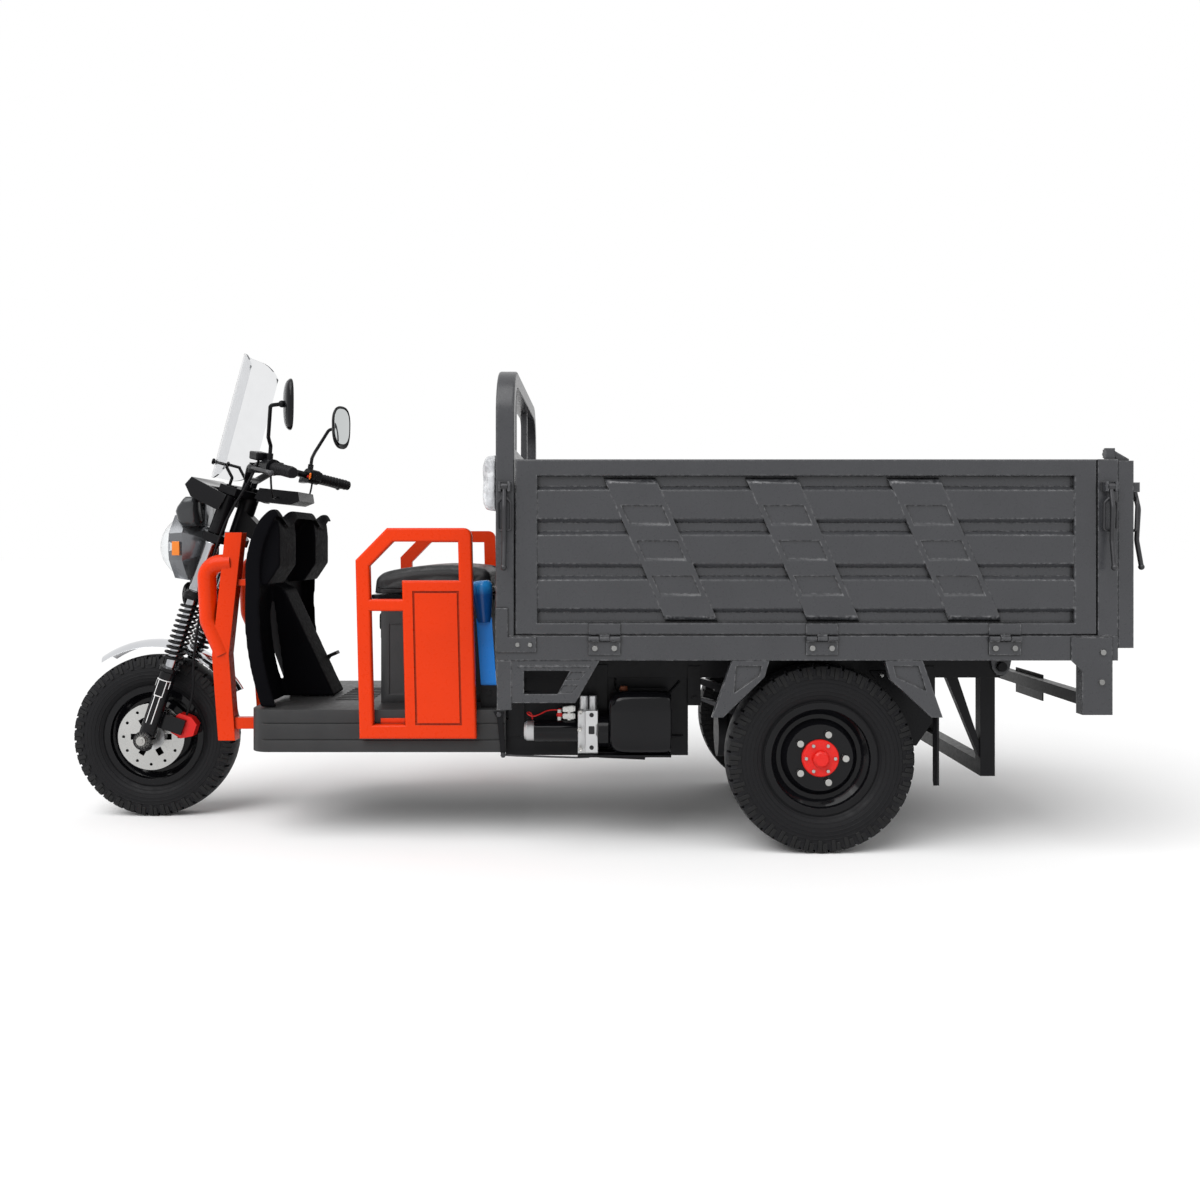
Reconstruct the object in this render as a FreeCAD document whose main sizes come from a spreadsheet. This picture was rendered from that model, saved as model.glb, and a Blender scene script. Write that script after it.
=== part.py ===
"""Electric cargo tricycle with a tipping box, as a parametric document of separate pieces.

Millimetres. +Z is up, the front of the vehicle points to -X, and its left side is -Y.
The origin lies on the ground, under the middle of the overall length.
"""

import math
import os
import re

import FreeCAD
import Part
import Sketcher

Vector = FreeCAD.Vector
OUT = "parts"

# Driving dimensions: alias, value in millimetres or degrees or a count
SIZES = [
    # Wheels
    ("wheelbase", 2150),
    ("front_axle_x", -1405),
    ("front_tyre_radius", 270),
    ("front_tyre_width", 104),
    ("rear_tyre_radius", 279),
    ("rear_tyre_width", 118),
    ("rear_track", 880),
    ("bead_radius", 152),
    ("flange_radius", 166),
    ("flange_thickness", 5),
    ("front_rim_width", 76),
    ("rear_rim_width", 90),
    ("rim_wall", 5),
    ("rim_well_depth", 20),
    ("wheel_dish", 20),
    ("wheel_disc_thickness", 6),
    ("wheel_face_radius", 97),
    ("wheel_shoulder_radius", 113),
    ("rear_hub_hole_radius", 34),
    ("lug_circle_radius", 74),
    ("lug_nut_radius", 10),
    ("lug_nut_height", 16),
    ("lug_count", 5),
    ("hub_cap_radius", 55),
    ("hub_cap_thickness", 12),
    ("hub_boss_radius", 26),
    ("hub_boss_height", 22),
    ("hub_bolt_circle_radius", 43),
    ("hub_bolt_radius", 5),
    ("hub_bolt_height", 5),
    ("hub_bolt_count", 6),
    ("tread_groove_depth", 8),
    ("tread_groove_width", 7),
    ("tread_groove_length", 30),
    ("tread_count", 40),
    ("tread_crown", 5),
    ("seat_gap", 0.3),
    ("running_gap", 0.08),
    # Front hub and brake
    ("front_axle_radius", 8),
    ("front_hub_radius", 38),
    ("front_hub_length", 116),
    ("disc_radius", 111),
    ("disc_inner_radius", 62),
    ("disc_thickness", 4),
    ("disc_offset", 62),
    ("disc_hole_radius", 5),
    ("disc_hole_circle", 92),
    ("disc_hole_count", 12),
    ("caliper_length", 74),
    ("caliper_height", 78),
    ("caliper_slot", 12),
    # Rear axle
    ("axle_tube_radius", 36),
    ("axle_half_length", 376),
    ("spindle_radius", 17),
    ("spindle_length", 90),
    ("drum_radius", 95),
    ("drum_width", 58),
    ("drum_wall", 7),
    ("backplate_thickness", 5),
    ("gearbox_radius", 92),
    ("gearbox_width", 120),
    ("motor_radius", 84),
    ("motor_length", 190),
    ("motor_fin_count", 9),
    ("axle_seat_height", 12),
    # Leaf springs
    ("leaf_width", 48),
    ("leaf_thickness", 7),
    ("leaf_count", 5),
    ("leaf_span", 700),
    ("leaf_camber", 78),
    ("leaf_eye_radius", 15),
    ("leaf_pin_radius", 8),
    ("leaf_step", 58),
    ("hanger_thickness", 6),
    # Front fork
    ("fork_rake", 18.8),
    ("fork_spread", 105),
    ("fork_leg_radius", 27),
    ("fork_leg_top", 240),
    ("fork_leg_bottom", -34),
    ("fork_cap_height", 10),
    ("fork_cap_radius", 34),
    ("fork_tube_radius", 18),
    ("fork_tube_bottom", 132),
    ("fork_tube_top", 884),
    ("fork_bore_bottom", 62),
    ("spring_top", 488),
    ("spring_wire_radius", 4),
    ("spring_radius", 30),
    ("spring_turns", 11),
    ("spring_collar_height", 26),
    ("spring_collar_radius", 36),
    ("steer_offset", 37),
    ("lower_clamp", 690),
    ("upper_clamp", 855),
    ("clamp_thickness", 25),
    ("stem_radius", 17),
    ("head_tube_radius", 30),
    ("clamp_gap", 1),
    ("axle_boss_radius", 30),
    ("axle_boss_width", 60),
    ("fender_radius", 322),
    ("fender_thickness", 3),
    ("fender_width", 118),
    ("fender_crown", 24),
    ("fender_front_angle", 34),
    ("fender_rear_angle", 62),
    ("fender_stay_radius", 5),
    # Handlebar and controls
    ("bar_radius", 12),
    ("bar_bend", 45),
    ("bar_centre_x", -1090),
    ("bar_centre_z", 1128),
    ("bar_rise_x", -1056),
    ("bar_rise_y", 118),
    ("bar_rise_z", 1166),
    ("perch_x", -992),
    ("perch_y", 200),
    ("perch_z", 1168),
    ("bar_end_x", -850),
    ("bar_end_y", 360),
    ("bar_end_z", 1132),
    ("grip_radius", 17),
    ("grip_length", 128),
    ("pod_length", 46),
    ("pod_radius", 26),
    ("lever_eye_radius", 10),
    ("lever_radius", 6),
    ("lever_pin_radius", 4),
    ("lever_length", 165),
    ("lever_offset", 62),
    ("dash_length", 150),
    ("dash_width", 190),
    ("dash_height", 46),
    ("dash_x", -975),
    ("dash_z", 1070),
    ("dash_tilt", 6),
    ("riser_radius", 13),
    ("mirror_x", -884),
    ("mirror_y", 345),
    ("mirror_z", 1344),
    ("mirror_height", 162),
    ("mirror_width", 108),
    ("mirror_depth", 26),
    ("mirror_turn", 24),
    ("mirror_stem_radius", 6),
    ("mirror_ball_radius", 11),
    ("screen_foot_x", -1214),
    ("screen_foot_z", 1140),
    ("screen_height", 424),
    ("screen_lean", 14.9),
    ("screen_half_width", 150),
    ("screen_bend_radius", 190),
    ("screen_thickness", 4),
    ("screen_corner", 60),
    ("screen_bolt_y", 70),
    ("screen_bolt_z", 52),
    ("screen_bolt_radius", 5),
    ("lamp_x", -1335),
    ("lamp_z", 905),
    ("lamp_radius", 122),
    ("lamp_depth", 118),
    ("lamp_back_radius", 62),
    ("lamp_band", 46),
    ("lamp_squash", 0.86),
    ("lamp_bowl_radius", 92),
    ("lamp_bowl_depth", 58),
    ("visor_bridge", 62),
    ("lamp_lens_bulge", 55),
    ("visor_length", 128),
    ("visor_half_width", 148),
    ("visor_height", 58),
    ("visor_tilt", 27.6),
    ("visor_x", -1238),
    ("visor_z", 1133),
    ("hose_radius", 4),
    ("hose_bend", 60),
    ("horn_radius", 38),
    ("horn_depth", 36),
    ("horn_z", 742),
    ("marker_length", 24),
    ("marker_height", 46),
    # Main frame
    ("rail_y", 305),
    ("rail_width", 50),
    ("rail_bottom", 500),
    ("rail_height", 65),
    ("rail_front", -190),
    ("pivot_x", 1330),
    ("pivot_z", 535),
    ("pivot_boss_radius", 30),
    ("pivot_pin_radius", 14),
    ("pivot_pin_overhang", 24),
    ("pivot_ear", 8),
    ("low_tube_front", -930),
    ("low_tube_bottom", 320),
    ("low_tube_height", 50),
    ("low_tube_inset", 55),
    ("deck_mount_radius", 14),
    ("upright_length", 50),
    ("cross_width", 45),
    ("cross_height", 45),
    ("spine_width", 60),
    ("spine_foot_x", -905),
    ("neck_reach", 63),
    ("neck_knee_x", -1062),
    ("neck_knee_z", 800),
    ("underrun_x", 1270),
    ("underrun_width", 45),
    ("underrun_bottom", 195),
    ("underrun_brace_run", 105),
    # Foot deck and shield
    ("deck_front", -985),
    ("deck_rear", -196),
    ("deck_half_width", 360),
    ("deck_top", 405),
    ("deck_bottom", 275),
    ("deck_wall", 6),
    ("deck_corner", 60),
    ("deck_groove", 4),
    ("deck_upper_groove", 363),
    ("deck_lower_groove", 313),
    ("deck_rib_front", -770),
    ("deck_rib_height", 3),
    ("deck_rib_width", 10),
    ("deck_rib_pitch", 40),
    ("deck_rib_count", 8),
    ("shield_half_width", 330),
    ("shield_wall", 6),
    ("shield_side", 12),
    ("shield_flange", 48),
    ("shield_top", 1021),
    ("shield_top_x", -927),
    ("shield_brow_x", -980),
    ("shield_brow_z", 952),
    ("shield_bulge_x", -1005),
    ("shield_bulge_z", 790),
    ("shield_foot_x", -955),
    ("tunnel_half_width", 75),
    ("tunnel_top_x", -958),
    ("tunnel_top_z", 762),
    ("tunnel_foot_x", -790),
    ("pod_inner", 120),
    ("pod_outer", 306),
    ("pod_bottom", 785),
    ("pod_top", 1008),
    ("pod_rear", -905),
    # Orange guards
    ("crash_y", 200),
    ("crash_width", 46),
    ("crash_depth", 54),
    ("crash_top_x", -1076),
    ("crash_top_z", 950),
    ("crash_knee_x", -1118),
    ("crash_knee_z", 560),
    ("crash_foot_x", -1098),
    ("crash_foot_z", 286),
    ("crash_stay_z", 340),
    ("crash_pipe_radius", 29),
    ("crash_pipe_reach", 92),
    ("crash_pipe_top", 846),
    ("crash_pipe_bottom", 668),
    ("crash_pipe_bend", 46),
    ("side_bar", 42),
    ("side_thickness", 30),
    ("side_gap", 2),
    ("side_front", -638),
    ("side_rear", -283),
    ("side_bottom", 321),
    ("side_top", 962),
    ("side_lean", 15),
    ("side_chamfer", 98),
    ("side_rear_round", 26),
    ("side_panel_front", -498),
    ("side_panel_top", 802),
    ("side_rail_z", 745),
    ("side_rail_height", 36),
    ("side_recess_margin", 32),
    ("side_recess_depth", 4),
    ("side_recess_groove", 6),
    # Seat and batteries
    ("seat_front", -640),
    ("seat_rear", -244),
    ("seat_half_width", 235),
    ("seat_pan_bottom", 735),
    ("seat_pan_height", 16),
    ("cushion_height", 86),
    ("cushion_round", 34),
    ("battery_front", -610),
    ("battery_rear", -262),
    ("battery_half_width", 200),
    ("battery_wall", 6),
    ("battery_cell_gap", 6),
    ("battery_cell_count", 5),
    ("battery_cell_height", 240),
    ("battery_panel_margin", 26),
    ("battery_panel_depth", 3),
    ("seat_hinge_radius", 6),
    # Pedal and parking brake
    ("pedal_pivot_x", -905),
    ("pedal_pivot_z", 440),
    ("pedal_pin_radius", 8),
    ("pedal_arm_width", 22),
    ("pedal_arm_thickness", 10),
    ("pedal_reach_x", 52),
    ("pedal_reach_z", 84),
    ("pedal_pad_length", 70),
    ("pedal_pad_width", 62),
    ("pedal_pad_thickness", 12),
    ("pedal_y", 98),
    ("park_x", -252),
    ("park_inset", 60),
    ("park_seat_room", 40),
    ("park_pivot_z", 452),
    ("park_bar_width", 48),
    ("park_bar_thickness", 14),
    ("park_bar_length", 232),
    ("park_grip_length", 130),
    ("park_grip_radius", 32),
    ("park_neck_radius", 20),
    ("park_lean", 4),
    # Hydraulic unit
    ("pump_y", 392),
    ("pump_z", 347),
    ("pump_motor_radius", 33),
    ("pump_motor_length", 132),
    ("pump_cap_length", 30),
    ("valve_x", 26),
    ("valve_length", 62),
    ("valve_width", 70),
    ("valve_height", 132),
    ("coupling_radius", 53),
    ("coupling_length", 30),
    ("tank_length", 188),
    ("tank_width", 140),
    ("tank_height", 186),
    ("tank_round", 26),
    ("pump_plate", 6),
    # Tipping ram
    ("ram_x", 100),
    ("ram_pivot_z", 480),
    ("ram_bottom", 250),
    ("ram_top", 560),
    ("ram_radius", 45),
    ("ram_wall", 7),
    ("ram_floor", 12),
    ("ram_pin_radius", 12),
    ("ram_pin_reach", 72),
    ("ram_ear_thickness", 12),
    ("ram_ear_gap", 1),
    ("ram_pin_gap", 10),
    ("ram_head", 8),
    # Cargo box
    ("box_front", -209),
    ("box_rear", 1590),
    ("box_half_width", 550),
    ("rail_box_bottom", 576),
    ("floor_top", 648),
    ("floor_thickness", 8),
    ("box_rail_width", 40),
    ("post_depth", 54),
    ("post_width", 50),
    ("box_top", 1158),
    ("guard_top", 1433),
    ("guard_round", 150),
    ("guard_bar", 46),
    ("runner_gap", 5),
    ("outrigger_first", -110),
    ("outrigger_second", 330),
    ("outrigger_third", 560),
    ("outrigger_fourth", 1060),
    ("outrigger_fifth", 1440),
    ("bearer_width", 45),
    ("bearer_height", 50),
    ("rear_post_depth", 58),
    ("wall_wave", 14),
    ("wall_sheet", 3),
    ("wave_pitch", 130),
    ("wave_flat", 82),
    ("wave_slope", 12),
    ("gate_gap", 3),
    ("gate_depth", 30),
    ("gate_frame", 48),
    ("gate_foot", 34),
    ("gate_inset", 4),
    ("gate_stile", 64),
    ("gate_hinge_z", 640),
    ("gate_hinge_out", 9),
    ("gate_knuckle_radius", 7),
    ("gate_hinge_length", 92),
    ("gate_hinge_leaf", 4),
    ("hinge_first_x", 106),
    ("hinge_second_x", 734),
    ("hinge_third_x", 1262),
    ("hinge_bolt_radius", 8),
    ("hinge_bolt_height", 5),
    ("slash_first_x", 178),
    ("slash_pitch", 411),
    ("slash_width", 150),
    ("slash_shift", 182),
    ("slash_bevel", 17),
    ("slash_rise", 18),
    ("slash_step", 5),
    ("slash_step_height", 51),
    ("tail_gap", 2),
    ("tail_depth", 44),
    ("tail_bottom", 612),
    ("tail_hinge_x", 1572),
    ("tail_hinge_z", 1176),
    ("tail_pin_radius", 7),
    ("tail_ear", 10),
    ("tail_arm", 10),
    ("corner_front", 1454),
    ("corner_leg_front", 1486),
    ("corner_leg_rear", 1573),
    ("corner_leg_bottom", 419),
    ("corner_plate", 3),
    ("skirt_rear", 92),
    ("skirt_slant", 70),
    ("skirt_drop", 123),
    ("skirt_thickness", 4),
    ("skirt_press", 2),
    ("skirt_post_drop", 143),
    ("skirt_post_width", 42),
    ("strut_thickness", 26),
    ("strut_drop", 165),
    ("strut_top_length", 108),
    ("strut_front_x", 475),
    ("strut_rear_x", 918),
    ("strut_lean", 58),
    ("strut_tip", 32),
    ("strut_recess", 5),
    ("flap_drop", 205),
    ("flap_width", 42),
    ("flap_thickness", 6),
    ("latch_z", 1078),
    ("latch_length", 232),
    ("latch_pin_radius", 5),
    ("latch_out", 17),
    ("latch_bar_radius", 7),
    ("latch_wire_radius", 4),
    ("latch_loop_width", 36),
    ("latch_loop_length", 108),
    ("latch_lug", 8),
    ("latch_eye_width", 18),
    ("latch_bow", 14),
    ("lamp_bar_x", 1530),
    ("lamp_bar_z", 455),
    ("lamp_bar_size", 36),
    ("tail_lamp_width", 110),
    ("tail_lamp_height", 62),
    ("tail_lamp_depth", 48),
    ("back_pad_bottom", 1004),
    ("back_pad_height", 174),
    ("back_pad_half_width", 525),
    ("back_pad_depth", 40),
    ("back_pad_round", 16),
    ("bracket_plate", 4),
]

doc = FreeCAD.newDocument("cargo_tricycle")
sheet = doc.addObject("Spreadsheet::Sheet", "Sizes")
for row, (alias, value) in enumerate(SIZES, start=1):
    sheet.set(f"A{row}", alias)
    sheet.set(f"B{row}", str(value))
    sheet.setAlias(f"B{row}", alias)
doc.recompute()

ALIASES = {alias for alias, _ in SIZES}
WORD = re.compile(r"[A-Za-z_][A-Za-z_0-9]*")
SUB_PARTS = []


def formula(text):
    """The expression with each alias written as a cell of the sheet."""
    return WORD.sub(lambda m: f"Sizes.{m[0]}" if m[0] in ALIASES else m[0], str(text))


def size(text):
    """The value of an expression of aliases, in millimetres or degrees."""
    found = sheet.evalExpression(formula(text))
    return float(getattr(found, "Value", found))


def bind(item, prop, text):
    """Bind a property to an expression of aliases."""
    item.setExpression(prop, formula(text))


def put(item, x="0", y="0", z="0", axis=None, angle="0"):
    """Place an object at expressions of aliases, turned about an axis through its own origin."""
    if axis is not None:
        item.Placement = FreeCAD.Placement(Vector(), FreeCAD.Rotation(Vector(*axis), size(angle)))
        if WORD.search(str(angle)):
            bind(item, "Placement.Rotation.Angle", angle)
    for letter, text in zip("xyz", (x, y, z)):
        bind(item, f"Placement.Base.{letter}", text)
    return item


def block(name, x, y, z, lx, ly, lz):
    """A box from its lowest corner."""
    item = doc.addObject("Part::Box", name)
    for prop, text in (("Length", lx), ("Width", ly), ("Height", lz)):
        bind(item, prop, text)
    return put(item, x, y, z)


TURNS = {"z": None, "x": (0, 1, 0), "y": (-1, 0, 0)}


def rod(name, x, y, z, radius, length, along="z"):
    """A cylinder from the centre of its base, along +X, +Y or +Z."""
    item = doc.addObject("Part::Cylinder", name)
    bind(item, "Radius", radius)
    bind(item, "Height", length)
    return put(item, x, y, z, TURNS[along], 90 if TURNS[along] else "0")


def join(name, *items):
    """One solid from several that touch or overlap."""
    item = doc.addObject("Part::MultiFuse", name)
    item.Shapes = list(items)
    item.Refine = True
    return item


def together(name, *items):
    """Several separate solids as one object."""
    item = doc.addObject("Part::Compound", name)
    item.Links = list(items)
    return item


def minus(name, base, *tools):
    """Cut tools out of a base."""
    item = doc.addObject("Part::Cut", name)
    item.Base = base
    item.Tool = tools[0] if len(tools) == 1 else join(name + "_tools", *tools)
    return item


def across(name, item):
    """The mirror image on the other side of the vehicle."""
    image = doc.addObject("Part::Mirroring", name)
    image.Source = item
    image.Normal = Vector(0, 1, 0)
    return image


def solid(name, shape):
    """A shape made by Part's own functions."""
    item = doc.addObject("Part::Feature", name)
    item.Shape = shape
    return item


def sub_part(label, item):
    """Register a finished sub-part under the name of its file."""
    item.Label = label
    SUB_PARTS.append(item)
    return item


def pair(label, item):
    """A sub-part of two solids: the left one and its mirror image."""
    return sub_part(label, together(label + "_pair", item, across(label + "_right", item)))


def draw(sketch, loop):
    """Draw one closed loop of points (x, y) or (x, y, radius, side), where the last two make the next edge an arc."""
    if loop[0] == "circle":
        _, x, y, radius = loop
        n = sketch.addGeometry(Part.Circle(Vector(size(x), size(y), 0), Vector(0, 0, 1), size(radius)), False)
        fix_point(sketch, n, 3, x, y)
        k = sketch.addConstraint(Sketcher.Constraint("Radius", n, size(radius)))
        bind(sketch, f"Constraints[{k}]", radius)
        return
    spots = [Vector(size(p[0]), size(p[1]), 0) for p in loop]
    ends = []
    for i, p in enumerate(loop):
        a, b = spots[i], spots[(i + 1) % len(loop)]
        if len(p) == 2:
            ends.append((sketch.addGeometry(Part.LineSegment(a, b), False), 1, 2))
            continue
        radius, side = size(p[2]), p[3]
        half = (b - a) * 0.5
        out = Vector(-half.y, half.x, 0).normalize() * math.sqrt(radius**2 - half.Length**2)
        centre = a + half + out * side
        first, last = (a, b) if side > 0 else (b, a)
        angles = [math.atan2(q.y - centre.y, q.x - centre.x) for q in (first, last)]
        arc = Part.ArcOfCircle(Part.Circle(centre, Vector(0, 0, 1), radius), *angles)
        n = sketch.addGeometry(arc, False)
        ends.append((n, 1, 2) if side > 0 else (n, 2, 1))
    for i, (n, _, tail) in enumerate(ends):
        after, head, _ = ends[(i + 1) % len(ends)]
        sketch.addConstraint(Sketcher.Constraint("Coincident", n, tail, after, head))
    for p, (n, head, _) in zip(loop, ends):
        fix_point(sketch, n, head, p[0], p[1])
        if len(p) == 4:
            k = sketch.addConstraint(Sketcher.Constraint("Radius", n, size(p[2])))
            bind(sketch, f"Constraints[{k}]", p[2])


def fix_point(sketch, n, end, x, y):
    """Hold a point of a sketch at two expressions."""
    for kind, text in (("DistanceX", x), ("DistanceY", y)):
        k = sketch.addConstraint(Sketcher.Constraint(kind, -1, 1, n, end, size(text)))
        bind(sketch, f"Constraints[{k}]", text)


def new_body(name):
    return doc.addObject("PartDesign::Body", name)


def sketch_on(body, plane, loops, offset="0"):
    """A constrained sketch on one of the body's own planes, moved along the plane's normal."""
    origin = next(f for f in body.Origin.OriginFeatures if f.Role == plane)
    sketch = body.newObject("Sketcher::SketchObject", body.Name + "_sketch")
    sketch.AttachmentSupport = [(origin, "")]
    sketch.MapMode = "FlatFace"
    bind(sketch, "AttachmentOffset.Base.z", offset)
    for loop in loops:
        draw(sketch, loop)
    return sketch


def pad(body, plane, loops, length, offset="0", centred=False, back=False):
    feature = body.newObject("PartDesign::Pad", body.Name + "_pad")
    feature.Profile = sketch_on(body, plane, loops, offset)
    bind(feature, "Length", length)
    feature.Midplane = centred
    feature.Reversed = back
    return feature


def pocket(body, plane, loops, length, offset="0", centred=False, back=False):
    feature = body.newObject("PartDesign::Pocket", body.Name + "_pocket")
    feature.Profile = sketch_on(body, plane, loops, offset)
    bind(feature, "Length", length)
    feature.Midplane = centred
    feature.Reversed = back
    return feature


def spun(body, plane, loops, axis="H_Axis"):
    """A full turn of a sketch about its own horizontal or vertical axis."""
    feature = body.newObject("PartDesign::Revolution", body.Name + "_turn")
    feature.Profile = sketch_on(body, plane, loops)
    feature.ReferenceAxis = (feature.Profile[0], [axis])
    feature.Angle = 360
    return feature


def ring_of(body, feature, count, axis="Y_Axis"):
    """Repeat a feature round one of the body's own axes."""
    pattern = body.newObject("PartDesign::PolarPattern", body.Name + "_ring")
    pattern.Originals = [feature]
    pattern.Axis = (next(f for f in body.Origin.OriginFeatures if f.Role == axis), [""])
    pattern.Angle = 360
    bind(pattern, "Occurrences", count)
    body.Tip = pattern
    return pattern


def row_of(body, feature, length, count, axis="Y_Axis"):
    """Repeat a feature in a row along one of the body's own axes."""
    pattern = body.newObject("PartDesign::LinearPattern", body.Name + "_row")
    pattern.Originals = [feature]
    pattern.Direction = (next(f for f in body.Origin.OriginFeatures if f.Role == axis), [""])
    bind(pattern, "Length", length)
    bind(pattern, "Occurrences", count)
    body.Tip = pattern
    return pattern


def rounded(body, radius, pick):
    """Fillet the edges of the body's tip that a test picks."""
    doc.recompute()
    tip = body.Tip
    names = [f"Edge{i}" for i, e in enumerate(tip.Shape.Edges, start=1) if pick(e)]
    feature = body.newObject("PartDesign::Fillet", body.Name + "_fillet")
    feature.Base = (tip, names)
    bind(feature, "Radius", radius)
    return feature


def runs_along(edge, letter):
    """True for a straight edge along one axis."""
    a, b = edge.firstVertex().Point, edge.lastVertex().Point
    others = [k for k in "xyz" if k != letter]
    return (b - a).Length > 1e-6 and all(abs(getattr(a, k) - getattr(b, k)) < 1e-6 for k in others)


def middle(edge):
    box = edge.BoundBox
    return box.Center


def plate(name, plane, loops, length, x="0", y="0", z="0", centred=False):
    """A body of one padded outline, placed."""
    body = new_body(name)
    pad(body, plane, loops, length, centred=centred)
    return put(body, x, y, z)


def rectangle(x0, y0, x1, y1):
    return [(x0, y0), (x1, y0), (x1, y1), (x0, y1)]


def line_with_bends(points, radius):
    """A wire of straight runs through points, joined by tangent arcs of one radius."""
    edges, start = [], points[0]
    for a, b, c in zip(points, points[1:], points[2:]):
        u, v = (a - b).normalize(), (c - b).normalize()
        half = u.getAngle(v) / 2
        reach = radius / math.tan(half)
        towards = (u + v).normalize()
        centre = b + towards * (radius / math.sin(half))
        first, last = b + u * reach, b + v * reach
        edges.append(Part.makeLine(start, first))
        edges.append(Part.Arc(first, centre - towards * radius, last).toShape())
        start = last
    edges.append(Part.makeLine(start, points[-1]))
    return Part.Wire(edges)


def tube_along(points, bend, radius):
    """A round bar along bent runs. Prints its volume against its section times its length."""
    path = line_with_bends(points, bend)
    section = Part.Wire(Part.makeCircle(radius, points[0], points[1] - points[0]))
    bar = path.makePipeShell([section], True, False)
    expected = math.pi * radius**2 * path.Length
    if abs(bar.Volume / expected - 1) > 0.02:
        raise ValueError(f"a bent bar has volume {bar.Volume:.0f}, not {expected:.0f}")
    return bar


def point(x, y, z):
    return Vector(size(x), size(y), size(z))


FORK_AXIS = (0, 1, 0)


def on_fork(item):
    """Stand an object that is drawn upright about the front axle along the raked fork."""
    return put(item, "front_axle_x", "0", "front_tyre_radius", FORK_AXIS, "fork_rake")


def fork_place():
    turn = FreeCAD.Rotation(Vector(*FORK_AXIS), size("fork_rake"))
    return FreeCAD.Placement(point("front_axle_x", "0", "front_tyre_radius"), turn)


def tyre(name, half_width, radius, rim_width):
    """A tyre about its own centre with a crowned tread and grooved shoulders."""
    body = new_body(name)
    foot = f"({rim_width}/2-flange_thickness-seat_gap)"
    wall = f"({half_width})"
    tread = f"({half_width}-9)"
    low = "flange_radius+4"
    mid = f"(0.55*{radius}+0.45*flange_radius)"
    loop = [
        (f"-{foot}", "bead_radius+seat_gap"),
        (f"{foot}", "bead_radius+seat_gap"),
        (foot, low, "60", 1),
        (wall, mid, "160", 1),
        (tread, f"{radius}-tread_crown", f"({tread}^2+tread_crown^2)/(2*tread_crown)", 1),
        (f"-{tread}", f"{radius}-tread_crown", "160", 1),
        (f"-{wall}", mid, "60", 1),
        (f"-{foot}", low),
    ]
    spun(body, "YZ_Plane", [loop])
    half = "tread_groove_width/2"
    outer = f"({half_width}+2)"
    inner = f"({half_width}-tread_groove_length)"
    step = f"(180/tread_count*{radius}*0.01745)"
    cut = pocket(
        body,
        "XY_Plane",
        [
            rectangle(f"-{half}", inner, half, outer),
            rectangle(f"{step}-{half}", f"-{outer}", f"{step}+{half}", f"-{inner}"),
        ],
        "tread_groove_depth+tread_crown+20",
        offset=f"{radius}-tread_groove_depth-tread_crown",
        back=True,
    )
    ring_of(body, cut, "tread_count")
    return body


def pressed_wheel(name, rim_width, dish, face_hole):
    """A pressed steel wheel about its own centre: rim with a well, and a dished disc."""
    body = new_body(name)
    w = f"({rim_width}/2)"
    well = "bead_radius-rim_well_depth"
    inner = "bead_radius-rim_well_depth-rim_wall"
    seat = "bead_radius-2"
    inset = f"({w}-18)"
    loop = [
        (f"-{w}", "flange_radius"),
        (f"-{w}+flange_thickness", "flange_radius"),
        (f"-{w}+flange_thickness", "bead_radius"),
        (f"-{inset}", seat),
        ("-14", well),
        ("14", well),
        (inset, seat),
        (f"{w}-flange_thickness", "bead_radius"),
        (f"{w}-flange_thickness", "flange_radius"),
        (w, "flange_radius"),
        (w, "bead_radius-rim_wall"),
        (f"{inset}+2", f"{seat}-rim_wall"),
        ("12", inner),
        ("-2", inner),
        ("-2", "wheel_shoulder_radius-1"),
        (f"-2-{dish}", "wheel_face_radius-1"),
        (f"-2-{dish}", face_hole),
        (f"-2-{dish}-wheel_disc_thickness", face_hole),
        (f"-2-{dish}-wheel_disc_thickness", "wheel_face_radius+1"),
        ("-2-wheel_disc_thickness", "wheel_shoulder_radius+1"),
        ("-2-wheel_disc_thickness", inner),
        ("-12", inner),
        (f"-{inset}-2", f"{seat}-rim_wall"),
        (f"-{w}", "bead_radius-rim_wall"),
    ]
    spun(body, "YZ_Plane", [loop])
    return body


def studs(name, ring_radius, radius, height, count, y):
    """A ring of round bolt heads that stand out to the left from a face."""
    body = new_body(name)
    first = pad(body, "XZ_Plane", [("circle", ring_radius, "0", radius)], height, offset=f"-({y})")
    ring_of(body, first, count)
    return body


REAR_X = "front_axle_x+wheelbase"
LEFT_Y = "-rear_track/2"
AT_REAR_LEFT = (REAR_X, LEFT_Y, "rear_tyre_radius")
FACE = "-2-wheel_dish-wheel_disc_thickness"

# Rear wheels
rear_tyre = put(tyre("rear_tyre", "rear_tyre_width/2", "rear_tyre_radius", "rear_rim_width"), *AT_REAR_LEFT)
sub_part("rear_tyre_left", rear_tyre)
sub_part("rear_tyre_right", across("rear_tyre_mirror", rear_tyre))

rear_disc = put(pressed_wheel("rear_disc", "rear_rim_width", "wheel_dish", "rear_hub_hole_radius"), *AT_REAR_LEFT)
rear_nuts = studs("rear_nuts", "lug_circle_radius", "lug_nut_radius", "lug_nut_height", "lug_count", FACE)
put(rear_nuts, *AT_REAR_LEFT)

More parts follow.
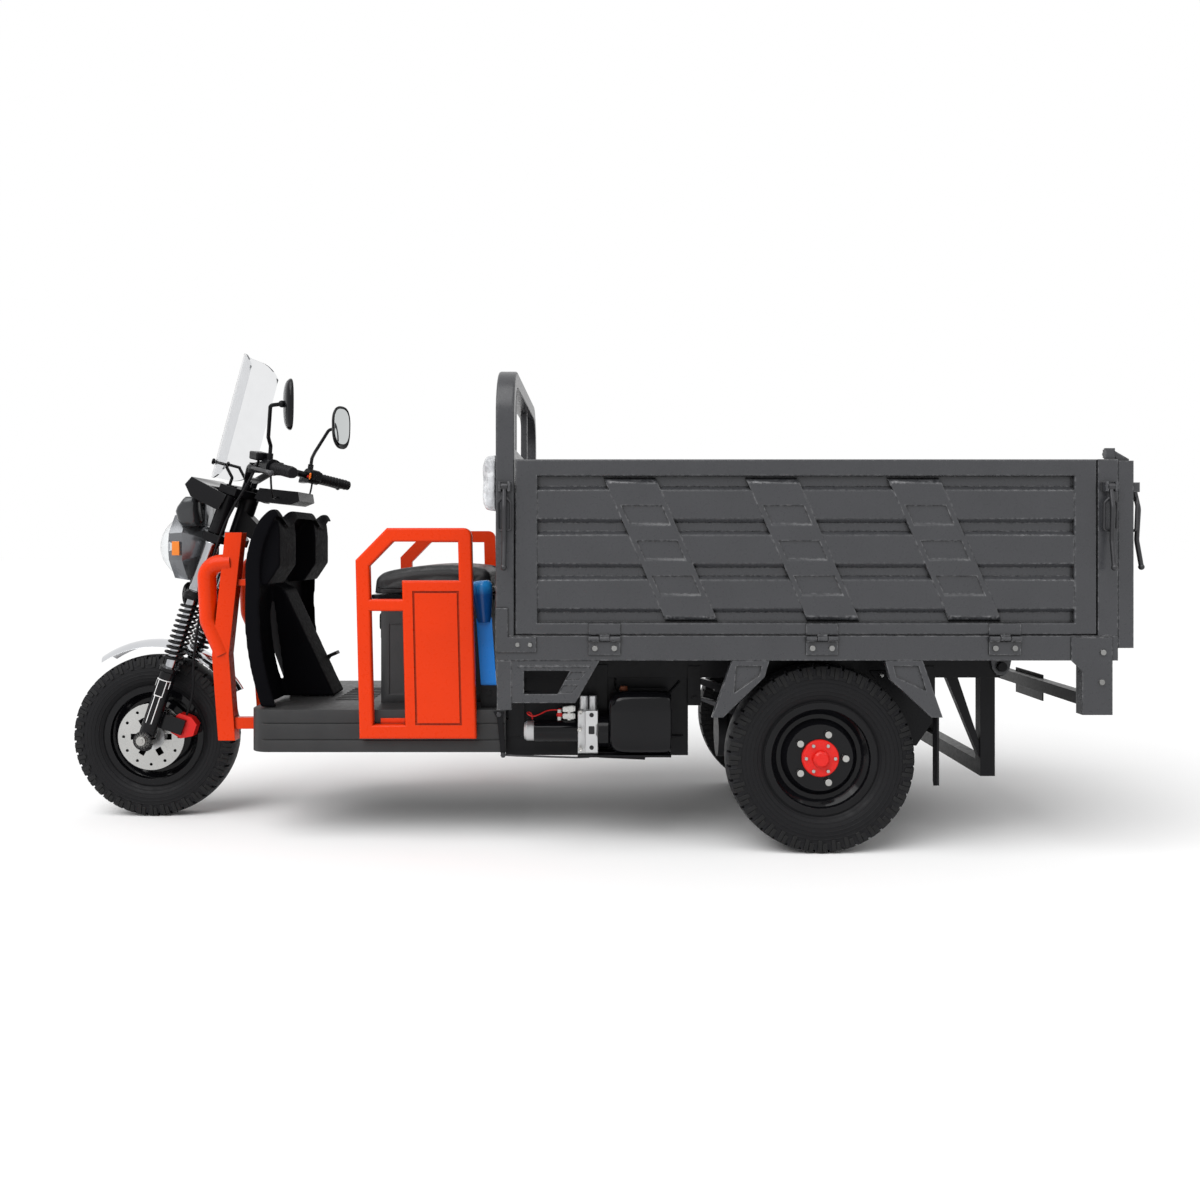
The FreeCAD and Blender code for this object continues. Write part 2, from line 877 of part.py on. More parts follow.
hub_cap = new_body("hub_cap")
cap_base = f"({FACE})"
spun(
    hub_cap,
    "YZ_Plane",
    [[
        (cap_base, "0"),
        (cap_base, "hub_cap_radius"),
        (f"{cap_base}-hub_cap_thickness+3", "hub_cap_radius"),
        (f"{cap_base}-hub_cap_thickness", "hub_cap_radius-3"),
        (f"{cap_base}-hub_cap_thickness", "hub_boss_radius"),
        (f"{cap_base}-hub_cap_thickness-hub_boss_height+5", "hub_boss_radius-2"),
        (f"{cap_base}-hub_cap_thickness-hub_boss_height", "hub_boss_radius-8"),
        (f"{cap_base}-hub_cap_thickness-hub_boss_height", "0"),
    ]],
)
bolt = pad(
    hub_cap,
    "XZ_Plane",
    [("circle", "hub_bolt_circle_radius", "0", "hub_bolt_radius")],
    "hub_bolt_height+1",
    offset=f"-({cap_base}-hub_cap_thickness)-1",
)
ring_of(hub_cap, bolt, "hub_bolt_count")
put(hub_cap, *AT_REAR_LEFT)

drum = new_body("drum")
drum_face = "(-2-wheel_dish)"
spun(
    drum,
    "YZ_Plane",
    [[
        (drum_face, "0"),
        (f"{drum_face}-wheel_disc_thickness", "0"),
        (f"{drum_face}-wheel_disc_thickness", "rear_hub_hole_radius-seat_gap"),
        (drum_face, "rear_hub_hole_radius-seat_gap"),
        (drum_face, "drum_radius"),
        (f"{drum_face}+drum_width", "drum_radius"),
        (f"{drum_face}+drum_width", "drum_radius-drum_wall"),
        (f"{drum_face}+10", "drum_radius-drum_wall"),
        (f"{drum_face}+10", "spindle_radius+16"),
        (f"{drum_face}+drum_width", "spindle_radius+12"),
        (f"{drum_face}+drum_width", "spindle_radius+running_gap"),
        (f"{drum_face}+6", "spindle_radius+running_gap"),
        (f"{drum_face}+6", "0"),
    ]],
)
put(drum, *AT_REAR_LEFT)
rear_wheel = together("rear_wheel", rear_disc, rear_nuts, hub_cap, drum)
sub_part("rear_wheel_left", rear_wheel)
sub_part("rear_wheel_right", across("rear_wheel_mirror", rear_wheel))

# Rear axle with its gearbox and motor
drum_end = f"({LEFT_Y}-2-wheel_dish+drum_width)"
axle_tube = rod("axle_tube", REAR_X, "-axle_half_length", "rear_tyre_radius", "axle_tube_radius",
                "2*axle_half_length", "y")
spindle = rod("spindle", REAR_X, f"{LEFT_Y}-2-wheel_dish+8", "rear_tyre_radius", "spindle_radius",
              "spindle_length", "y")
backplate = rod("backplate", REAR_X, f"{drum_end}+1", "rear_tyre_radius", "drum_radius+2",
                "backplate_thickness", "y")
gearbox = new_body("gearbox")
spun(
    gearbox,
    "YZ_Plane",
    [[
        ("-gearbox_width/2", "0"),
        ("-gearbox_width/2", "axle_tube_radius+14"),
        ("-gearbox_width/2+22", "gearbox_radius"),
        ("gearbox_width/2-22", "gearbox_radius"),
        ("gearbox_width/2", "axle_tube_radius+14"),
        ("gearbox_width/2", "0"),
    ]],
)
put(gearbox, REAR_X, "0", "rear_tyre_radius")
axle_motor = new_body("axle_motor")
pad(axle_motor, "YZ_Plane", [("circle", "0", "0", "motor_radius")], "motor_length")
fin_step = "(motor_length-60)/motor_fin_count"
fin = pocket(
    axle_motor,
    "YZ_Plane",
    [("circle", "0", "0", "motor_radius+5"), ("circle", "0", "0", "motor_radius-7")],
    f"{fin_step}/2",
    offset=f"30+{fin_step}/2",
)
row_of(axle_motor, fin, "motor_length-60-motor_length/motor_fin_count", "motor_fin_count-1", "X_Axis")
put(axle_motor, f"{REAR_X}-gearbox_radius-motor_length+24", "0", "rear_tyre_radius")
spring_pad = block("spring_pad", f"{REAR_X}-45", "-rail_y-leaf_width/2", "rear_tyre_radius", "90", "leaf_width",
                   "axle_tube_radius+axle_seat_height")
rear_axle = join("rear_axle_solid", axle_tube, spindle, across("spindle_right", spindle), backplate,
                 across("backplate_right", backplate), gearbox, axle_motor, spring_pad,
                 across("spring_pad_right", spring_pad))
sub_part("rear_axle", rear_axle)

# Leaf springs, drawn about the middle of the left pack
PACK_Z = "rear_tyre_radius+axle_tube_radius+axle_seat_height"
EYE_Z = f"({PACK_Z}+leaf_count*leaf_thickness+leaf_camber)"
leaf_pack = new_body("leaf_pack")
outline = []
for n in range(int(size("leaf_count"))):
    run = f"(leaf_span/2-{int(size('leaf_count')) - 1 - n}*leaf_step)"
    rise = f"(leaf_camber*({run})^2/(leaf_span/2)^2)"
    outline.append((run, f"{n}*leaf_thickness+{rise}"))
    outline.append((run, f"{n + 1}*leaf_thickness+{rise}-0.4"))
left_side = [(f"-({x})", z) for x, z in reversed(outline)]
top_dip = [("60", "leaf_count*leaf_thickness"), ("-60", "leaf_count*leaf_thickness")]
base_dip = [("-60", "0"), ("60", "0")]
pad(leaf_pack, "XZ_Plane", [outline + top_dip + left_side + base_dip], "leaf_width", centred=True)
put(leaf_pack, REAR_X, "-rail_y", PACK_Z)
eye_run = "(leaf_span/2)"
eye_z = f"({PACK_Z}+leaf_count*leaf_thickness+leaf_camber-4)"
eyes = []
for side, sign in (("front", "-"), ("rear", "+")):
    x = f"{REAR_X}{sign}({eye_run}+leaf_eye_radius-4)"
    eyes.append((side, x))
front_eye = rod("front_eye", eyes[0][1], "-rail_y-leaf_width/2", eye_z, "leaf_eye_radius", "leaf_width", "y")
rear_eye = rod("rear_eye", eyes[1][1], "-rail_y-leaf_width/2", eye_z, "leaf_eye_radius", "leaf_width", "y")
front_eye_hole = rod("front_eye_hole", eyes[0][1], "-rail_y-leaf_width/2-1", eye_z,
                     "leaf_pin_radius+seat_gap", "leaf_width+2", "y")
rear_eye_hole = rod("rear_eye_hole", eyes[1][1], "-rail_y-leaf_width/2-1", eye_z,
                    "leaf_pin_radius+seat_gap", "leaf_width+2", "y")
leaf_spring = minus("leaf_spring", join("leaf_with_eyes", leaf_pack, front_eye, rear_eye), front_eye_hole,
                    rear_eye_hole)
pair("leaf_springs", leaf_spring)

# Front wheel with its brake disc
AT_FRONT = ("front_axle_x", "0", "front_tyre_radius")
sub_part("front_tyre", put(tyre("front_tyre_body", "front_tyre_width/2", "front_tyre_radius", "front_rim_width"),
                           *AT_FRONT))
front_disc = put(pressed_wheel("front_disc", "front_rim_width", "wheel_dish/2", "front_hub_radius+seat_gap"), *AT_FRONT)
front_hub = new_body("front_hub")
spun(
    front_hub,
    "YZ_Plane",
    [[
        ("-front_hub_length/2", "front_axle_radius+running_gap"),
        ("-front_hub_length/2", "front_hub_radius"),
        ("-front_hub_length/2+14", "front_hub_radius"),
        ("-front_hub_length/2+18", "front_hub_radius-6"),
        ("-2-wheel_dish/2-wheel_disc_thickness-8", "front_hub_radius-6"),
        ("-2-wheel_dish/2-wheel_disc_thickness-4", "front_hub_radius"),
        ("-2-wheel_dish/2", "front_hub_radius"),
        ("-2-wheel_dish/2", "front_hub_radius+32"),
        ("2-wheel_dish/2", "front_hub_radius+32"),
        ("front_hub_length/2", "front_hub_radius-10"),
        ("front_hub_length/2", "front_axle_radius+running_gap"),
    ]],
)
put(front_hub, *AT_FRONT)
brake_disc = new_body("brake_disc_body")
pad(
    brake_disc,
    "XZ_Plane",
    [("circle", "0", "0", "disc_radius"), ("circle", "0", "0", "front_axle_radius+8")],
    "disc_thickness",
    offset="front_hub_length/2",
)
window = pocket(
    brake_disc,
    "XZ_Plane",
    [rectangle("disc_inner_radius-18", "-10", "disc_inner_radius+6", "10")],
    "disc_thickness+4",
    offset="front_hub_length/2-2",
    back=True,
)
ring_of(brake_disc, window, "6")
holes = pocket(
    brake_disc,
    "XZ_Plane",
    [("circle", "disc_hole_circle", "0", "disc_hole_radius")],
    "disc_thickness+4",
    offset="front_hub_length/2-2",
    back=True,
)
ring_of(brake_disc, holes, "disc_hole_count")
put(brake_disc, *AT_FRONT)
front_nuts = studs("front_nuts", "front_hub_radius+18", "7", "9", "lug_count", "-2-wheel_dish/2-wheel_disc_thickness")
put(front_nuts, *AT_FRONT)
sub_part("front_wheel", together("front_wheel_set", front_disc, front_hub, front_nuts, brake_disc))


def on_leg(item):
    """Stand an upright object on the axis of the left fork leg."""
    return put(item, "front_axle_x", "-fork_spread", "front_tyre_radius", FORK_AXIS, "fork_rake")


# Fork legs: a sliding tube each, with a spring seat, an axle boss and, on the left, a caliper lug
def fork_leg(name):
    body = new_body(name)
    spun(
        body,
        "XZ_Plane",
        [[
            ("0", "fork_leg_bottom"),
            ("fork_leg_radius-6", "fork_leg_bottom"),
            ("fork_leg_radius", "fork_leg_bottom+8"),
            ("fork_leg_radius", "fork_leg_top-6"),
            ("fork_cap_radius", "fork_leg_top"),
            ("fork_cap_radius", "fork_leg_top+fork_cap_height"),
            ("fork_tube_radius+running_gap", "fork_leg_top+fork_cap_height"),
            ("fork_tube_radius+running_gap", "fork_bore_bottom"),
            ("0", "fork_bore_bottom"),
        ]],
        "V_Axis",
    )
    pad(body, "XZ_Plane", [("circle", "0", "0", "axle_boss_radius")], "axle_boss_width", centred=True)
    pocket(body, "XZ_Plane", [("circle", "0", "0", "front_axle_radius+running_gap")], "axle_boss_width+40",
           centred=True)
    return body


LUG_Y = "(fork_spread-front_hub_length/2-disc_thickness/2-20)"
left_leg = fork_leg("left_leg")
pad(left_leg, "XZ_Plane", [rectangle("14", "45", "100", "95")], "12", offset=f"-({LUG_Y})+seat_gap+12", back=True)
on_leg(left_leg)
right_leg = fork_leg("right_leg")
put(right_leg, "front_axle_x", "fork_spread", "front_tyre_radius", FORK_AXIS, "fork_rake")
axle_reach = "(fork_spread+axle_boss_width/2)"
axle_rod = rod("axle_rod", "front_axle_x", f"-{axle_reach}-14", "front_tyre_radius", "front_axle_radius",
               f"2*{axle_reach}+28", "y")
axle_nut = rod("axle_nut", "front_axle_x", f"-{axle_reach}-12", "front_tyre_radius", "front_axle_radius+7",
               "12", "y")
axle = join("front_axle", axle_rod, axle_nut, across("axle_nut_right", axle_nut))
sub_part("fork_legs", together("fork_leg_set", left_leg, right_leg, axle))

# Fork tubes with the upper spring collar
fork_tube = new_body("fork_tube")
spun(
    fork_tube,
    "XZ_Plane",
    [[
        ("0", "fork_tube_bottom"),
        ("fork_tube_radius", "fork_tube_bottom"),
        ("fork_tube_radius", "spring_top"),
        ("spring_collar_radius", "spring_top"),
        ("spring_collar_radius", "spring_top+spring_collar_height/2"),
        ("fork_tube_radius+4", "spring_top+spring_collar_height"),
        ("fork_tube_radius", "spring_top+spring_collar_height"),
        ("fork_tube_radius", "fork_tube_top"),
        ("0", "fork_tube_top"),
    ]],
    "V_Axis",
)
on_leg(fork_tube)

# Clamps and stem
crown = new_body("crown")
clamp_outline = [
    ("-28", "-fork_spread-30"),
    ("28", "-fork_spread-30"),
    ("steer_offset+33", "-35"),
    ("steer_offset+33", "35"),
    ("28", "fork_spread+30"),
    ("-28", "fork_spread+30"),
]
stem_height = "(upper_clamp-lower_clamp+clamp_thickness+12)"
pad(crown, "XY_Plane", [clamp_outline], "clamp_thickness", offset="lower_clamp")
pad(crown, "XY_Plane", [("circle", "steer_offset", "0", "stem_radius")], stem_height, offset="lower_clamp")
pad(crown, "XY_Plane", [clamp_outline], "clamp_thickness", offset="upper_clamp")
pocket(
    crown,
    "XY_Plane",
    [("circle", "0", "-fork_spread", "fork_tube_radius+running_gap"),
     ("circle", "0", "fork_spread", "fork_tube_radius+running_gap")],
    "upper_clamp",
    offset="lower_clamp-5",
    back=True,
)
on_fork(crown)
sub_part("fork_crown", together("fork_crown_set", crown, fork_tube, across("fork_tube_right", fork_tube)))


def two_arcs(a, along_a, b, along_b):
    """Two tangent arcs from one point and direction to another."""
    gap = b - a
    s = along_a + along_b
    k = 2 * (1 - along_a.dot(along_b))
    reach = gap.dot(s)
    d = (-reach + math.sqrt(reach**2 + k * gap.dot(gap))) / k if k > 1e-9 else gap.dot(gap) / (2 * reach)
    meet = (a + along_a * d + b - along_b * d) * 0.5
    return [arc_from(a, along_a, meet), arc_from(b, along_b * -1, meet)[::-1]]


def arc_from(a, along, b):
    """Start, middle and end of the arc that leaves a in a direction and reaches b."""
    chord = b - a
    across_chord = along - chord * (along.dot(chord) / chord.dot(chord))
    turn = along.getAngle(chord)
    bulge = chord.Length / 2 * math.tan(turn / 2)
    return [a, a + chord * 0.5 + across_chord.normalize() * bulge, b]


def coil(radius, wire, bottom, top, turns):
    """A round wire wound about Z, with straight upright ends on its two seats. Prints its least gap to itself."""
    lead = 2 * wire
    rise = 3.2 * wire
    low, high = bottom + lead + rise, top - lead - rise
    count = int(round(turns * 4))

    def spot(i):
        angle = i * math.pi / 2
        return Vector(radius * math.cos(angle), radius * math.sin(angle), low + (high - low) * i / count)

    def heading(i):
        angle = i * math.pi / 2
        climb = (high - low) / (count * math.pi / 2)
        return Vector(-radius * math.sin(angle), radius * math.cos(angle), climb).normalize()

    up = Vector(0, 0, 1)
    start, end = spot(0), spot(count)
    foot = start - heading(0) * rise
    foot.z = bottom + lead
    head = end + heading(count) * rise
    head.z = top - lead
    runs = two_arcs(foot, up, start, heading(0))
    for i in range(count):
        runs += two_arcs(spot(i), heading(i), spot(i + 1), heading(i + 1))
    runs += two_arcs(end, heading(count), head, up)
    edges = [Part.makeLine(Vector(foot.x, foot.y, bottom), foot)]
    edges += [Part.Arc(*run).toShape() for run in runs]
    edges.append(Part.makeLine(head, Vector(head.x, head.y, top)))
    path = Part.Wire(edges)
    section = Part.Wire(Part.makeCircle(wire, Vector(foot.x, foot.y, bottom), up))
    tube = path.makePipeShell([section], True, False)
    expected = math.pi * wire**2 * path.Length
    if abs(tube.Volume / expected - 1) > 0.02:
        raise ValueError(f"a coil has volume {tube.Volume:.0f}, not {expected:.0f}")
    beads = [(0, edges[0].valueAt(0))]
    run_length = 0
    for edge in edges:
        steps = max(2, int(edge.Length / 3))
        for i in range(1, steps + 1):
            share = edge.FirstParameter + (edge.LastParameter - edge.FirstParameter) * i / steps
            beads.append((run_length + edge.Length * i / steps, edge.valueAt(share)))
        run_length += edge.Length
    apart = [(p - q).Length - 2 * wire for s, p in beads for t, q in beads if t - s > 6 * wire]
    print(f"coil: least gap to itself {min(apart):.2f} mm")
    return tube


spring_shape = coil(size("spring_radius"), size("spring_wire_radius"), size("fork_leg_top+fork_cap_height"),
                    size("spring_top"), size("spring_turns"))
fork_spring = solid("fork_spring", spring_shape)
on_leg(fork_spring)
pair("fork_springs", fork_spring)

# Front fender on two straps
fender_sheet = new_body("fender_sheet")
edge_radius = "fender_radius-fender_crown"
half_fender = "fender_width/2"
inner_half = "(fender_width/2-fender_thickness)"
inner_crown = "(fender_crown-fender_thickness)"
turn = spun(
    fender_sheet,
    "YZ_Plane",
    [[
        (f"-{half_fender}", edge_radius, f"(({half_fender})^2+fender_crown^2)/(2*fender_crown)", -1),
        (half_fender, edge_radius),
        (inner_half, edge_radius, f"({inner_half}^2+{inner_crown}^2)/(2*{inner_crown})", 1),
        (f"-{inner_half}", edge_radius),
    ]],
)
bind(turn, "Angle", "fender_front_angle+fender_rear_angle")
put(fender_sheet, "front_axle_x", "0", "front_tyre_radius", FORK_AXIS, "-fender_front_angle")
strap = new_body("strap")
leg_inside = "(fork_spread-fork_leg_radius-seat_gap)"
pad(
    strap,
    "YZ_Plane",
    [[
        (f"-{leg_inside}", "fork_leg_top-50"),
        (f"-{half_fender}+3", "fork_leg_top-50"),
        (f"-{half_fender}+3", f"{edge_radius}+5"),
        (f"-{half_fender}-5", f"{edge_radius}+5"),
        (f"-{half_fender}-5", "fork_leg_top-38"),
        (f"-{leg_inside}", "fork_leg_top-38"),
    ]],
    "20",
    centred=True,
)
on_fork(strap)
sub_part("front_fender", join("front_fender_solid", fender_sheet, strap, across("strap_right", strap)))

# Caliper astride the disc, bolted to the left leg's lug
caliper = new_body("caliper")
caliper_side = "(front_hub_length/2+disc_thickness/2)"
pad(
    caliper,
    "XZ_Plane",
    [[
        ("62", "40"),
        ("100", "31"),
        ("62+caliper_length", "52"),
        ("62+caliper_length", "92"),
        ("112", "31+caliper_height"),
        ("70", "31+caliper_height"),
        ("62", "98"),
    ]],
    "20+16",
    offset=f"{caliper_side}-16",
)
pocket(caliper, "XZ_Plane", [[
    ("40", "10"),
    ("disc_radius+8", "10"),
    ("disc_radius+8", "70"),
    ("90", "disc_radius-8"),
    ("40", "disc_radius+8"),
]], "caliper_slot", offset=f"{caliper_side}-caliper_slot/2", back=True)
on_fork(caliper)
sub_part("brake_caliper", caliper)

# Handlebar with grips, pods and stays
BAR_POINTS = [
    ("bar_end_x", "bar_end_y", "bar_end_z"),
    ("perch_x", "perch_y", "perch_z"),
    ("bar_rise_x", "bar_rise_y", "bar_rise_z"),
    ("bar_centre_x", "45", "bar_centre_z"),
]
left_run = [point(x, f"-{y}", z) for x, y, z in BAR_POINTS]
right_run = [point(x, y, z) for x, y, z in reversed(BAR_POINTS)]
bar = solid("bar", tube_along(left_run + right_run, size("bar_bend"), size("bar_radius")))

# A frame at the left end of the bar: X runs inward along it, Y forward, Z about upward
inward = (left_run[1] - left_run[0]).normalize()
forward = inward.cross(Vector(0, 0, 1)) * -1
forward.normalize()
upward = inward.cross(forward)
if upward.z < 0:
    forward, upward = forward * -1, upward * -1
at_left_grip = FreeCAD.Placement(
    FreeCAD.Matrix(
        inward.x, forward.x, upward.x, left_run[0].x,
        inward.y, forward.y, upward.y, left_run[0].y,
        inward.z, forward.z, upward.z, left_run[0].z,
    )
)
X_DIR = Vector(1, 0, 0)


def at_grip(name, shape):
    item = solid(name, shape)
    item.Placement = at_left_grip
    return item


def sleeve(start, length, outer, inner):
    """A tube along the bar."""
    shell = Part.makeCylinder(outer, length, Vector(start, 0, 0), X_DIR)
    return shell.cut(Part.makeCylinder(inner, length + 2, Vector(start - 1, 0, 0), X_DIR))


grip_length = size("grip_length")
bore = size("bar_radius+running_gap")
outer = size("grip_radius")
grip_edge = [(-1.5, 0), (-1.5, bore), (grip_length - 1.5, bore), (grip_length - 1.5, outer)]
for n in range(8, -1, -1):
    start = 10 + n * 13
    grip_edge += [(start + 3, outer), (start + 1.4, outer + 1.6), (start - 1.4, outer + 1.6), (start - 3, outer)]
grip_edge += [(-5, outer), (-7, outer - 2), (-7, 0), (-1.5, 0)]
grip_face = Part.Face(Part.makePolygon([Vector(x, r, 0) for x, r in grip_edge]))
left_grip = at_grip("left_grip", grip_face.revolve(Vector(), X_DIR, 360))
pod_start = grip_length + 2
pod_length = size("pod_length")
lever_pivot = Vector(pod_start + pod_length / 2, size("lever_offset"), -4)
pod = sleeve(pod_start, pod_length, size("pod_radius"), bore)
switch_box = Part.makeBox(pod_length - 8, 34, 30, Vector(pod_start + 4, -size("pod_radius") - 8, -14))
arm = Part.makeBox(22, lever_pivot.y - size("bar_radius") - 4, 10,
                   Vector(lever_pivot.x - 11, size("bar_radius") + 4, lever_pivot.z - 16))
boss = Part.makeCylinder(11, 10, Vector(lever_pivot.x, lever_pivot.y, lever_pivot.z - 16))
pin = Part.makeCylinder(size("lever_pin_radius"), 30, Vector(lever_pivot.x, lever_pivot.y, lever_pivot.z - 16))
pin_head = Part.makeCylinder(8, 4, Vector(lever_pivot.x, lever_pivot.y, lever_pivot.z + 10.3))
stem_base = Part.makeCylinder(10, 26, Vector(pod_start + pod_length - 12, 0, size("bar_radius") + 4))
pod = pod.fuse([switch_box, arm, boss, pin, pin_head, stem_base])
pod = pod.cut(Part.makeCylinder(bore, pod_length + 40, Vector(pod_start - 20, 0, 0), X_DIR)).removeSplitter()
left_pod = at_grip("left_pod", pod)
reservoir = Part.makeBox(58, 42, 26, Vector(pod_start + pod_length + 6, -6, size("bar_radius") + 3))
reservoir = reservoir.makeFillet(5, reservoir.Edges)
left_reservoir = at_grip("left_reservoir", reservoir)

# Mirror stems rise from the pods to a ball behind each mirror
stem_foot = at_left_grip.multVec(Vector(pod_start + pod_length - 12, 0, size("bar_radius") + 24))
mirror_turn = FreeCAD.Rotation(Vector(0, 0, 1), size("mirror_turn"))
mirror_centre = point("mirror_x", "-mirror_y", "mirror_z")
ball_at = mirror_centre + mirror_turn.multVec(Vector(-2, 0, 0))
stem_elbow = point("mirror_x-64", "-mirror_y+66", "mirror_z-96")
stem_tip = ball_at + mirror_turn.multVec(Vector(-34, 0, -6))
mirror_stem = tube_along([stem_foot, stem_foot + upward * 30, stem_elbow, stem_tip, ball_at], 9,
                         size("mirror_stem_radius"))
mirror_stem = mirror_stem.fuse(Part.makeSphere(size("mirror_ball_radius"), ball_at)).removeSplitter()
left_stem = solid("left_mirror_stem", mirror_stem)
mirror_hub = join("mirror_post", left_pod, left_stem)

on_riser = new_body("riser_body")
pad(on_riser, "XY_Plane", [("circle", "22", "-32", "riser_radius")], "34",
    offset="upper_clamp+clamp_thickness+seat_gap")
on_fork(on_riser)
bar_set = join("bar_set", bar, on_riser, across("riser_right", on_riser))

# Instrument panel behind the bar, with a hood round its face
dash = new_body("dash")
half_dash = "dash_width/2"
pad(
    dash,
    "XZ_Plane",
    [[
        ("-dash_length/2", "-dash_height/2+10"),
        ("-dash_length/2+24", "-dash_height/2"),
        ("dash_length/2-30", "-dash_height/2"),
        ("dash_length/2", "-dash_height/2+16"),
        ("dash_length/2-8", "dash_height/2"),
        ("-dash_length/2+14", "dash_height/2"),
    ]],
    "dash_width",
    centred=True,
)
pocket(dash, "XY_Plane", [rectangle("-dash_length/2+26", f"-{half_dash}+14", "dash_length/2-18", f"{half_dash}-14")],
       "20", offset="dash_height/2-4", back=True)
put(dash, "dash_x", "0", "dash_z", FORK_AXIS, "dash_tilt")
dash_tab = new_body("dash_tab")
pad(dash_tab, "XY_Plane", [rectangle("steer_offset+33+seat_gap", "-25", "steer_offset+60", "25")], "18",
    offset="upper_clamp+2")
on_fork(dash_tab)
dash_set = join("dash_set", dash, dash_tab)
sub_part("throttle_grip", across("right_grip", left_grip))

# Brake levers
eye = Part.makeCylinder(size("lever_eye_radius"), 13.4, lever_pivot - Vector(0, 0, 5.7))
blade_path = [
    lever_pivot,
    lever_pivot + Vector(-30, 6, 0),
    lever_pivot + Vector(-120, 2, 0),
    lever_pivot + Vector(-size("lever_length"), 12, 0),
]
blade = tube_along(blade_path, 40, size("lever_radius"))
tip = Part.makeSphere(size("lever_radius+3"), blade_path[-1])
lever = eye.fuse([blade, tip])
lever = lever.cut(Part.makeCylinder(size("lever_pin_radius+running_gap"), 60, lever_pivot - Vector(0, 0, 30)))
lever = lever.removeSplitter()
left_lever = at_grip("left_lever", lever)
sub_part("brake_lever_left", left_lever)
sub_part("brake_lever_right", across("right_lever", left_lever))

# Mirror heads
mirror = new_body("mirror")
mirror_half = "mirror_width/2"
mirror_tall = "mirror_height/2"
pad(
    mirror,
    "YZ_Plane",
    [[
        (f"-{mirror_half}", f"-{mirror_tall}+40"),
        (f"-{mirror_half}+30", f"-{mirror_tall}"),
        (f"{mirror_half}-30", f"-{mirror_tall}"),
        (mirror_half, f"-{mirror_tall}+40"),
        (mirror_half, f"{mirror_tall}-34"),
        (f"{mirror_half}-34", mirror_tall),
        (f"-{mirror_half}+34", mirror_tall),
        (f"-{mirror_half}", f"{mirror_tall}-34"),
    ]],
    "mirror_depth",
)
rounded(mirror, "24", lambda e: runs_along(e, "x"))
rounded(mirror, "10", lambda e: abs(middle(e).x) < 0.01 and e.BoundBox.XLength < 0.01)
put(mirror, "mirror_x", "-mirror_y", "mirror_z", (0, 0, 1), "mirror_turn")
socket = doc.addObject("Part::Sphere", "mirror_socket")
bind(socket, "Radius", "mirror_ball_radius+seat_gap")
socket.Placement = FreeCAD.Placement(ball_at, FreeCAD.Rotation())
neck_room = Part.makeCone(size("mirror_stem_radius+3"), 34, 30, ball_at, mirror_turn.multVec(Vector(-1, 0, -0.18)))
mirror_head = minus("mirror_head", mirror, socket, solid("mirror_neck_room", neck_room))
sub_part("mirror_left", mirror_head)
sub_part("mirror_right", across("mirror_right_image", mirror_head))

# Windscreen: a curved sheet with rounded corners on two bolts
screen = new_body("screen")
bend = "screen_bend_radius"
thin = "(screen_bend_radius-screen_thickness)"
lean_in = f"sqrt({bend}^2-screen_half_width^2)"
share = f"({thin}/{bend})"
pad(
    screen,
    "XY_Plane",
    [[
        (f"{bend}-{lean_in}", "screen_half_width", bend, 1),
        (f"{bend}-{lean_in}", "-screen_half_width"),
        (f"{bend}-{lean_in}*{share}", f"-screen_half_width*{share}", thin, -1),
        (f"{bend}-{lean_in}*{share}", f"screen_half_width*{share}"),
    ]],
    "screen_height",
)
corner_cuts = []
for edge, end, inside in (("-screen_half_width", "screen_height", 1), ("screen_half_width", "screen_height", -1),
                          ("-screen_half_width", "0", 1), ("screen_half_width", "0", -1)):
    up = -1 if end != "0" else 1
    past = f"{end}+{-up * 5}"
    beside = f"{edge}-{inside * 5}" if inside > 0 else f"{edge}+5"
    corner_cuts.append([
        (edge, f"{end}+{up}*screen_corner", "screen_corner", up * inside),
        (f"{edge}+{inside}*screen_corner", end),
        (f"{edge}+{inside}*screen_corner", past),
        (beside, past),
        (beside, f"{end}+{up}*screen_corner"),
    ])
pocket(screen, "YZ_Plane", corner_cuts, "screen_bend_radius", offset="-5", back=True)
pocket(screen, "YZ_Plane", [("circle", "-screen_bolt_y", "screen_bolt_z", "screen_bolt_radius+seat_gap"),
                            ("circle", "screen_bolt_y", "screen_bolt_z", "screen_bolt_radius+seat_gap")],
       "screen_bend_radius", offset="-5", back=True)
put(screen, "screen_foot_x", "0", "screen_foot_z", FORK_AXIS, "screen_lean")
sub_part("windscreen", screen)

# Screen bolts stand on two stays from the lower edge of the visor's bracket
lean = FreeCAD.Rotation(Vector(0, 1, 0), size("screen_lean"))
bolt_radius = size("screen_bolt_radius")
bolt_depth = size("screen_bend_radius") - math.sqrt(size("screen_bend_radius") ** 2 - size("screen_bolt_y") ** 2)
bolt_face = point("screen_foot_x", "0", "screen_foot_z") + lean.multVec(
    Vector(bolt_depth, -size("screen_bolt_y"), size("screen_bolt_z")))
into = lean.multVec(Vector(1, 0, 0))
bolt_shank = Part.makeCylinder(bolt_radius, 44, bolt_face - into * 6, into)
bolt_head = Part.makeCylinder(bolt_radius + 5, 5, bolt_face - into * 9, into)
stay_foot = fork_place().multVec(Vector(-20, -70, size("upper_clamp+clamp_thickness+seat_gap")))
stay_top = bolt_face + into * 34
stay = tube_along([stay_foot, stay_foot + fork_place().Rotation.multVec(Vector(0, 0, 26)), stay_top], 8, 5)
screen_stay = solid("screen_stay", bolt_shank.fuse([bolt_head, stay]).removeSplitter())

sub_part("handlebar", together("handlebar_set", bar_set, left_grip, mirror_hub, across("right_pod", mirror_hub),
                               left_reservoir, dash_set, screen_stay, across("screen_stay_right", screen_stay)))

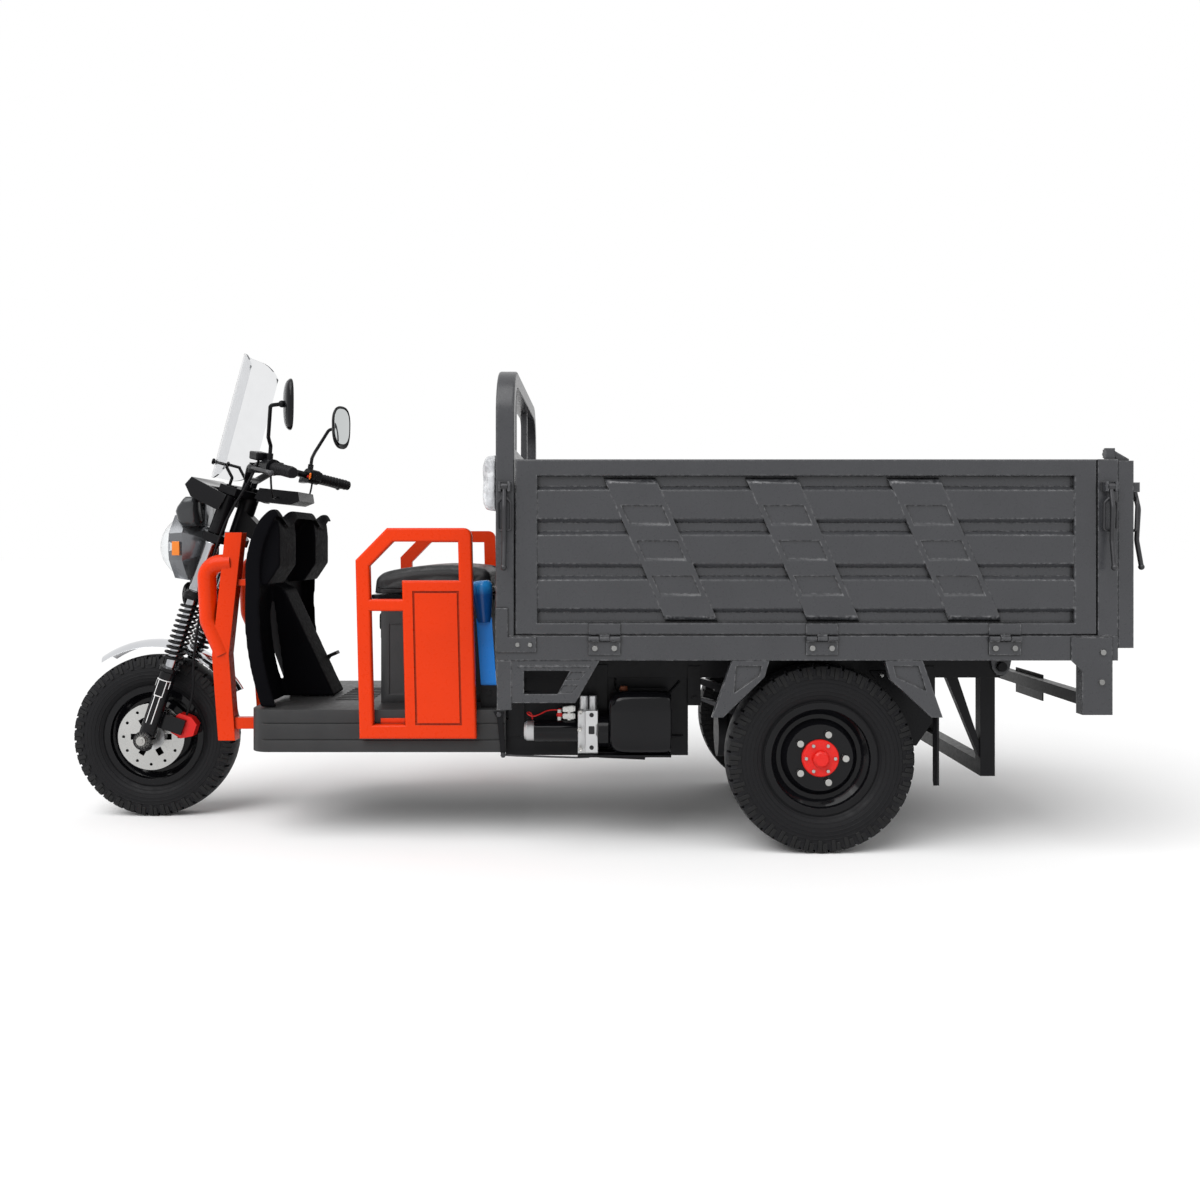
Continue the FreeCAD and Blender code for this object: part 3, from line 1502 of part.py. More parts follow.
# Headlight: a faceted shell with a bowl, its lens, the visor, a horn and two amber markers
def octagon(radius, squash="1"):
    c = math.cos(math.pi / 8)
    s = math.sin(math.pi / 8)
    spots = [(c, s), (s, c), (-s, c), (-c, s), (-c, -s), (-s, -c), (s, -c), (c, -s)]
    return [(f"{u:.5f}*({radius})*{squash}", f"{v:.5f}*({radius})") for u, v in spots]


lamp = new_body("lamp")
loft = lamp.newObject("PartDesign::AdditiveLoft", "lamp_loft")
loft.Profile = sketch_on(lamp, "YZ_Plane", [octagon("lamp_radius-8", "lamp_squash")])
loft.Sections = [
    sketch_on(lamp, "YZ_Plane", [octagon("lamp_radius", "lamp_squash")], "lamp_band"),
    sketch_on(lamp, "YZ_Plane", [octagon("lamp_back_radius", "lamp_squash")], "lamp_depth"),
]
loft.Ruled = True
bowl = lamp.newObject("PartDesign::Groove", "lamp_bowl")
bowl.Profile = sketch_on(lamp, "XZ_Plane", [[
    ("-1", "0"),
    ("-1", "lamp_bowl_radius"),
    ("0", "lamp_bowl_radius"),
    ("lamp_bowl_depth*0.6", "lamp_bowl_radius*0.72"),
    ("lamp_bowl_depth", "lamp_bowl_radius*0.3"),
    ("lamp_bowl_depth", "0"),
]])
bowl.ReferenceAxis = (bowl.Profile[0], ["H_Axis"])
bowl.Angle = 360
put(lamp, "lamp_x", "0", "lamp_z")
lamp_tab = new_body("lamp_tab")
pad(lamp_tab, "XY_Plane", [rectangle("-62", "-38", "-28-seat_gap", "38")], "clamp_thickness-4", offset="lower_clamp+2")
on_fork(lamp_tab)
visor = new_body("visor")
pad(
    visor,
    "XZ_Plane",
    [[
        ("-8", "-0.55*visor_height"),
        ("0", "0"),
        ("visor_length", "0"),
        ("visor_length-3", "-visor_height"),
        ("26", "-visor_height"),
    ]],
    "2*visor_half_width",
    centred=True,
)
pocket(visor, "XY_Plane", [rectangle("visor_bridge", "-fork_spread-33", "visor_length+5", "fork_spread+33")],
       "2*visor_height", centred=True)
put(visor, "visor_x", "0", "visor_z", FORK_AXIS, "visor_tilt")
visor_post = block("visor_post", "visor_x-18", "-30", "lamp_z+lamp_back_radius", "24", "60",
                   "visor_z-visor_height-lamp_z-lamp_back_radius+22")
horn = rod("horn", "lamp_x+24", "0", "horn_z", "horn_radius", "horn_depth", "x")
horn_rim = rod("horn_rim", "lamp_x+30", "0", "horn_z", "horn_radius+5", "6", "x")
horn_strap = block("horn_strap", "lamp_x+40", "-12", "horn_z", "12", "24", "lamp_z-horn_z-lamp_radius+30")
lamp_shell = join("lamp_shell", lamp, lamp_tab, visor, visor_post, horn, horn_rim, horn_strap)
marker = block("marker", "lamp_x+18", "-lamp_radius*lamp_squash-6", "lamp_z-marker_height/2-6", "marker_length",
               "20", "marker_height")
marker_trim = minus("marker_trim", marker, lamp_shell)
sub_part("headlight", together("headlight_set", lamp_shell, marker_trim, across("marker_right", marker_trim)))
lens = new_body("lens")
rim = "(lamp_bowl_radius+5)"
spun(
    lens,
    "XZ_Plane",
    [[
        ("-seat_gap", "0"),
        ("-seat_gap-lamp_lens_bulge", "0", f"({rim}^2+lamp_lens_bulge^2)/(2*lamp_lens_bulge)", -1),
        ("-seat_gap", rim),
    ]],
)
put(lens, "lamp_x", "0", "lamp_z")
sub_part("headlight_lens", lens)

# Brake hose from the caliper up to the left pod
at_fork = fork_place()
hose_points = [
    at_fork.multVec(Vector(90, -size("front_hub_length/2+disc_thickness/2+8"), size("31+caliper_height+2*seat_gap"))),
    at_fork.multVec(Vector(96, -size("front_hub_length/2+disc_thickness/2+10"), size("31+caliper_height+60"))),
    at_fork.multVec(Vector(70, -150, 330)),
    at_fork.multVec(Vector(40, -160, 560)),
    at_fork.multVec(Vector(30, -158, 760)),
    at_left_grip.multVec(Vector(pod_start + pod_length + 35, 30, -36)),
    at_left_grip.multVec(Vector(pod_start + pod_length + 35, 15, size("bar_radius+1.6"))),
]
brake_hose = solid("brake_hose_solid", tube_along(hose_points, size("hose_bend") / 4, size("hose_radius")))
sub_part("brake_hose", brake_hose)

RAIL_Y = "-rail_y-rail_width/2"
RAIL_TOP = "rail_bottom+rail_height"
INNER = "(rail_y-rail_width/2)"

# Main frame: rails with the tipping pivot, uprights, low tubes, cross-members and hangers
rail_bar = block("rail_bar", "rail_front", RAIL_Y, "rail_bottom", "pivot_x-rail_front", "rail_width", "rail_height")
rail_boss = rod("rail_boss", "pivot_x", RAIL_Y, "pivot_z", "pivot_boss_radius", "rail_width", "y")
rail_pin = rod("rail_pin", "pivot_x", f"{RAIL_Y}-pivot_pin_overhang", "pivot_z", "pivot_pin_radius",
               "rail_width+2*pivot_pin_overhang", "y")
hanger_parts = []
for side, x in eyes:
    for face, y in (("out", "-rail_y-rail_width/2-hanger_thickness"), ("in", "-rail_y+rail_width/2")):
        hanger_parts.append(block(f"{side}_hanger_{face}", f"{x}-20", y, f"{eye_z}-leaf_eye_radius-6", "40",
                                  "hanger_thickness", f"rail_bottom-({eye_z})+leaf_eye_radius+42"))
    hanger_parts.append(rod(f"{side}_hanger_pin", x, "-rail_y-rail_width/2-hanger_thickness-8", eye_z,
                            "leaf_pin_radius", "rail_width+2*hanger_thickness+16", "y"))
underrun_leg = block("underrun_leg", "underrun_x", "-rail_y-underrun_width/2", "underrun_bottom", "underrun_width",
                     "underrun_width", "rail_bottom-underrun_bottom")
underrun_bar = block("underrun_bar", "underrun_x", "-rail_y", "underrun_bottom", "underrun_width", "rail_y",
                     "underrun_width")
underrun_brace = plate(
    "underrun_brace",
    "XZ_Plane",
    [[
        ("underrun_x+10", "underrun_bottom+30"),
        ("underrun_x+10", "underrun_bottom+72"),
        ("underrun_x-underrun_brace_run+36", "rail_bottom+4"),
        ("underrun_x-underrun_brace_run", "rail_bottom+4"),
    ]],
    "30",
    y="-rail_y+15",
)
pump_floor_z = "(pump_z-valve_height/2-pump_plate)"
pump_shelf = block("pump_shelf", "valve_x", "-pump_y-tank_width/2+20", pump_floor_z,
                   "valve_length+coupling_length+tank_length", f"pump_y+tank_width/2-20-{INNER}-rail_width",
                   "pump_plate")
pump_hanger = block("pump_hanger", "valve_x+14", f"{RAIL_Y}-pump_plate", pump_floor_z,
                    "valve_length+coupling_length-16", "pump_plate", f"rail_bottom+40-{pump_floor_z}")
LOW_TUBE_Y = "(deck_half_width-low_tube_inset)"
LOW_TUBE_TOP = "low_tube_bottom+low_tube_height"
upright = block("upright", "rail_front", f"-max(rail_y;{LOW_TUBE_Y})-rail_width/2", "low_tube_bottom", "upright_length",
                f"abs(rail_y-{LOW_TUBE_Y})+rail_width", "rail_bottom-low_tube_bottom")
low_tube = block("low_tube", "low_tube_front", f"-{LOW_TUBE_Y}-rail_width/2", "low_tube_bottom",
                 "rail_front-low_tube_front", "rail_width", "low_tube_height")
deck_mounts = [rod(f"deck_mount_{n}", x, f"-{LOW_TUBE_Y}", f"{LOW_TUBE_TOP}-1", "deck_mount_radius",
                   f"deck_top-deck_wall-seat_gap-({LOW_TUBE_TOP})+1")
               for n, x in enumerate(("low_tube_front+110", "rail_front-90"))]
left_rail = join("left_rail", rail_bar, rail_boss, rail_pin, *hanger_parts, underrun_leg, underrun_bar,
                 underrun_brace, upright, low_tube, *deck_mounts)
pump_bracket = join("pump_bracket", pump_shelf, pump_hanger)
cross_places = [
    ("front_cross", "rail_front", "rail_bottom+8", INNER),
    ("ram_front_cross", "ram_x-70-cross_width", "rail_bottom+8", INNER),
    ("ram_rear_cross", "ram_x+70", "rail_bottom+8", INNER),
    ("spring_front_cross", f"{eyes[0][1]}-cross_width/2", "rail_bottom+8", f"({INNER}-hanger_thickness)"),
    ("spring_rear_cross", f"{eyes[1][1]}-cross_width/2", "rail_bottom+8", f"({INNER}-hanger_thickness)"),
    ("deck_cross", "low_tube_front", "low_tube_bottom+2", f"({LOW_TUBE_Y}-rail_width/2)"),
    ("deck_rear_cross", "rail_front-cross_width-120", "low_tube_bottom+2", f"({LOW_TUBE_Y}-rail_width/2)"),
]
crosses = [block(name, x, f"-{half}", z, "cross_width", f"2*{half}", "cross_height")
           for name, x, z, half in cross_places]
ram_ear_y = "(ram_radius+ram_ear_gap+ram_pin_gap)"
ram_ear = new_body("ram_ear")
pad(
    ram_ear,
    "XZ_Plane",
    [
        rectangle("-70", "-36", "70", "rail_bottom+8+cross_height-ram_pivot_z"),
        ("circle", "0", "0", "ram_pin_radius+running_gap"),
    ],
    "ram_ear_thickness",
)
put(ram_ear, "ram_x", f"-{ram_ear_y}", "ram_pivot_z")
pedal_stand = block("pedal_stand", "pedal_pivot_x-16", "pedal_y-14", "deck_top", "32", "10",
                    "pedal_pivot_z-deck_top+14")
pedal_pin = rod("pedal_pin", "pedal_pivot_x", "pedal_y-14", "pedal_pivot_z", "pedal_pin_radius", "32", "y")
pedal_bracket = join("pedal_bracket", pedal_stand, pedal_pin)
PARK_Y = "max(deck_half_width-park_inset;seat_half_width+park_seat_room)"
park_cheek = "(park_bar_thickness/2+1)"
park_parts = [
    block(f"park_cheek_{n}", "park_x-26", y, "deck_top", "52", "6", "park_pivot_z-deck_top+22")
    for n, y in enumerate((f"-{PARK_Y}-{park_cheek}-6", f"-{PARK_Y}+{park_cheek}"))
]
park_parts.append(rod("park_pin", "park_x", f"-{PARK_Y}-{park_cheek}-10", "park_pivot_z", "pedal_pin_radius",
                      f"2*{park_cheek}+20", "y"))
park_parts.append(block("park_base", "park_x-26", f"-{PARK_Y}-{park_cheek}-6", "deck_top", "52", f"2*{park_cheek}+12",
                        "8"))
park_bracket = join("park_bracket", *park_parts)
sub_part("main_frame", together("main_frame_set", join("frame_rails", left_rail, across("right_rail", left_rail)),
                                pump_bracket, *crosses, ram_ear, across("ram_ear_right", ram_ear), pedal_bracket,
                                park_bracket))

# Head tube and spine
head_base = "(lower_clamp+clamp_thickness+clamp_gap)"
head_tube = new_body("head_tube")
pad(head_tube, "XY_Plane", [("circle", "steer_offset", "0", "head_tube_radius")],
    f"upper_clamp-clamp_gap-{head_base}", offset=head_base)
on_fork(head_tube)


def by_fork(along, up):
    """The world X and Z of a point in the fork's own plane, as expressions."""
    x = f"(front_axle_x+({along})*cos(fork_rake)+({up})*sin(fork_rake))"
    z = f"(front_tyre_radius-({along})*sin(fork_rake)+({up})*cos(fork_rake))"
    return x, z


foot_z = "(low_tube_bottom+2+cross_height)"
spine = plate(
    "spine",
    "XZ_Plane",
    [[
        by_fork("steer_offset", f"{head_base}+24"),
        by_fork("steer_offset+neck_reach", f"{head_base}+11"),
        ("neck_knee_x-spine_width*0.53", "neck_knee_z"),
        ("spine_foot_x-spine_width*0.53", foot_z),
        ("spine_foot_x+spine_width*0.53", foot_z),
        ("neck_knee_x+spine_width*0.53", "neck_knee_z"),
        ("neck_knee_x+spine_width*0.8", "neck_knee_z+130"),
        by_fork("steer_offset", f"{head_base}+98"),
    ]],
    "spine_width",
    centred=True,
)
steer_bore = new_body("steer_bore")
pad(steer_bore, "XY_Plane", [("circle", "steer_offset", "0", "stem_radius+running_gap")], "upper_clamp", offset="200")
on_fork(steer_bore)
sub_part("frame_neck", minus("frame_neck_solid", join("neck_blank", head_tube, spine), steer_bore))

# Foot deck: a moulded tray turned down at its edges, with two grooves round its sides and ribs on top
deck = new_body("deck")
deck_box = rectangle("deck_front", "-deck_half_width", "deck_rear", "deck_half_width")
pad(deck, "XY_Plane", [deck_box], "deck_top-deck_bottom", offset="deck_bottom")
rounded(deck, "deck_corner", lambda e: runs_along(e, "z") and middle(e).x < size("deck_front") + 1)
for level in ("deck_upper_groove", "deck_lower_groove"):
    pocket(
        deck,
        "XY_Plane",
        [
            rectangle("deck_front-20", "-deck_half_width-20", "deck_rear+5", "-deck_half_width+deck_groove"),
            rectangle("deck_front-20", "deck_half_width-deck_groove", "deck_rear+5", "deck_half_width+20"),
        ],
        "deck_groove",
        offset=f"{level}-deck_groove/2",
        back=True,
    )
pocket(
    deck,
    "XY_Plane",
    [[
        ("deck_front+deck_corner", "-deck_half_width+2*deck_wall"),
        ("deck_rear+5", "-deck_half_width+2*deck_wall"),
        ("deck_rear+5", "deck_half_width-2*deck_wall"),
        ("deck_front+deck_corner", "deck_half_width-2*deck_wall", "deck_corner-2*deck_wall", 1),
        ("deck_front+2*deck_wall", "deck_half_width-deck_corner"),
        ("deck_front+2*deck_wall", "-deck_half_width+deck_corner", "deck_corner-2*deck_wall", 1),
    ]],
    "deck_top-deck_bottom-deck_wall+10",
    offset="deck_bottom-10",
    back=True,
)
pocket(deck, "XY_Plane", [rectangle("spine_foot_x-spine_width", "-spine_width/2-5", "spine_foot_x+spine_width",
                                    "spine_width/2+5")], "40", offset="deck_top-30", back=True)
rib = pad(deck, "XY_Plane", [rectangle("deck_rib_front", "-deck_rib_pitch*(deck_rib_count-1)/2-deck_rib_width/2",
                                       "battery_front-40",
                                       "-deck_rib_pitch*(deck_rib_count-1)/2+deck_rib_width/2")],
          "deck_rib_height+1", offset="deck_top-1")
row_of(deck, rib, "deck_rib_pitch*(deck_rib_count-1)", "deck_rib_count")
sub_part("foot_deck", deck)

# Leg shield: curved skin with turned-back sides, two glove pods and a hollow tunnel over the spine
shield = new_body("shield")


def shield_line(shift):
    return [
        (f"shield_foot_x+{shift}", "deck_top+seat_gap", "900", -1),
        (f"shield_bulge_x+{shift}", "shield_bulge_z", "320", -1),
        (f"shield_brow_x+{shift}", "shield_brow_z", "130", -1),
    ]


back_line = [
    ("shield_top_x+shield_flange", "shield_top", "130", 1),
    ("shield_brow_x+shield_flange", "shield_brow_z", "320", 1),
    ("shield_bulge_x+shield_flange", "shield_bulge_z", "900", 1),
    ("shield_foot_x+shield_flange", "deck_top+seat_gap"),
]
pad(shield, "XZ_Plane", [shield_line("0") + [("shield_top_x", "shield_top")] + back_line], "2*shield_half_width",
    centred=True)
hollow = [
    ("shield_foot_x+shield_wall", "deck_top-10"),
    ("shield_foot_x+shield_wall", "deck_top+seat_gap", "900", -1),
    ("shield_bulge_x+shield_wall", "shield_bulge_z", "320", -1),
    ("shield_brow_x+shield_wall", "shield_brow_z"),
    ("shield_top_x-8", "shield_top-shield_side"),
    ("shield_top_x+shield_flange+40", "shield_top-shield_side"),
    ("shield_foot_x+2*shield_flange+60", "deck_top-10"),
]
pocket(shield, "XZ_Plane", [hollow], "2*(shield_half_width-shield_side)", centred=True)
pod_side = [
    ("shield_bulge_x+3", "pod_bottom"),
    ("shield_brow_x+3", "shield_brow_z"),
    ("shield_top_x-16", "pod_top"),
    ("pod_rear-16", "pod_top"),
    ("pod_rear", "pod_top-22"),
    ("pod_rear", "pod_bottom+60"),
    ("pod_rear-40", "pod_bottom"),
]
pad(shield, "XZ_Plane", [pod_side], "pod_outer-pod_inner", offset="pod_inner")
pad(shield, "XZ_Plane", [pod_side], "pod_outer-pod_inner", offset="-pod_inner", back=True)
tunnel = [
    ("shield_bulge_x+3", "tunnel_top_z+22"),
    ("tunnel_top_x", "tunnel_top_z"),
    ("tunnel_foot_x", "deck_top+seat_gap"),
    ("shield_foot_x+2", "deck_top+seat_gap"),
]
pad(shield, "XZ_Plane", [tunnel], "2*tunnel_half_width", centred=True)
tunnel_room = [
    ("shield_bulge_x-40", "deck_top-10"),
    ("shield_bulge_x-40", "tunnel_top_z-26"),
    ("tunnel_top_x-8", "tunnel_top_z-14"),
    ("tunnel_foot_x-10", "deck_top-10"),
]
pocket(shield, "XZ_Plane", [tunnel_room], "2*(tunnel_half_width-shield_wall)", centred=True)
sub_part("leg_shield", shield)

# Crash bars: a bent column with a pipe loop in front, and stays to the deck and shield
column = new_body("crash_column")
half_depth = "crash_depth/2"
pad(
    column,
    "XZ_Plane",
    [[
        (f"crash_top_x-{half_depth}", "crash_top_z"),
        (f"crash_top_x+{half_depth}", "crash_top_z"),
        (f"crash_knee_x+{half_depth}", "crash_knee_z"),
        (f"crash_foot_x+{half_depth}", "crash_foot_z"),
        (f"crash_foot_x-{half_depth}", "crash_foot_z"),
        (f"crash_knee_x-{half_depth}", "crash_knee_z"),
    ]],
    "crash_width",
    centred=True,
)
put(column, "0", "-crash_y", "0")
column_x = "(crash_knee_x+(crash_top_x-crash_knee_x)*({0}-crash_knee_z)/(crash_top_z-crash_knee_z))"
pipe_top = column_x.format("crash_pipe_top")
pipe_low = column_x.format("crash_pipe_bottom")
loop_points = [
    point(pipe_top, "-crash_y", "crash_pipe_top+8"),
    point(f"{pipe_top}-crash_pipe_reach+8", "-crash_y", "crash_pipe_top"),
    point(f"{pipe_low}-crash_pipe_reach+36", "-crash_y", "crash_pipe_bottom"),
    point("crash_knee_x+4", "-crash_y", "crash_knee_z"),
]
crash_pipe = solid("crash_pipe", tube_along(loop_points, size("crash_pipe_bend"), size("crash_pipe_radius")))
low_stay = block("crash_low_stay", "crash_foot_x", "-crash_y-14", "crash_stay_z-18", "deck_front-crash_foot_x", "28",
                 "36")
high_stay = block("crash_high_stay", pipe_top, "-crash_y-12", "shield_bulge_z-10",
                  f"shield_bulge_x-3*seat_gap-{pipe_top}", "24", "20")
pair("crash_bars", join("crash_bar", column, crash_pipe, low_stay, high_stay))

# Side frames: a leaning hoop with a cross bar and an inset panel
side = new_body("side_frame")


def lean(x, z):
    """A point of the side frame, moved forward with its height."""
    return (f"{x}-side_lean*({z}-side_bottom)/(side_top-side_bottom)", z)


side_outer = [
    lean("side_front", "side_bottom"),
    lean("side_rear", "side_bottom"),
    (*lean("side_rear", "(side_top-side_rear_round)"), "side_rear_round", 1),
    lean("(side_rear-side_rear_round)", "side_top"),
    lean("(side_front+side_chamfer)", "side_top"),
    lean("side_front", "(side_top-side_chamfer)"),
]
low_window = [
    lean("(side_front+side_bar)", "(side_bottom+side_bar)"),
    lean("side_panel_front", "(side_bottom+side_bar)"),
    lean("side_panel_front", "(side_rail_z-side_rail_height)"),
    lean("(side_front+side_bar)", "(side_rail_z-side_rail_height)"),
]
top_window = [
    lean("(side_front+side_bar)", "side_rail_z"),
    lean("side_panel_front", "side_rail_z"),
    lean("side_panel_front", "side_panel_top"),
    lean("(side_rear-side_bar)", "side_panel_top"),
    lean("(side_rear-side_bar)", "(side_top-side_bar)"),
    lean("(side_front+side_chamfer+side_bar*0.42)", "(side_top-side_bar)"),
    lean("(side_front+side_bar)", "(side_top-side_chamfer-side_bar*0.42)"),
]
pad(side, "XZ_Plane", [side_outer, low_window, top_window], "side_thickness")
rounded(side, "7", lambda e: abs(middle(e).y + size("side_thickness")) < 0.01 and e.BoundBox.YLength < 0.01)


def panel_line(inset):
    left = f"(side_panel_front+side_recess_margin+{inset})"
    right = f"(side_rear-side_bar-{inset})"
    low = f"(side_bottom+side_bar+{inset})"
    high = f"(side_panel_top-side_recess_margin-{inset})"
    return [lean(left, low), lean(right, low), lean(right, high), lean(left, high)]


pocket(side, "XZ_Plane", [panel_line("0"), panel_line("side_recess_groove")], "side_recess_depth+1",
       offset="side_thickness-side_recess_depth", back=True)
put(side, "0", "-deck_half_width-side_gap", "0")
side_foot = block("side_foot", "side_front+60", "-deck_half_width-side_gap-2", "crash_stay_z", "120", "side_gap+2", "40")
side_foot_rear = block("side_foot_rear", "side_rear-160", "-deck_half_width-side_gap-2", "crash_stay_z", "120",
                       "side_gap+2", "40")
pair("side_frames", join("side_hoop", side, side_foot, side_foot_rear))

# Battery box and batteries
case = new_body("battery_case")
battery_top = "(seat_pan_bottom-seat_gap)"
pad(case, "XY_Plane", [rectangle("battery_front", "-battery_half_width", "battery_rear", "battery_half_width")],
    f"{battery_top}-deck_top", offset="deck_top")
pocket(case, "XY_Plane", [rectangle("battery_front+battery_wall", "-battery_half_width+battery_wall",
                                    "battery_rear-battery_wall", "battery_half_width-battery_wall")],
       f"{battery_top}-deck_top", offset="deck_top+battery_wall", back=True)
case_panel = rectangle("battery_front+battery_panel_margin", "deck_top+battery_panel_margin",
                       "battery_rear-battery_panel_margin", f"{battery_top}-3*battery_panel_margin")
pocket(case, "XZ_Plane", [case_panel], "battery_panel_depth+5", offset="battery_half_width-battery_panel_depth",
       back=True)
pocket(case, "XZ_Plane", [case_panel], "battery_panel_depth+5", offset="-battery_half_width+battery_panel_depth")
pad(case, "YZ_Plane", [rectangle("-battery_half_width+40", f"{battery_top}-126", "-battery_half_width+84",
                                 f"{battery_top}-76")], "10", offset="battery_front-9")
knuckle_z = "(seat_pan_bottom-seat_hinge_radius-1)"
knuckle_x = "(battery_front-seat_hinge_radius-1)"
knuckles = []
for n, y in enumerate(("-104", "64")):
    knuckles.append(rod(f"knuckle_{n}", knuckle_x, y, knuckle_z, "seat_hinge_radius", "40", "y"))
    knuckles.append(block(f"knuckle_leaf_{n}", knuckle_x, y, f"{knuckle_z}-20", f"battery_front-{knuckle_x}+2", "40",
                          "20"))
hinge_bore = rod("seat_hinge_bore", knuckle_x, "-150", knuckle_z, "3+running_gap", "300", "y")
sub_part("battery_box", minus("battery_case_hinged", join("battery_case_set", case, *knuckles), hinge_bore))
cell_room = "(battery_rear-battery_front-2*battery_wall-battery_cell_gap)"
cell_pitch = f"({cell_room}/battery_cell_count)"
cells = []
for n in range(int(size("battery_cell_count"))):
    x = f"battery_front+battery_wall+battery_cell_gap+{n}*{cell_pitch}"
    cell = block(f"cell_{n}", x, "-battery_half_width+battery_wall+battery_cell_gap", "deck_top+battery_wall",
                 f"{cell_pitch}-battery_cell_gap", "2*(battery_half_width-battery_wall-battery_cell_gap)",
                 "battery_cell_height")
    posts = [rod(f"cell_{n}_post_{k}", f"{x}+{cell_pitch}/2-battery_cell_gap/2", y,
                 "deck_top+battery_wall+battery_cell_height-1", "9", "12") for k, y in enumerate(("-130", "130"))]
    cells.append(join(f"cell_{n}_set", cell, *posts))
sub_part("battery_pack", together("battery_pack_set", *cells))

# Seat
pan = new_body("seat_pan")
pad(pan, "XY_Plane", [rectangle("seat_front", "-seat_half_width+8", "seat_rear", "seat_half_width-8")],
    "seat_pan_height", offset="seat_pan_bottom")
rounded(pan, "30", lambda e: runs_along(e, "z"))
seat_knuckle = rod("seat_knuckle", knuckle_x, "-62", knuckle_z, "seat_hinge_radius", "124", "y")
seat_leaf = block("seat_leaf", f"{knuckle_x}-seat_hinge_radius", "-62", knuckle_z, "seat_hinge_radius", "124",
                  f"seat_pan_bottom-{knuckle_z}+1")
seat_pin = rod("seat_pin", knuckle_x, "-112", knuckle_z, "3", "224", "y")
sub_part("seat_base", join("seat_base_solid", pan, seat_knuckle, seat_leaf, seat_pin))
cushion = new_body("cushion")
cushion_z = "(seat_pan_bottom+seat_pan_height+seat_gap)"
pad(
    cushion,
    "XZ_Plane",
    [[
        ("seat_front+4", cushion_z),
        ("seat_rear-2", cushion_z),
        ("seat_rear-2", f"{cushion_z}+cushion_height-8", "900", 1),
        ("seat_front+4", f"{cushion_z}+cushion_height-26"),
    ]],
    "2*seat_half_width",
    centred=True,
)
rounded(cushion, "cushion_round", lambda e: runs_along(e, "z"))
rounded(cushion, "cushion_round*0.8", lambda e: e.BoundBox.ZMin > size(cushion_z) + 30)
sub_part("seat_cushion", cushion)

# Brake pedal
pedal_eye = rod("pedal_eye", "pedal_pivot_x", "pedal_y-3", "pedal_pivot_z", "pedal_pin_radius+8", "14", "y")
pedal_arm = plate(
    "pedal_arm",
    "XZ_Plane",
    [[
        ("-pedal_arm_width/2", "0"),
        ("pedal_arm_width/2", "0"),
        ("pedal_reach_x+pedal_arm_width/2", "pedal_reach_z"),
        ("pedal_reach_x-pedal_arm_width/2", "pedal_reach_z"),
    ]],
    "pedal_arm_thickness",
    "pedal_pivot_x",
    "pedal_y-3+pedal_arm_thickness",
    "pedal_pivot_z",
)
pedal_pad = new_body("pedal_pad")
pad(pedal_pad, "XY_Plane", [rectangle("-pedal_pad_length/2", "0", "pedal_pad_length/2", "pedal_pad_width")],
    "pedal_pad_thickness")
rounded(pedal_pad, "12", lambda e: runs_along(e, "z"))
groove = pocket(pedal_pad, "XY_Plane", [rectangle("-pedal_pad_length/2+10", "6", "-pedal_pad_length/2+16",
                                                  "pedal_pad_width-6")], "6", offset="pedal_pad_thickness-3", back=True)
row_of(pedal_pad, groove, "pedal_pad_length-26", "4", "X_Axis")
put(pedal_pad, "pedal_pivot_x+pedal_reach_x", "pedal_y-18", "pedal_pivot_z+pedal_reach_z-8", (0, 1, 0), "-24")
pedal_bore = rod("pedal_bore", "pedal_pivot_x", "pedal_y-30", "pedal_pivot_z", "pedal_pin_radius+running_gap", "80", "y")
sub_part("brake_pedal", minus("brake_pedal_solid", join("pedal_blank", pedal_eye, pedal_arm, pedal_pad), pedal_bore))

# Parking brake lever: a flat bar with a tapered, domed grip
park_bar = new_body("park_bar")
pad(
    park_bar,
    "XZ_Plane",
    [
        rectangle("-park_bar_width/2", "-20", "park_bar_width/2", "park_bar_length"),
        ("circle", "0", "0", "pedal_pin_radius+running_gap"),
    ],
    "park_bar_thickness",
    centred=True,
)
grip_low = "(park_bar_length-14)"
grip_top = f"({grip_low}+park_grip_length)"
spun(
    park_bar,
    "XZ_Plane",
    [[
        ("0", grip_low),
        ("park_neck_radius", grip_low),
        ("park_neck_radius+3", f"{grip_low}+18"),
        ("park_grip_radius", f"{grip_top}-44"),
        ("park_grip_radius", f"{grip_top}-16", "18", 1),
        ("park_grip_radius-16", grip_top),
        ("park_grip_radius-16", f"{grip_top}-3"),
        ("park_grip_radius-20", f"{grip_top}-3"),
        ("park_grip_radius-20", grip_top),
        ("0", grip_top),
    ]],
    "V_Axis",
)
put(park_bar, "park_x", f"-{PARK_Y}", "park_pivot_z", (0, 1, 0), "-park_lean")
sub_part("parking_brake", park_bar)

# Hydraulic unit on its shelf
motor_case = new_body("pump_motor_case")
spun(
    motor_case,
    "XY_Plane",
    [[
        ("0", "0"),
        ("0", "pump_motor_radius-9"),
        ("8", "pump_motor_radius-3"),
        ("pump_cap_length", "pump_motor_radius-3"),
        ("pump_cap_length", "pump_motor_radius"),
        ("pump_cap_length+pump_motor_length", "pump_motor_radius"),
        ("pump_cap_length+pump_motor_length", "0"),
    ]],
)
put(motor_case, "valve_x-seat_gap-pump_cap_length-pump_motor_length", "-pump_y", "pump_z")
terminals = [rod(f"terminal_{n}", f"valve_x-{dx}", "-pump_y", "pump_z+pump_motor_radius-4", "8", "36")
             for n, dx in enumerate((26, 56))]
pump_motor = join("pump_motor_solid", motor_case, *terminals)
valve = new_body("valve_body")
pad(valve, "XZ_Plane", [rectangle("0", "-valve_height/2", "valve_length", "valve_height/2")], "valve_width", centred=True)
rounded(valve, "5", lambda e: True)
put(valve, "valve_x", "-pump_y", "pump_z")
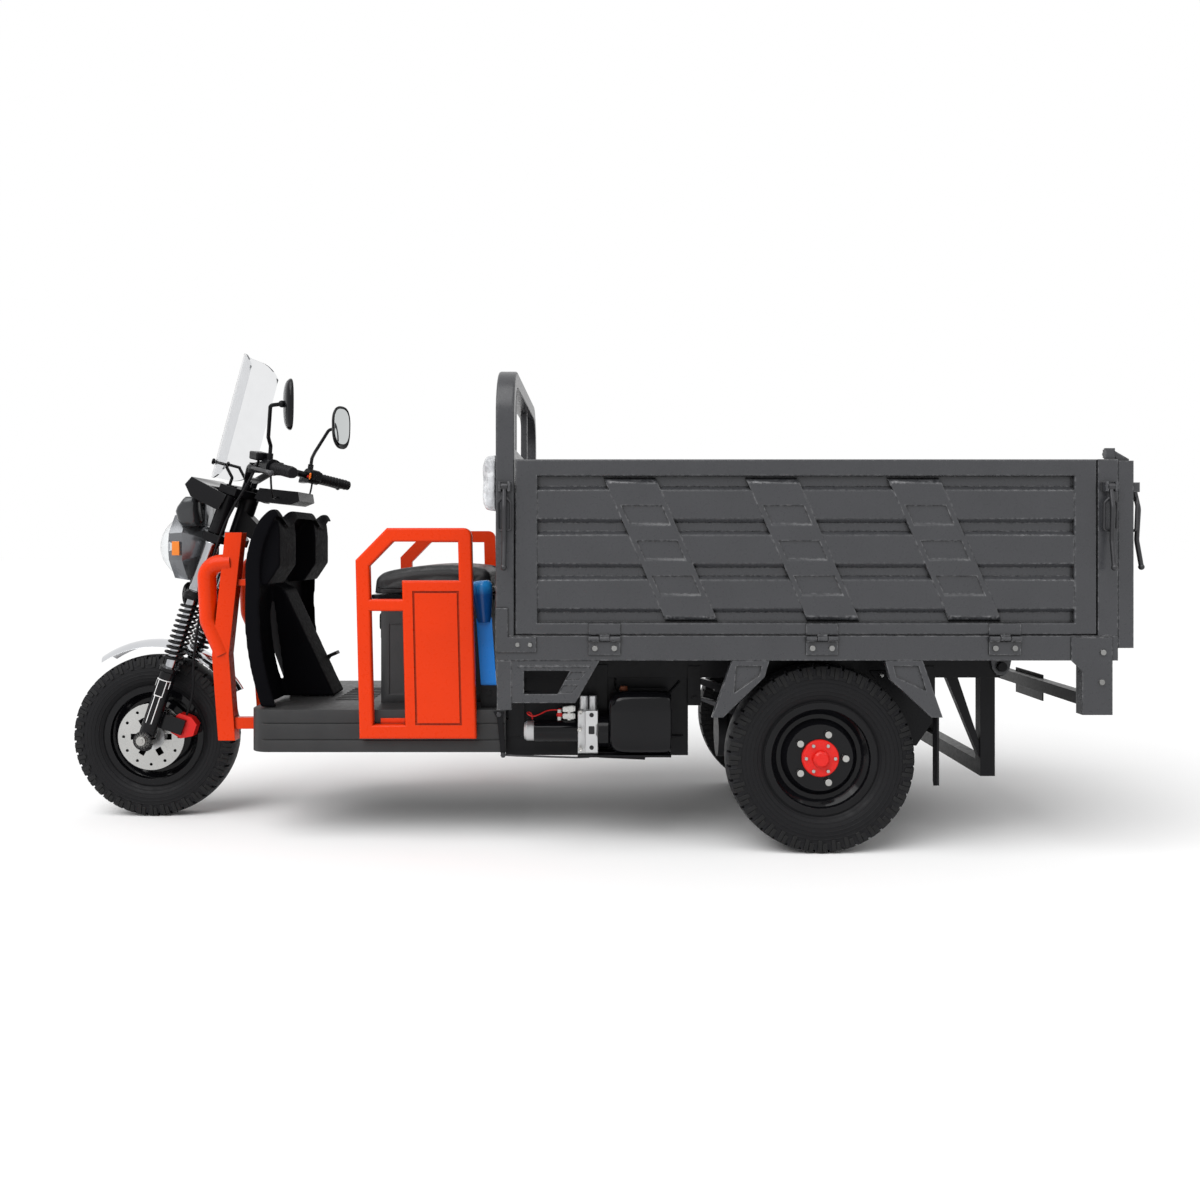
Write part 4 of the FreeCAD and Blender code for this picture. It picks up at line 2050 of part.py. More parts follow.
coupling = rod("coupling", "valve_x+valve_length-1", "-pump_y", "pump_z", "coupling_radius", "coupling_length+1", "x")
solenoids = [rod(f"solenoid_{n}", f"valve_x+{dx}", "-pump_y", "pump_z+valve_height/2-2", "13", "42")
             for n, dx in enumerate((18, 46))]
hose_port = rod("hose_port", "valve_x+valve_length/2", "-pump_y+valve_width/2-2", "pump_z", "11", "20", "y")
valve_block = join("valve_block_solid", valve, coupling, *solenoids, hose_port)
sub_part("hydraulic_pump", together("hydraulic_pump_set", pump_motor, valve_block))
tank = new_body("tank")
tank_x = "(valve_x+valve_length+coupling_length+seat_gap)"
pad(tank, "YZ_Plane", [[
    ("-tank_width/2", "0"),
    ("tank_width/2", "0"),
    ("tank_width/2", "tank_height-40"),
    ("tank_width/2-34", "tank_height"),
    ("-tank_width/2+34", "tank_height"),
    ("-tank_width/2", "tank_height-40"),
]], "tank_length")
rounded(tank, "tank_round", lambda e: runs_along(e, "x"))
rounded(tank, "8", lambda e: e.BoundBox.XLength < 0.01)
put(tank, tank_x, "-pump_y", f"{pump_floor_z}+pump_plate")
filler = rod("filler", f"{tank_x}+40", "-pump_y", f"{pump_floor_z}+pump_plate+tank_height-2", "17", "18")
sub_part("oil_tank", join("oil_tank_solid", tank, filler))

# Tipping ram: barrel on trunnions with three nested stages
stage_radius = ["ram_radius-ram_wall"]
for n in range(2):
    stage_radius.append(f"{stage_radius[-1]}-ram_wall-running_gap")


def ram_tube(name, outer, inner, low, high):
    body = new_body(name)
    spun(body, "XZ_Plane", [[
        ("0", low),
        (outer, low),
        (outer, high),
        (inner, high),
        (inner, f"{low}+ram_floor"),
        ("0", f"{low}+ram_floor"),
    ]], "V_Axis")
    return put(body, "ram_x", "0", "0")


barrel = ram_tube("barrel_tube", "ram_radius", f"{stage_radius[0]}+running_gap", "ram_bottom", "ram_top")
trunnion = rod("trunnion", "ram_x", "-ram_pin_reach", "ram_pivot_z", "ram_pin_radius", "ram_pin_reach-ram_radius+3", "y")
sub_part("ram_barrel", join("ram_barrel_solid", barrel, trunnion, across("trunnion_right", trunnion)))
low = "ram_bottom+ram_floor+seat_gap"
for n in range(2):
    stage = ram_tube(f"ram_tube_{n + 1}", stage_radius[n], f"{stage_radius[n + 1]}+running_gap", low,
                     f"ram_top+{n + 1}*ram_head")
    sub_part(f"ram_stage_{n + 1}", stage)
    low = f"{low}+ram_floor+seat_gap"
rod_body = new_body("ram_rod")
rod_radius = f"({stage_radius[2]})"
ball_top = "(rail_box_bottom+14)"
spun(rod_body, "XZ_Plane", [[
    ("0", low),
    (rod_radius, low),
    (rod_radius, f"{ball_top}-{rod_radius}*0.5", f"{rod_radius}*1.25", 1),
    ("0", ball_top),
]], "V_Axis")
put(rod_body, "ram_x", "0", "0")
sub_part("ram_stage_3", rod_body)

BOX_IN = "(box_half_width-box_rail_width)"
WALL_X = "(box_front+post_depth)"
REAR_SILL = "(box_rear-rear_post_depth)"
FLOOR_LOW = "(floor_top-floor_thickness)"
RUNNER_LOW = f"({RAIL_TOP}+runner_gap)"

# Floor with runners, bearers and the ears of the tipping pivot
floor_sheet = block("floor_sheet", WALL_X, f"-{BOX_IN}", FLOOR_LOW, f"{REAR_SILL}-{WALL_X}", f"2*{BOX_IN}",
                    "floor_thickness")
runner = block("runner", WALL_X, RAIL_Y, RUNNER_LOW, f"{REAR_SILL}-{WALL_X}", "rail_width",
               f"{FLOOR_LOW}-{RUNNER_LOW}")
ear_gap = "1"
ear_block = block("ear_block", "pivot_x-40", f"{RAIL_Y}-pivot_ear-{ear_gap}", f"{RUNNER_LOW}+2", "80",
                  f"rail_width+2*pivot_ear+2*{ear_gap}", f"{FLOOR_LOW}-{RUNNER_LOW}-2")
ears = []
for n, y in enumerate((f"{RAIL_Y}-{ear_gap}", f"-rail_y+rail_width/2+{ear_gap}+pivot_ear")):
    ears.append(plate(
        f"pivot_ear_{n}",
        "XZ_Plane",
        [
            [
                ("-26", "-8"),
                ("-14", "-26"),
                ("14", "-26"),
                ("26", "-8"),
                ("36", f"{RUNNER_LOW}+6-pivot_z"),
                ("-36", f"{RUNNER_LOW}+6-pivot_z"),
            ],
            ("circle", "0", "0", "pivot_pin_radius+running_gap"),
        ],
        "pivot_ear",
        "pivot_x",
        y,
        "pivot_z",
    ))
half_floor = [runner, ear_block, *ears]
outrigger_x = ("outrigger_first", "outrigger_second", "outrigger_third", "outrigger_fourth", "outrigger_fifth")
for n, x in enumerate(outrigger_x):
    half_floor.append(block(f"outrigger_{n}", x, f"-{BOX_IN}", f"{FLOOR_LOW}-bearer_height", "bearer_width",
                            f"{BOX_IN}-rail_y-rail_width/2+1", "bearer_height+1"))
left_floor = join("left_floor", *half_floor)
bearers = [block(f"bearer_{n}", x, f"-{INNER}-1", f"{FLOOR_LOW}-bearer_height", "bearer_width", f"2*{INNER}+2",
                 "bearer_height+1") for n, x in enumerate(outrigger_x)]
ram_pad = block("ram_pad", "ram_x-bearer_width/2", f"-{INNER}-1", f"{ball_top}+seat_gap", "bearer_width",
                f"2*{INNER}+2", f"{FLOOR_LOW}-{ball_top}-seat_gap+1")
sub_part("box_floor", join("box_floor_solid", floor_sheet, left_floor, across("right_floor", left_floor), *bearers,
                           ram_pad))

# Side rails and sills
side_rail = block("side_rail", "box_front", "-box_half_width", "rail_box_bottom", "box_rear-box_front",
                  "box_rail_width", "floor_top-rail_box_bottom")
front_sill = block("front_sill", "box_front", f"-{BOX_IN}", "rail_box_bottom", "post_depth", f"2*{BOX_IN}",
                   "floor_top-rail_box_bottom")
rear_sill = block("rear_sill", REAR_SILL, f"-{BOX_IN}", "rail_box_bottom", "rear_post_depth", f"2*{BOX_IN}",
                  "floor_top-rail_box_bottom")
sub_part("box_rails", join("box_rail_frame", side_rail, across("side_rail_right", side_rail), front_sill, rear_sill))


def waves(face, inward, low, high):
    """The outline of a corrugated sheet in depth and height: bands at the face, grooves set inward."""
    count = 3
    middle_band = f"({low}+{high})/2"
    line = [(f"{face}{inward}wall_wave", low)]
    for n in range(count):
        centre = f"({middle_band}+({n}-1)*wave_pitch)"
        line += [
            (f"{face}{inward}wall_wave", f"{centre}-wave_flat/2-wave_slope"),
            (face, f"{centre}-wave_flat/2"),
            (face, f"{centre}+wave_flat/2"),
            (f"{face}{inward}wall_wave", f"{centre}+wave_flat/2+wave_slope"),
        ]
    line.append((f"{face}{inward}wall_wave", high))
    back = [(f"{u}{inward}wall_sheet", v) for u, v in reversed(line)]
    return line + back


# Front wall between the head guard's posts
front_wall = new_body("front_wall_body")
post_in = "(box_half_width-post_width)"
pad(front_wall, "XZ_Plane", [waves("(box_front+post_depth*0.35)", "+", "floor_top", "box_top")], f"2*{post_in}",
    centred=True)
sub_part("front_wall", front_wall)


def lugs(name, x, y, turned=False):
    """Two cheeks and a pin that carry a latch on the outer face of a post or gate."""
    parts = []
    low = "latch_z-14"
    reach = "(latch_out+9)"
    cheek = "(latch_eye_width/2+1)"
    for n, start in enumerate((f"-{cheek}-latch_lug", cheek)):
        if turned:
            parts.append(block(f"{name}_{n}", x, f"{y}+({start})", low, reach, "latch_lug", "28"))
        else:
            parts.append(block(f"{name}_{n}", f"{x}+({start})", f"{y}-{reach}", low, "latch_lug", reach, "28"))
    span = f"2*{cheek}+2*latch_lug"
    if turned:
        pin_rod = rod(f"{name}_pin", f"{x}+latch_out", f"{y}-{cheek}-latch_lug", "latch_z", "latch_pin_radius", span, "y")
    else:
        pin_rod = rod(f"{name}_pin", f"{x}-{cheek}-latch_lug", f"{y}-latch_out", "latch_z", "latch_pin_radius", span,
                      "x")
    return parts + [pin_rod]


LATCH_FRONT_X = "(box_front+post_depth/2)"
LATCH_REAR_X = "(box_rear-rear_post_depth/2)"
TAIL_FACE = "(box_rear+tail_gap+tail_depth)"
TAIL_LATCH_Y = "(box_half_width-36)"

# Head guard: a hoop with a bar over the wall and two uprights
hoop = new_body("hoop")
pad(
    hoop,
    "YZ_Plane",
    [[
        ("-box_half_width", "floor_top"),
        (f"-{post_in}", "floor_top"),
        (f"-{post_in}", "guard_top-guard_bar"),
        (post_in, "guard_top-guard_bar"),
        (post_in, "floor_top"),
        ("box_half_width", "floor_top"),
        ("box_half_width", "guard_top"),
        ("-box_half_width", "guard_top"),
    ]],
    "post_depth",
    offset="box_front",
)
rounded(hoop, "guard_round", lambda e: runs_along(e, "x") and abs(middle(e).z - size("guard_top")) < 0.01)
rounded(hoop, "guard_round-guard_bar",
        lambda e: runs_along(e, "x") and abs(middle(e).z - size("guard_top-guard_bar")) < 0.01)
rounded(hoop, "6", lambda e: runs_along(e, "z") and abs(middle(e).y) > size("box_half_width") - 0.01)
guard_rail = block("guard_rail", "box_front+8", f"-{post_in}", "box_top+seat_gap", "post_depth-16", f"2*{post_in}", "40")
guard_upright = block("guard_upright", "box_front+16", f"-{post_in}*0.5-12", "box_top+30", "22", "24",
                      "guard_top-guard_bar-box_top-28")
front_lugs = lugs("front_lug", LATCH_FRONT_X, "-box_half_width")
front_lug_set = join("front_lug_set", *front_lugs)
sub_part("head_guard", join("head_guard_solid", hoop, guard_rail, guard_upright,
                            across("guard_upright_right", guard_upright), front_lug_set,
                            across("front_lug_right", front_lug_set)))

# Rear posts with the tailgate's pins, and corner legs below the rails
rear_post = block("rear_post", REAR_SILL, "-box_half_width", "floor_top", "rear_post_depth", "post_width",
                  "box_top-floor_top")
ear_plate = block("tail_ear_plate", "tail_hinge_x-14", "-box_half_width+10", "box_top-1", "28", "tail_ear",
                  "tail_hinge_z-box_top+16")
tail_pin = rod("tail_pin", "tail_hinge_x", "-box_half_width+10", "tail_hinge_z", "tail_pin_radius",
               "tail_ear+tail_arm+16", "y")
rear_post_set = join("rear_post_set", rear_post, ear_plate, tail_pin,
                     *lugs("rear_lug", LATCH_REAR_X, "-box_half_width"))
corner_leg = block("corner_leg", "corner_leg_front", "-box_half_width", "corner_leg_bottom",
                   "corner_leg_rear-corner_leg_front", "box_rail_width", "rail_box_bottom-corner_leg_bottom")
corner_cover = plate(
    "corner_cover",
    "XZ_Plane",
    [[
        ("corner_front", "floor_top-4"),
        ("corner_front", "rail_box_bottom"),
        ("corner_leg_front", "rail_box_bottom-30"),
        ("corner_leg_front", "corner_leg_bottom"),
        ("corner_leg_rear", "corner_leg_bottom"),
        ("corner_leg_rear", "floor_top-4"),
    ]],
    "corner_plate",
    y="-box_half_width",
)
corner_bolts = [rod(f"corner_bolt_{n}", x, "-box_half_width-corner_plate-hinge_bolt_height", z, "hinge_bolt_radius",
                    "hinge_bolt_height+1", "y")
                for n, (x, z) in enumerate((("corner_leg_rear-28", "rail_box_bottom+24"),
                                            ("corner_leg_rear-32", "rail_box_bottom-62")))]
corner_set = join("corner_set", corner_leg, corner_cover, *corner_bolts)
rear_frame = together("rear_frame_left", rear_post_set, corner_set)
pair("rear_posts", rear_frame)

# Skirts under the front of the rails
skirt_post = block("skirt_post", "box_front+4", "-box_half_width", "rail_box_bottom-skirt_post_drop",
                   "skirt_post_width", "box_rail_width", "skirt_post_drop")
skirt_front = "(box_front+4+skirt_post_width)"
skirt_low = "(rail_box_bottom-skirt_drop)"
skirt_sheet = plate(
    "skirt_sheet",
    "XZ_Plane",
    [
        [
            (f"{skirt_front}-1", "rail_box_bottom"),
            ("skirt_rear", "rail_box_bottom"),
            ("skirt_rear-skirt_slant", skirt_low),
            (f"{skirt_front}-1", skirt_low),
        ],
        [
            (f"{skirt_front}+36", "rail_box_bottom-30"),
            ("skirt_rear-86", "rail_box_bottom-30"),
            ("skirt_rear-skirt_slant-52", f"{skirt_low}+26"),
            (f"{skirt_front}+36", f"{skirt_low}+26"),
        ],
    ],
    "skirt_thickness",
    y="-box_half_width+2+skirt_thickness",
)


def pressed_mark(n, high, low):
    """A shallow pressing beside the skirt's window, with ends that follow the slanted edge."""
    top, bottom = f"(rail_box_bottom-{high})", f"(rail_box_bottom-{low})"
    edge = "(skirt_rear-skirt_slant*{0}/skirt_drop)"
    return plate(
        f"pressed_mark_{n}",
        "XZ_Plane",
        [[
            (f"{edge.format(high)}-62", top),
            (f"{edge.format(high)}-22", top),
            (f"{edge.format(low)}-28", bottom),
            (f"{edge.format(low)}-68", bottom),
        ]],
        "skirt_press",
        y="-box_half_width+2+skirt_press",
    )


marks = [pressed_mark(0, 34, 56), pressed_mark(1, 72, 94)]
skirt_bead = block("skirt_bead", f"{skirt_front}+18", "-box_half_width", "rail_box_bottom-20",
                   f"skirt_rear-skirt_slant*20/skirt_drop-14-({skirt_front}+18)", "4", "5")
pair("side_skirts", join("side_skirt", skirt_post, minus("skirt_pressed", skirt_sheet, *marks), skirt_bead))

# Struts before and behind each rear wheel, with a flap
strut_low = "(rail_box_bottom-strut_drop)"
strut_y = "-box_half_width+strut_thickness+1"


def strut(name, shape, recess):
    body = new_body(name)
    pad(body, "XZ_Plane", [shape], "strut_thickness", offset="box_half_width-1-strut_thickness")
    pocket(body, "XZ_Plane", [recess], "strut_recess+5", offset="box_half_width-1-strut_recess", back=True)
    return body


front_strut = strut(
    "front_strut",
    [
        ("strut_front_x", "rail_box_bottom"),
        ("strut_front_x+strut_top_length", "rail_box_bottom"),
        ("strut_front_x+strut_top_length-14", "rail_box_bottom-48"),
        ("strut_front_x-strut_lean+strut_tip", strut_low),
        ("strut_front_x-strut_lean", strut_low),
    ],
    [
        ("strut_front_x+12", "rail_box_bottom-16"),
        ("strut_front_x+strut_top_length-22", "rail_box_bottom-16"),
        ("strut_front_x+strut_top_length-30", "rail_box_bottom-44"),
        ("strut_front_x+6", "rail_box_bottom-94"),
    ],
)
rear_strut = strut(
    "rear_strut",
    [
        ("strut_rear_x", "rail_box_bottom"),
        ("strut_rear_x+strut_top_length", "rail_box_bottom"),
        ("strut_rear_x+strut_top_length+strut_lean", strut_low),
        ("strut_rear_x+strut_top_length+strut_lean-strut_tip", strut_low),
        ("strut_rear_x+14", "rail_box_bottom-54"),
    ],
    [
        ("strut_rear_x+24", "rail_box_bottom-16"),
        ("strut_rear_x+strut_top_length-12", "rail_box_bottom-16"),
        ("strut_rear_x+strut_top_length+10", "rail_box_bottom-88"),
        ("strut_rear_x+32", "rail_box_bottom-48"),
    ],
)
flap = plate(
    "flap",
    "YZ_Plane",
    [[
        ("-box_half_width+3", strut_low),
        ("-box_half_width+3+flap_width", strut_low),
        ("-box_half_width+3+flap_width", f"{strut_low}-flap_drop+14"),
        ("-box_half_width+17+flap_width/2", f"{strut_low}-flap_drop"),
        ("-box_half_width+3", f"{strut_low}-flap_drop+8"),
    ]],
    "flap_thickness",
    "strut_rear_x+strut_top_length+strut_lean-strut_tip/2",
)
strut_set = together("wheel_guard_left", front_strut, rear_strut, flap)
pair("mudguards", strut_set)

# Drop-side hinges and corner brackets on the rails
HINGE_Y = "(-box_half_width-gate_hinge_out)"
KNUCKLE = "gate_hinge_length/3"
fixed_leaves = []
for n, x in enumerate(("hinge_first_x", "hinge_second_x", "hinge_third_x")):
    start = f"({x}-gate_hinge_length/2)"
    leaf_y = "-box_half_width-gate_hinge_leaf"
    parts = [
        block(f"fixed_leaf_{n}", start, leaf_y, "gate_hinge_z-48", "gate_hinge_length", "gate_hinge_leaf", "40"),
        rod(f"hinge_pin_{n}", start, HINGE_Y, "gate_hinge_z", "3", "gate_hinge_length", "x"),
    ]
    for k, at in enumerate((start, f"{start}+2*{KNUCKLE}+1")):
        parts.append(rod(f"knuckle_{n}_{k}", at, HINGE_Y, "gate_hinge_z", "gate_knuckle_radius", f"{KNUCKLE}-1", "x"))
        parts.append(block(f"knuckle_web_{n}_{k}", at, f"{HINGE_Y}", "gate_hinge_z-10", f"{KNUCKLE}-1",
                           "gate_hinge_out", "10"))
    for k, dx in enumerate(("-28", "+28")):
        parts.append(rod(f"hinge_bolt_{n}_{k}", f"{x}{dx}", f"{leaf_y}-hinge_bolt_height", "gate_hinge_z-28",
                         "hinge_bolt_radius", "hinge_bolt_height+1", "y"))
    fixed_leaves.append(join(f"fixed_hinge_{n}", *parts))
corner_plate = plate(
    "front_corner_plate",
    "XZ_Plane",
    [[
        ("box_front", "floor_top-48"),
        (f"{WALL_X}+64", "floor_top-48"),
        (f"{WALL_X}+64", "floor_top-4"),
        (f"{WALL_X}-18", "floor_top-4"),
        (f"{WALL_X}-18", "floor_top+80"),
        ("box_front", "floor_top+80"),
    ]],
    "bracket_plate",
    y="-box_half_width",
)
plate_bolts = [rod(f"plate_bolt_{n}", f"{WALL_X}+{dx}", "-box_half_width-bracket_plate-hinge_bolt_height",
                   "floor_top-26", "hinge_bolt_radius-2", "hinge_bolt_height+1", "y") for n, dx in enumerate((10, 46))]
corner_bracket = join("corner_bracket", corner_plate, *plate_bolts)
bracket_side = together("bracket_side", *fixed_leaves, corner_bracket)
pair("box_brackets", bracket_side)

# Drop sides: a frame, a corrugated panel, three slanting pads and the moving hinge leaves
GATE_FRONT = f"({WALL_X}+gate_gap)"
GATE_REAR = f"({REAR_SILL}-gate_gap)"
GATE_LOW = "(floor_top+gate_gap)"
gate = new_body("gate")
gate_in = "box_half_width-gate_depth"
window = rectangle(f"{GATE_FRONT}+gate_stile", f"{GATE_LOW}+gate_foot", f"{GATE_REAR}-gate_stile", "box_top-gate_frame")
pad(gate, "XZ_Plane", [rectangle(GATE_FRONT, GATE_LOW, GATE_REAR, "box_top"), window], "gate_depth", offset=gate_in)
rounded(gate, "5", lambda e: abs(middle(e).y + size("box_half_width")) < 0.01 and e.BoundBox.YLength < 0.01)
pad(gate, "YZ_Plane", [waves("(-box_half_width+gate_inset)", "+", f"({GATE_LOW}+gate_foot-1)", "(box_top-gate_frame+1)")],
    f"{GATE_REAR}-{GATE_FRONT}-2*gate_stile+2", offset=f"{GATE_FRONT}+gate_stile-1")
slash_low = f"({GATE_LOW}+gate_foot+2)"
slash_high = "(box_top-gate_frame-4)"


def slash(n):
    left = f"(slash_first_x-slash_width/2+{n}*slash_pitch)"
    return [
        (left, slash_high),
        (f"{left}+slash_shift", slash_low),
        (f"{left}+slash_shift+slash_width", slash_low),
        (f"{left}+slash_width", slash_high),
    ]


def slash_step(n, k):
    """One shallow band across a slanting pad, inside its edges."""
    z_mid = f"(({slash_low}+{slash_high})/2+({k}-1)*2*slash_step_height)"
    corners = []
    for z, ends in ((f"{z_mid}+slash_step_height/2", ("slash_bevel", "slash_width-slash_bevel")),
                    (f"{z_mid}-slash_step_height/2", ("slash_width-slash_bevel", "slash_bevel"))):
        slide = f"slash_shift*({slash_high}-({z}))/({slash_high}-{slash_low})"
        left = f"slash_first_x-slash_width/2+{n}*slash_pitch+{slide}"
        corners += [(f"{left}+{end}", z) for end in ends]
    return corners


slash_base = "(box_half_width-gate_inset-wall_wave-wall_sheet/2)"
pad(gate, "XZ_Plane", [slash(n) for n in range(3)], "slash_rise", offset=slash_base)
pocket(gate, "XZ_Plane", [slash_step(n, k) for n in range(3) for k in range(3)], "slash_step+5",
       offset=f"{slash_base}+slash_rise-slash_step", back=True)
gate_pins = []
for n, x in enumerate(("hinge_first_x", "hinge_second_x", "hinge_third_x")):
    gate_pins += [
        block(f"gate_leaf_{n}", f"{x}-gate_hinge_length/2", "-box_half_width-gate_hinge_leaf", GATE_LOW,
              "gate_hinge_length", "gate_hinge_leaf", "34"),
        block(f"gate_web_{n}", f"{x}-{KNUCKLE}/2+1", HINGE_Y, "gate_hinge_z", f"{KNUCKLE}-2",
              "gate_hinge_out-seat_gap", f"{GATE_LOW}-gate_hinge_z+1"),
        rod(f"gate_knuckle_{n}", f"{x}-{KNUCKLE}/2+1", HINGE_Y, "gate_hinge_z", "gate_knuckle_radius", f"{KNUCKLE}-2",
            "x"),
    ]
gate_bore = rod("gate_bore", GATE_FRONT, HINGE_Y, "gate_hinge_z", "3+running_gap", f"{GATE_REAR}-{GATE_FRONT}", "x")
left_gate = minus("left_gate", join("left_gate_blank", gate, *gate_pins), gate_bore)
sub_part("side_gate_left", left_gate)
sub_part("side_gate_right", across("right_gate", left_gate))

# Tailgate hung from two arms
TAIL_X = "(box_rear+tail_gap)"
tail = new_body("tail")
tail_half = "(box_half_width-2)"
tail_top = "(box_top-4)"
tail_window = rectangle(f"-{tail_half}+gate_stile", "tail_bottom+gate_frame", f"{tail_half}-gate_stile",
                        f"{tail_top}-gate_frame")
pad(tail, "YZ_Plane", [rectangle(f"-{tail_half}", "tail_bottom", tail_half, tail_top), tail_window], "tail_depth",
    offset=TAIL_X)
pad(tail, "XZ_Plane", [waves(f"({TAIL_FACE}-gate_inset)", "-", "(tail_bottom+gate_frame-1)",
                             f"({tail_top}-gate_frame+1)")], f"2*({tail_half}-gate_stile)+2", centred=True)
arm_y = "(box_half_width-10-tail_ear-1)"
arm = plate(
    "tail_arm_plate",
    "XZ_Plane",
    [
        [
            ("tail_hinge_x-12", "tail_hinge_z-12"),
            (f"{TAIL_X}+2", "tail_hinge_z-12"),
            (f"{TAIL_X}+2", f"{tail_top}-30"),
            (f"{TAIL_FACE}-4", f"{tail_top}-30"),
            (f"{TAIL_FACE}-4", f"{tail_top}+6"),
            ("tail_hinge_x+12", "tail_hinge_z+12"),
            ("tail_hinge_x-12", "tail_hinge_z+12"),
        ],
        ("circle", "tail_hinge_x", "tail_hinge_z", "tail_pin_radius+running_gap"),
    ],
    "tail_arm",
    y=f"-{arm_y}+tail_arm",
)
tail_lugs = join("tail_lugs", *lugs("tail_lug", TAIL_FACE, f"-{TAIL_LATCH_Y}", True))
sub_part("tailgate", join("tailgate_solid", tail, arm, across("tail_arm_right", arm), tail_lugs,
                          across("tail_lugs_right", tail_lugs)))

# Latches: an eye, a bowed handle and a wire loop, drawn about the pin with outward as -Y
eye_width = size("latch_eye_width")
latch_eye = Part.makeCylinder(size("latch_pin_radius+6"), eye_width, Vector(-eye_width / 2, 0, 0), X_DIR)
reach = size("latch_length")
bow = size("latch_bow")
handle = tube_along([Vector(0, 0, 0), Vector(0, -bow, -reach * 0.27), Vector(0, -bow * 0.6, -reach * 0.66),
                     Vector(0, -bow * 1.6, -reach)], 60, size("latch_bar_radius"))
handle_end = Part.makeSphere(size("latch_bar_radius+2"), Vector(0, -bow * 1.6, -reach))
half_loop = size("latch_loop_width/2")
loop_end = -size("latch_loop_length") - 18
loop_low = [Vector(0, -6, -26), Vector(-half_loop, 0, -46), Vector(-half_loop, 3, loop_end),
            Vector(half_loop, 3, loop_end), Vector(half_loop, 0, -46), Vector(0, -6, -26)]
wire = tube_along(loop_low, 9, size("latch_wire_radius"))
latch_shape = latch_eye.fuse([handle, handle_end, wire])
latch_shape = latch_shape.cut(Part.makeCylinder(size("latch_pin_radius+running_gap"), 60, Vector(-30, 0, 0), X_DIR))
latch_shape = latch_shape.removeSplitter()
for name, x in (("latch_front", LATCH_FRONT_X), ("latch_rear", LATCH_REAR_X)):
    latch = put(solid(f"{name}_shape", latch_shape), x, "-box_half_width-latch_out", "latch_z")
    sub_part(f"{name}_left", latch)
    sub_part(f"{name}_right", across(f"{name}_image", latch))
tail_latch = put(solid("latch_tail_shape", latch_shape), f"{TAIL_FACE}+latch_out", f"-{TAIL_LATCH_Y}", "latch_z",
                 (0, 0, 1), "90")
sub_part("latch_tail_left", tail_latch)
sub_part("latch_tail_right", across("latch_tail_image", tail_latch))

# Tail lamps on a bar between the corner legs
lamp_bar = block("lamp_bar", "lamp_bar_x-lamp_bar_size/2", f"-{BOX_IN}", "lamp_bar_z-lamp_bar_size/2",
                 "lamp_bar_size", f"2*{BOX_IN}", "lamp_bar_size")
lamp_case = new_body("lamp_case")
pad(lamp_case, "XZ_Plane", [[
    ("0", "-tail_lamp_height/2"),
    ("tail_lamp_depth", "-tail_lamp_height/2+8"),
    ("tail_lamp_depth", "tail_lamp_height/2-8"),
    ("0", "tail_lamp_height/2"),
]], "tail_lamp_width", centred=True)
put(lamp_case, "lamp_bar_x+lamp_bar_size/2", "-box_half_width+box_rail_width+tail_lamp_width/2+20", "lamp_bar_z")
plate_holder = block("plate_holder", "lamp_bar_x+lamp_bar_size/2", "-115", "lamp_bar_z-58", "4", "230", "86")
sub_part("tail_lamps", together("tail_lamp_set", lamp_bar, lamp_case, across("lamp_case_right", lamp_case),
                                plate_holder))

# Pad on the front of the head guard, behind the rider
back_pad = new_body("back_pad")
pad(back_pad, "YZ_Plane", [rectangle("-back_pad_half_width", "back_pad_bottom", "back_pad_half_width",
                                     "back_pad_bottom+back_pad_height")], "back_pad_depth",
    offset="box_front-back_pad_depth-seat_gap")
rounded(back_pad, "back_pad_round*1.6", lambda e: runs_along(e, "x"))
rounded(back_pad, "back_pad_round", lambda e: abs(
    e.BoundBox.XMax - size("box_front-back_pad_depth-seat_gap")) < 0.01)
sub_part("backrest_pad", back_pad)


doc.recompute()
bad = [o.Label for o in doc.Objects if {"Invalid", "Error"} & set(o.State)]
if bad:
    raise ValueError(f"objects in error: {bad}")
idle = [o.Label for o in doc.findObjects("PartDesign::Pocket") if o.Shape.Volume > o.BaseFeature.Shape.Volume - 1]
if idle:
    raise ValueError(f"pockets that cut nothing: {idle}")
os.makedirs(OUT, exist_ok=True)
for item in SUB_PARTS:
    shape = item.Shape
    if shape.isNull() or not shape.isValid() or not shape.Solids:
        raise ValueError(f"{item.Label} has no valid solid")
    shape.exportStep(f"{OUT}/{item.Label}.step")
    print(f"{item.Label}: {len(shape.Solids)} solids, {shape.Volume / 1e6:.3f} litres")
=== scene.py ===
"""Looks of an electric cargo tricycle: finishes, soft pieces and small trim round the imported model.

Metres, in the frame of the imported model: +Z is up, the front points to -X and the left side is -Y.
"""

from __future__ import annotations

import logging
import math
from dataclasses import dataclass, field
from enum import Enum
from typing import Callable, Iterable, Sequence

import bmesh
import bpy
from mathutils import Matrix, Vector

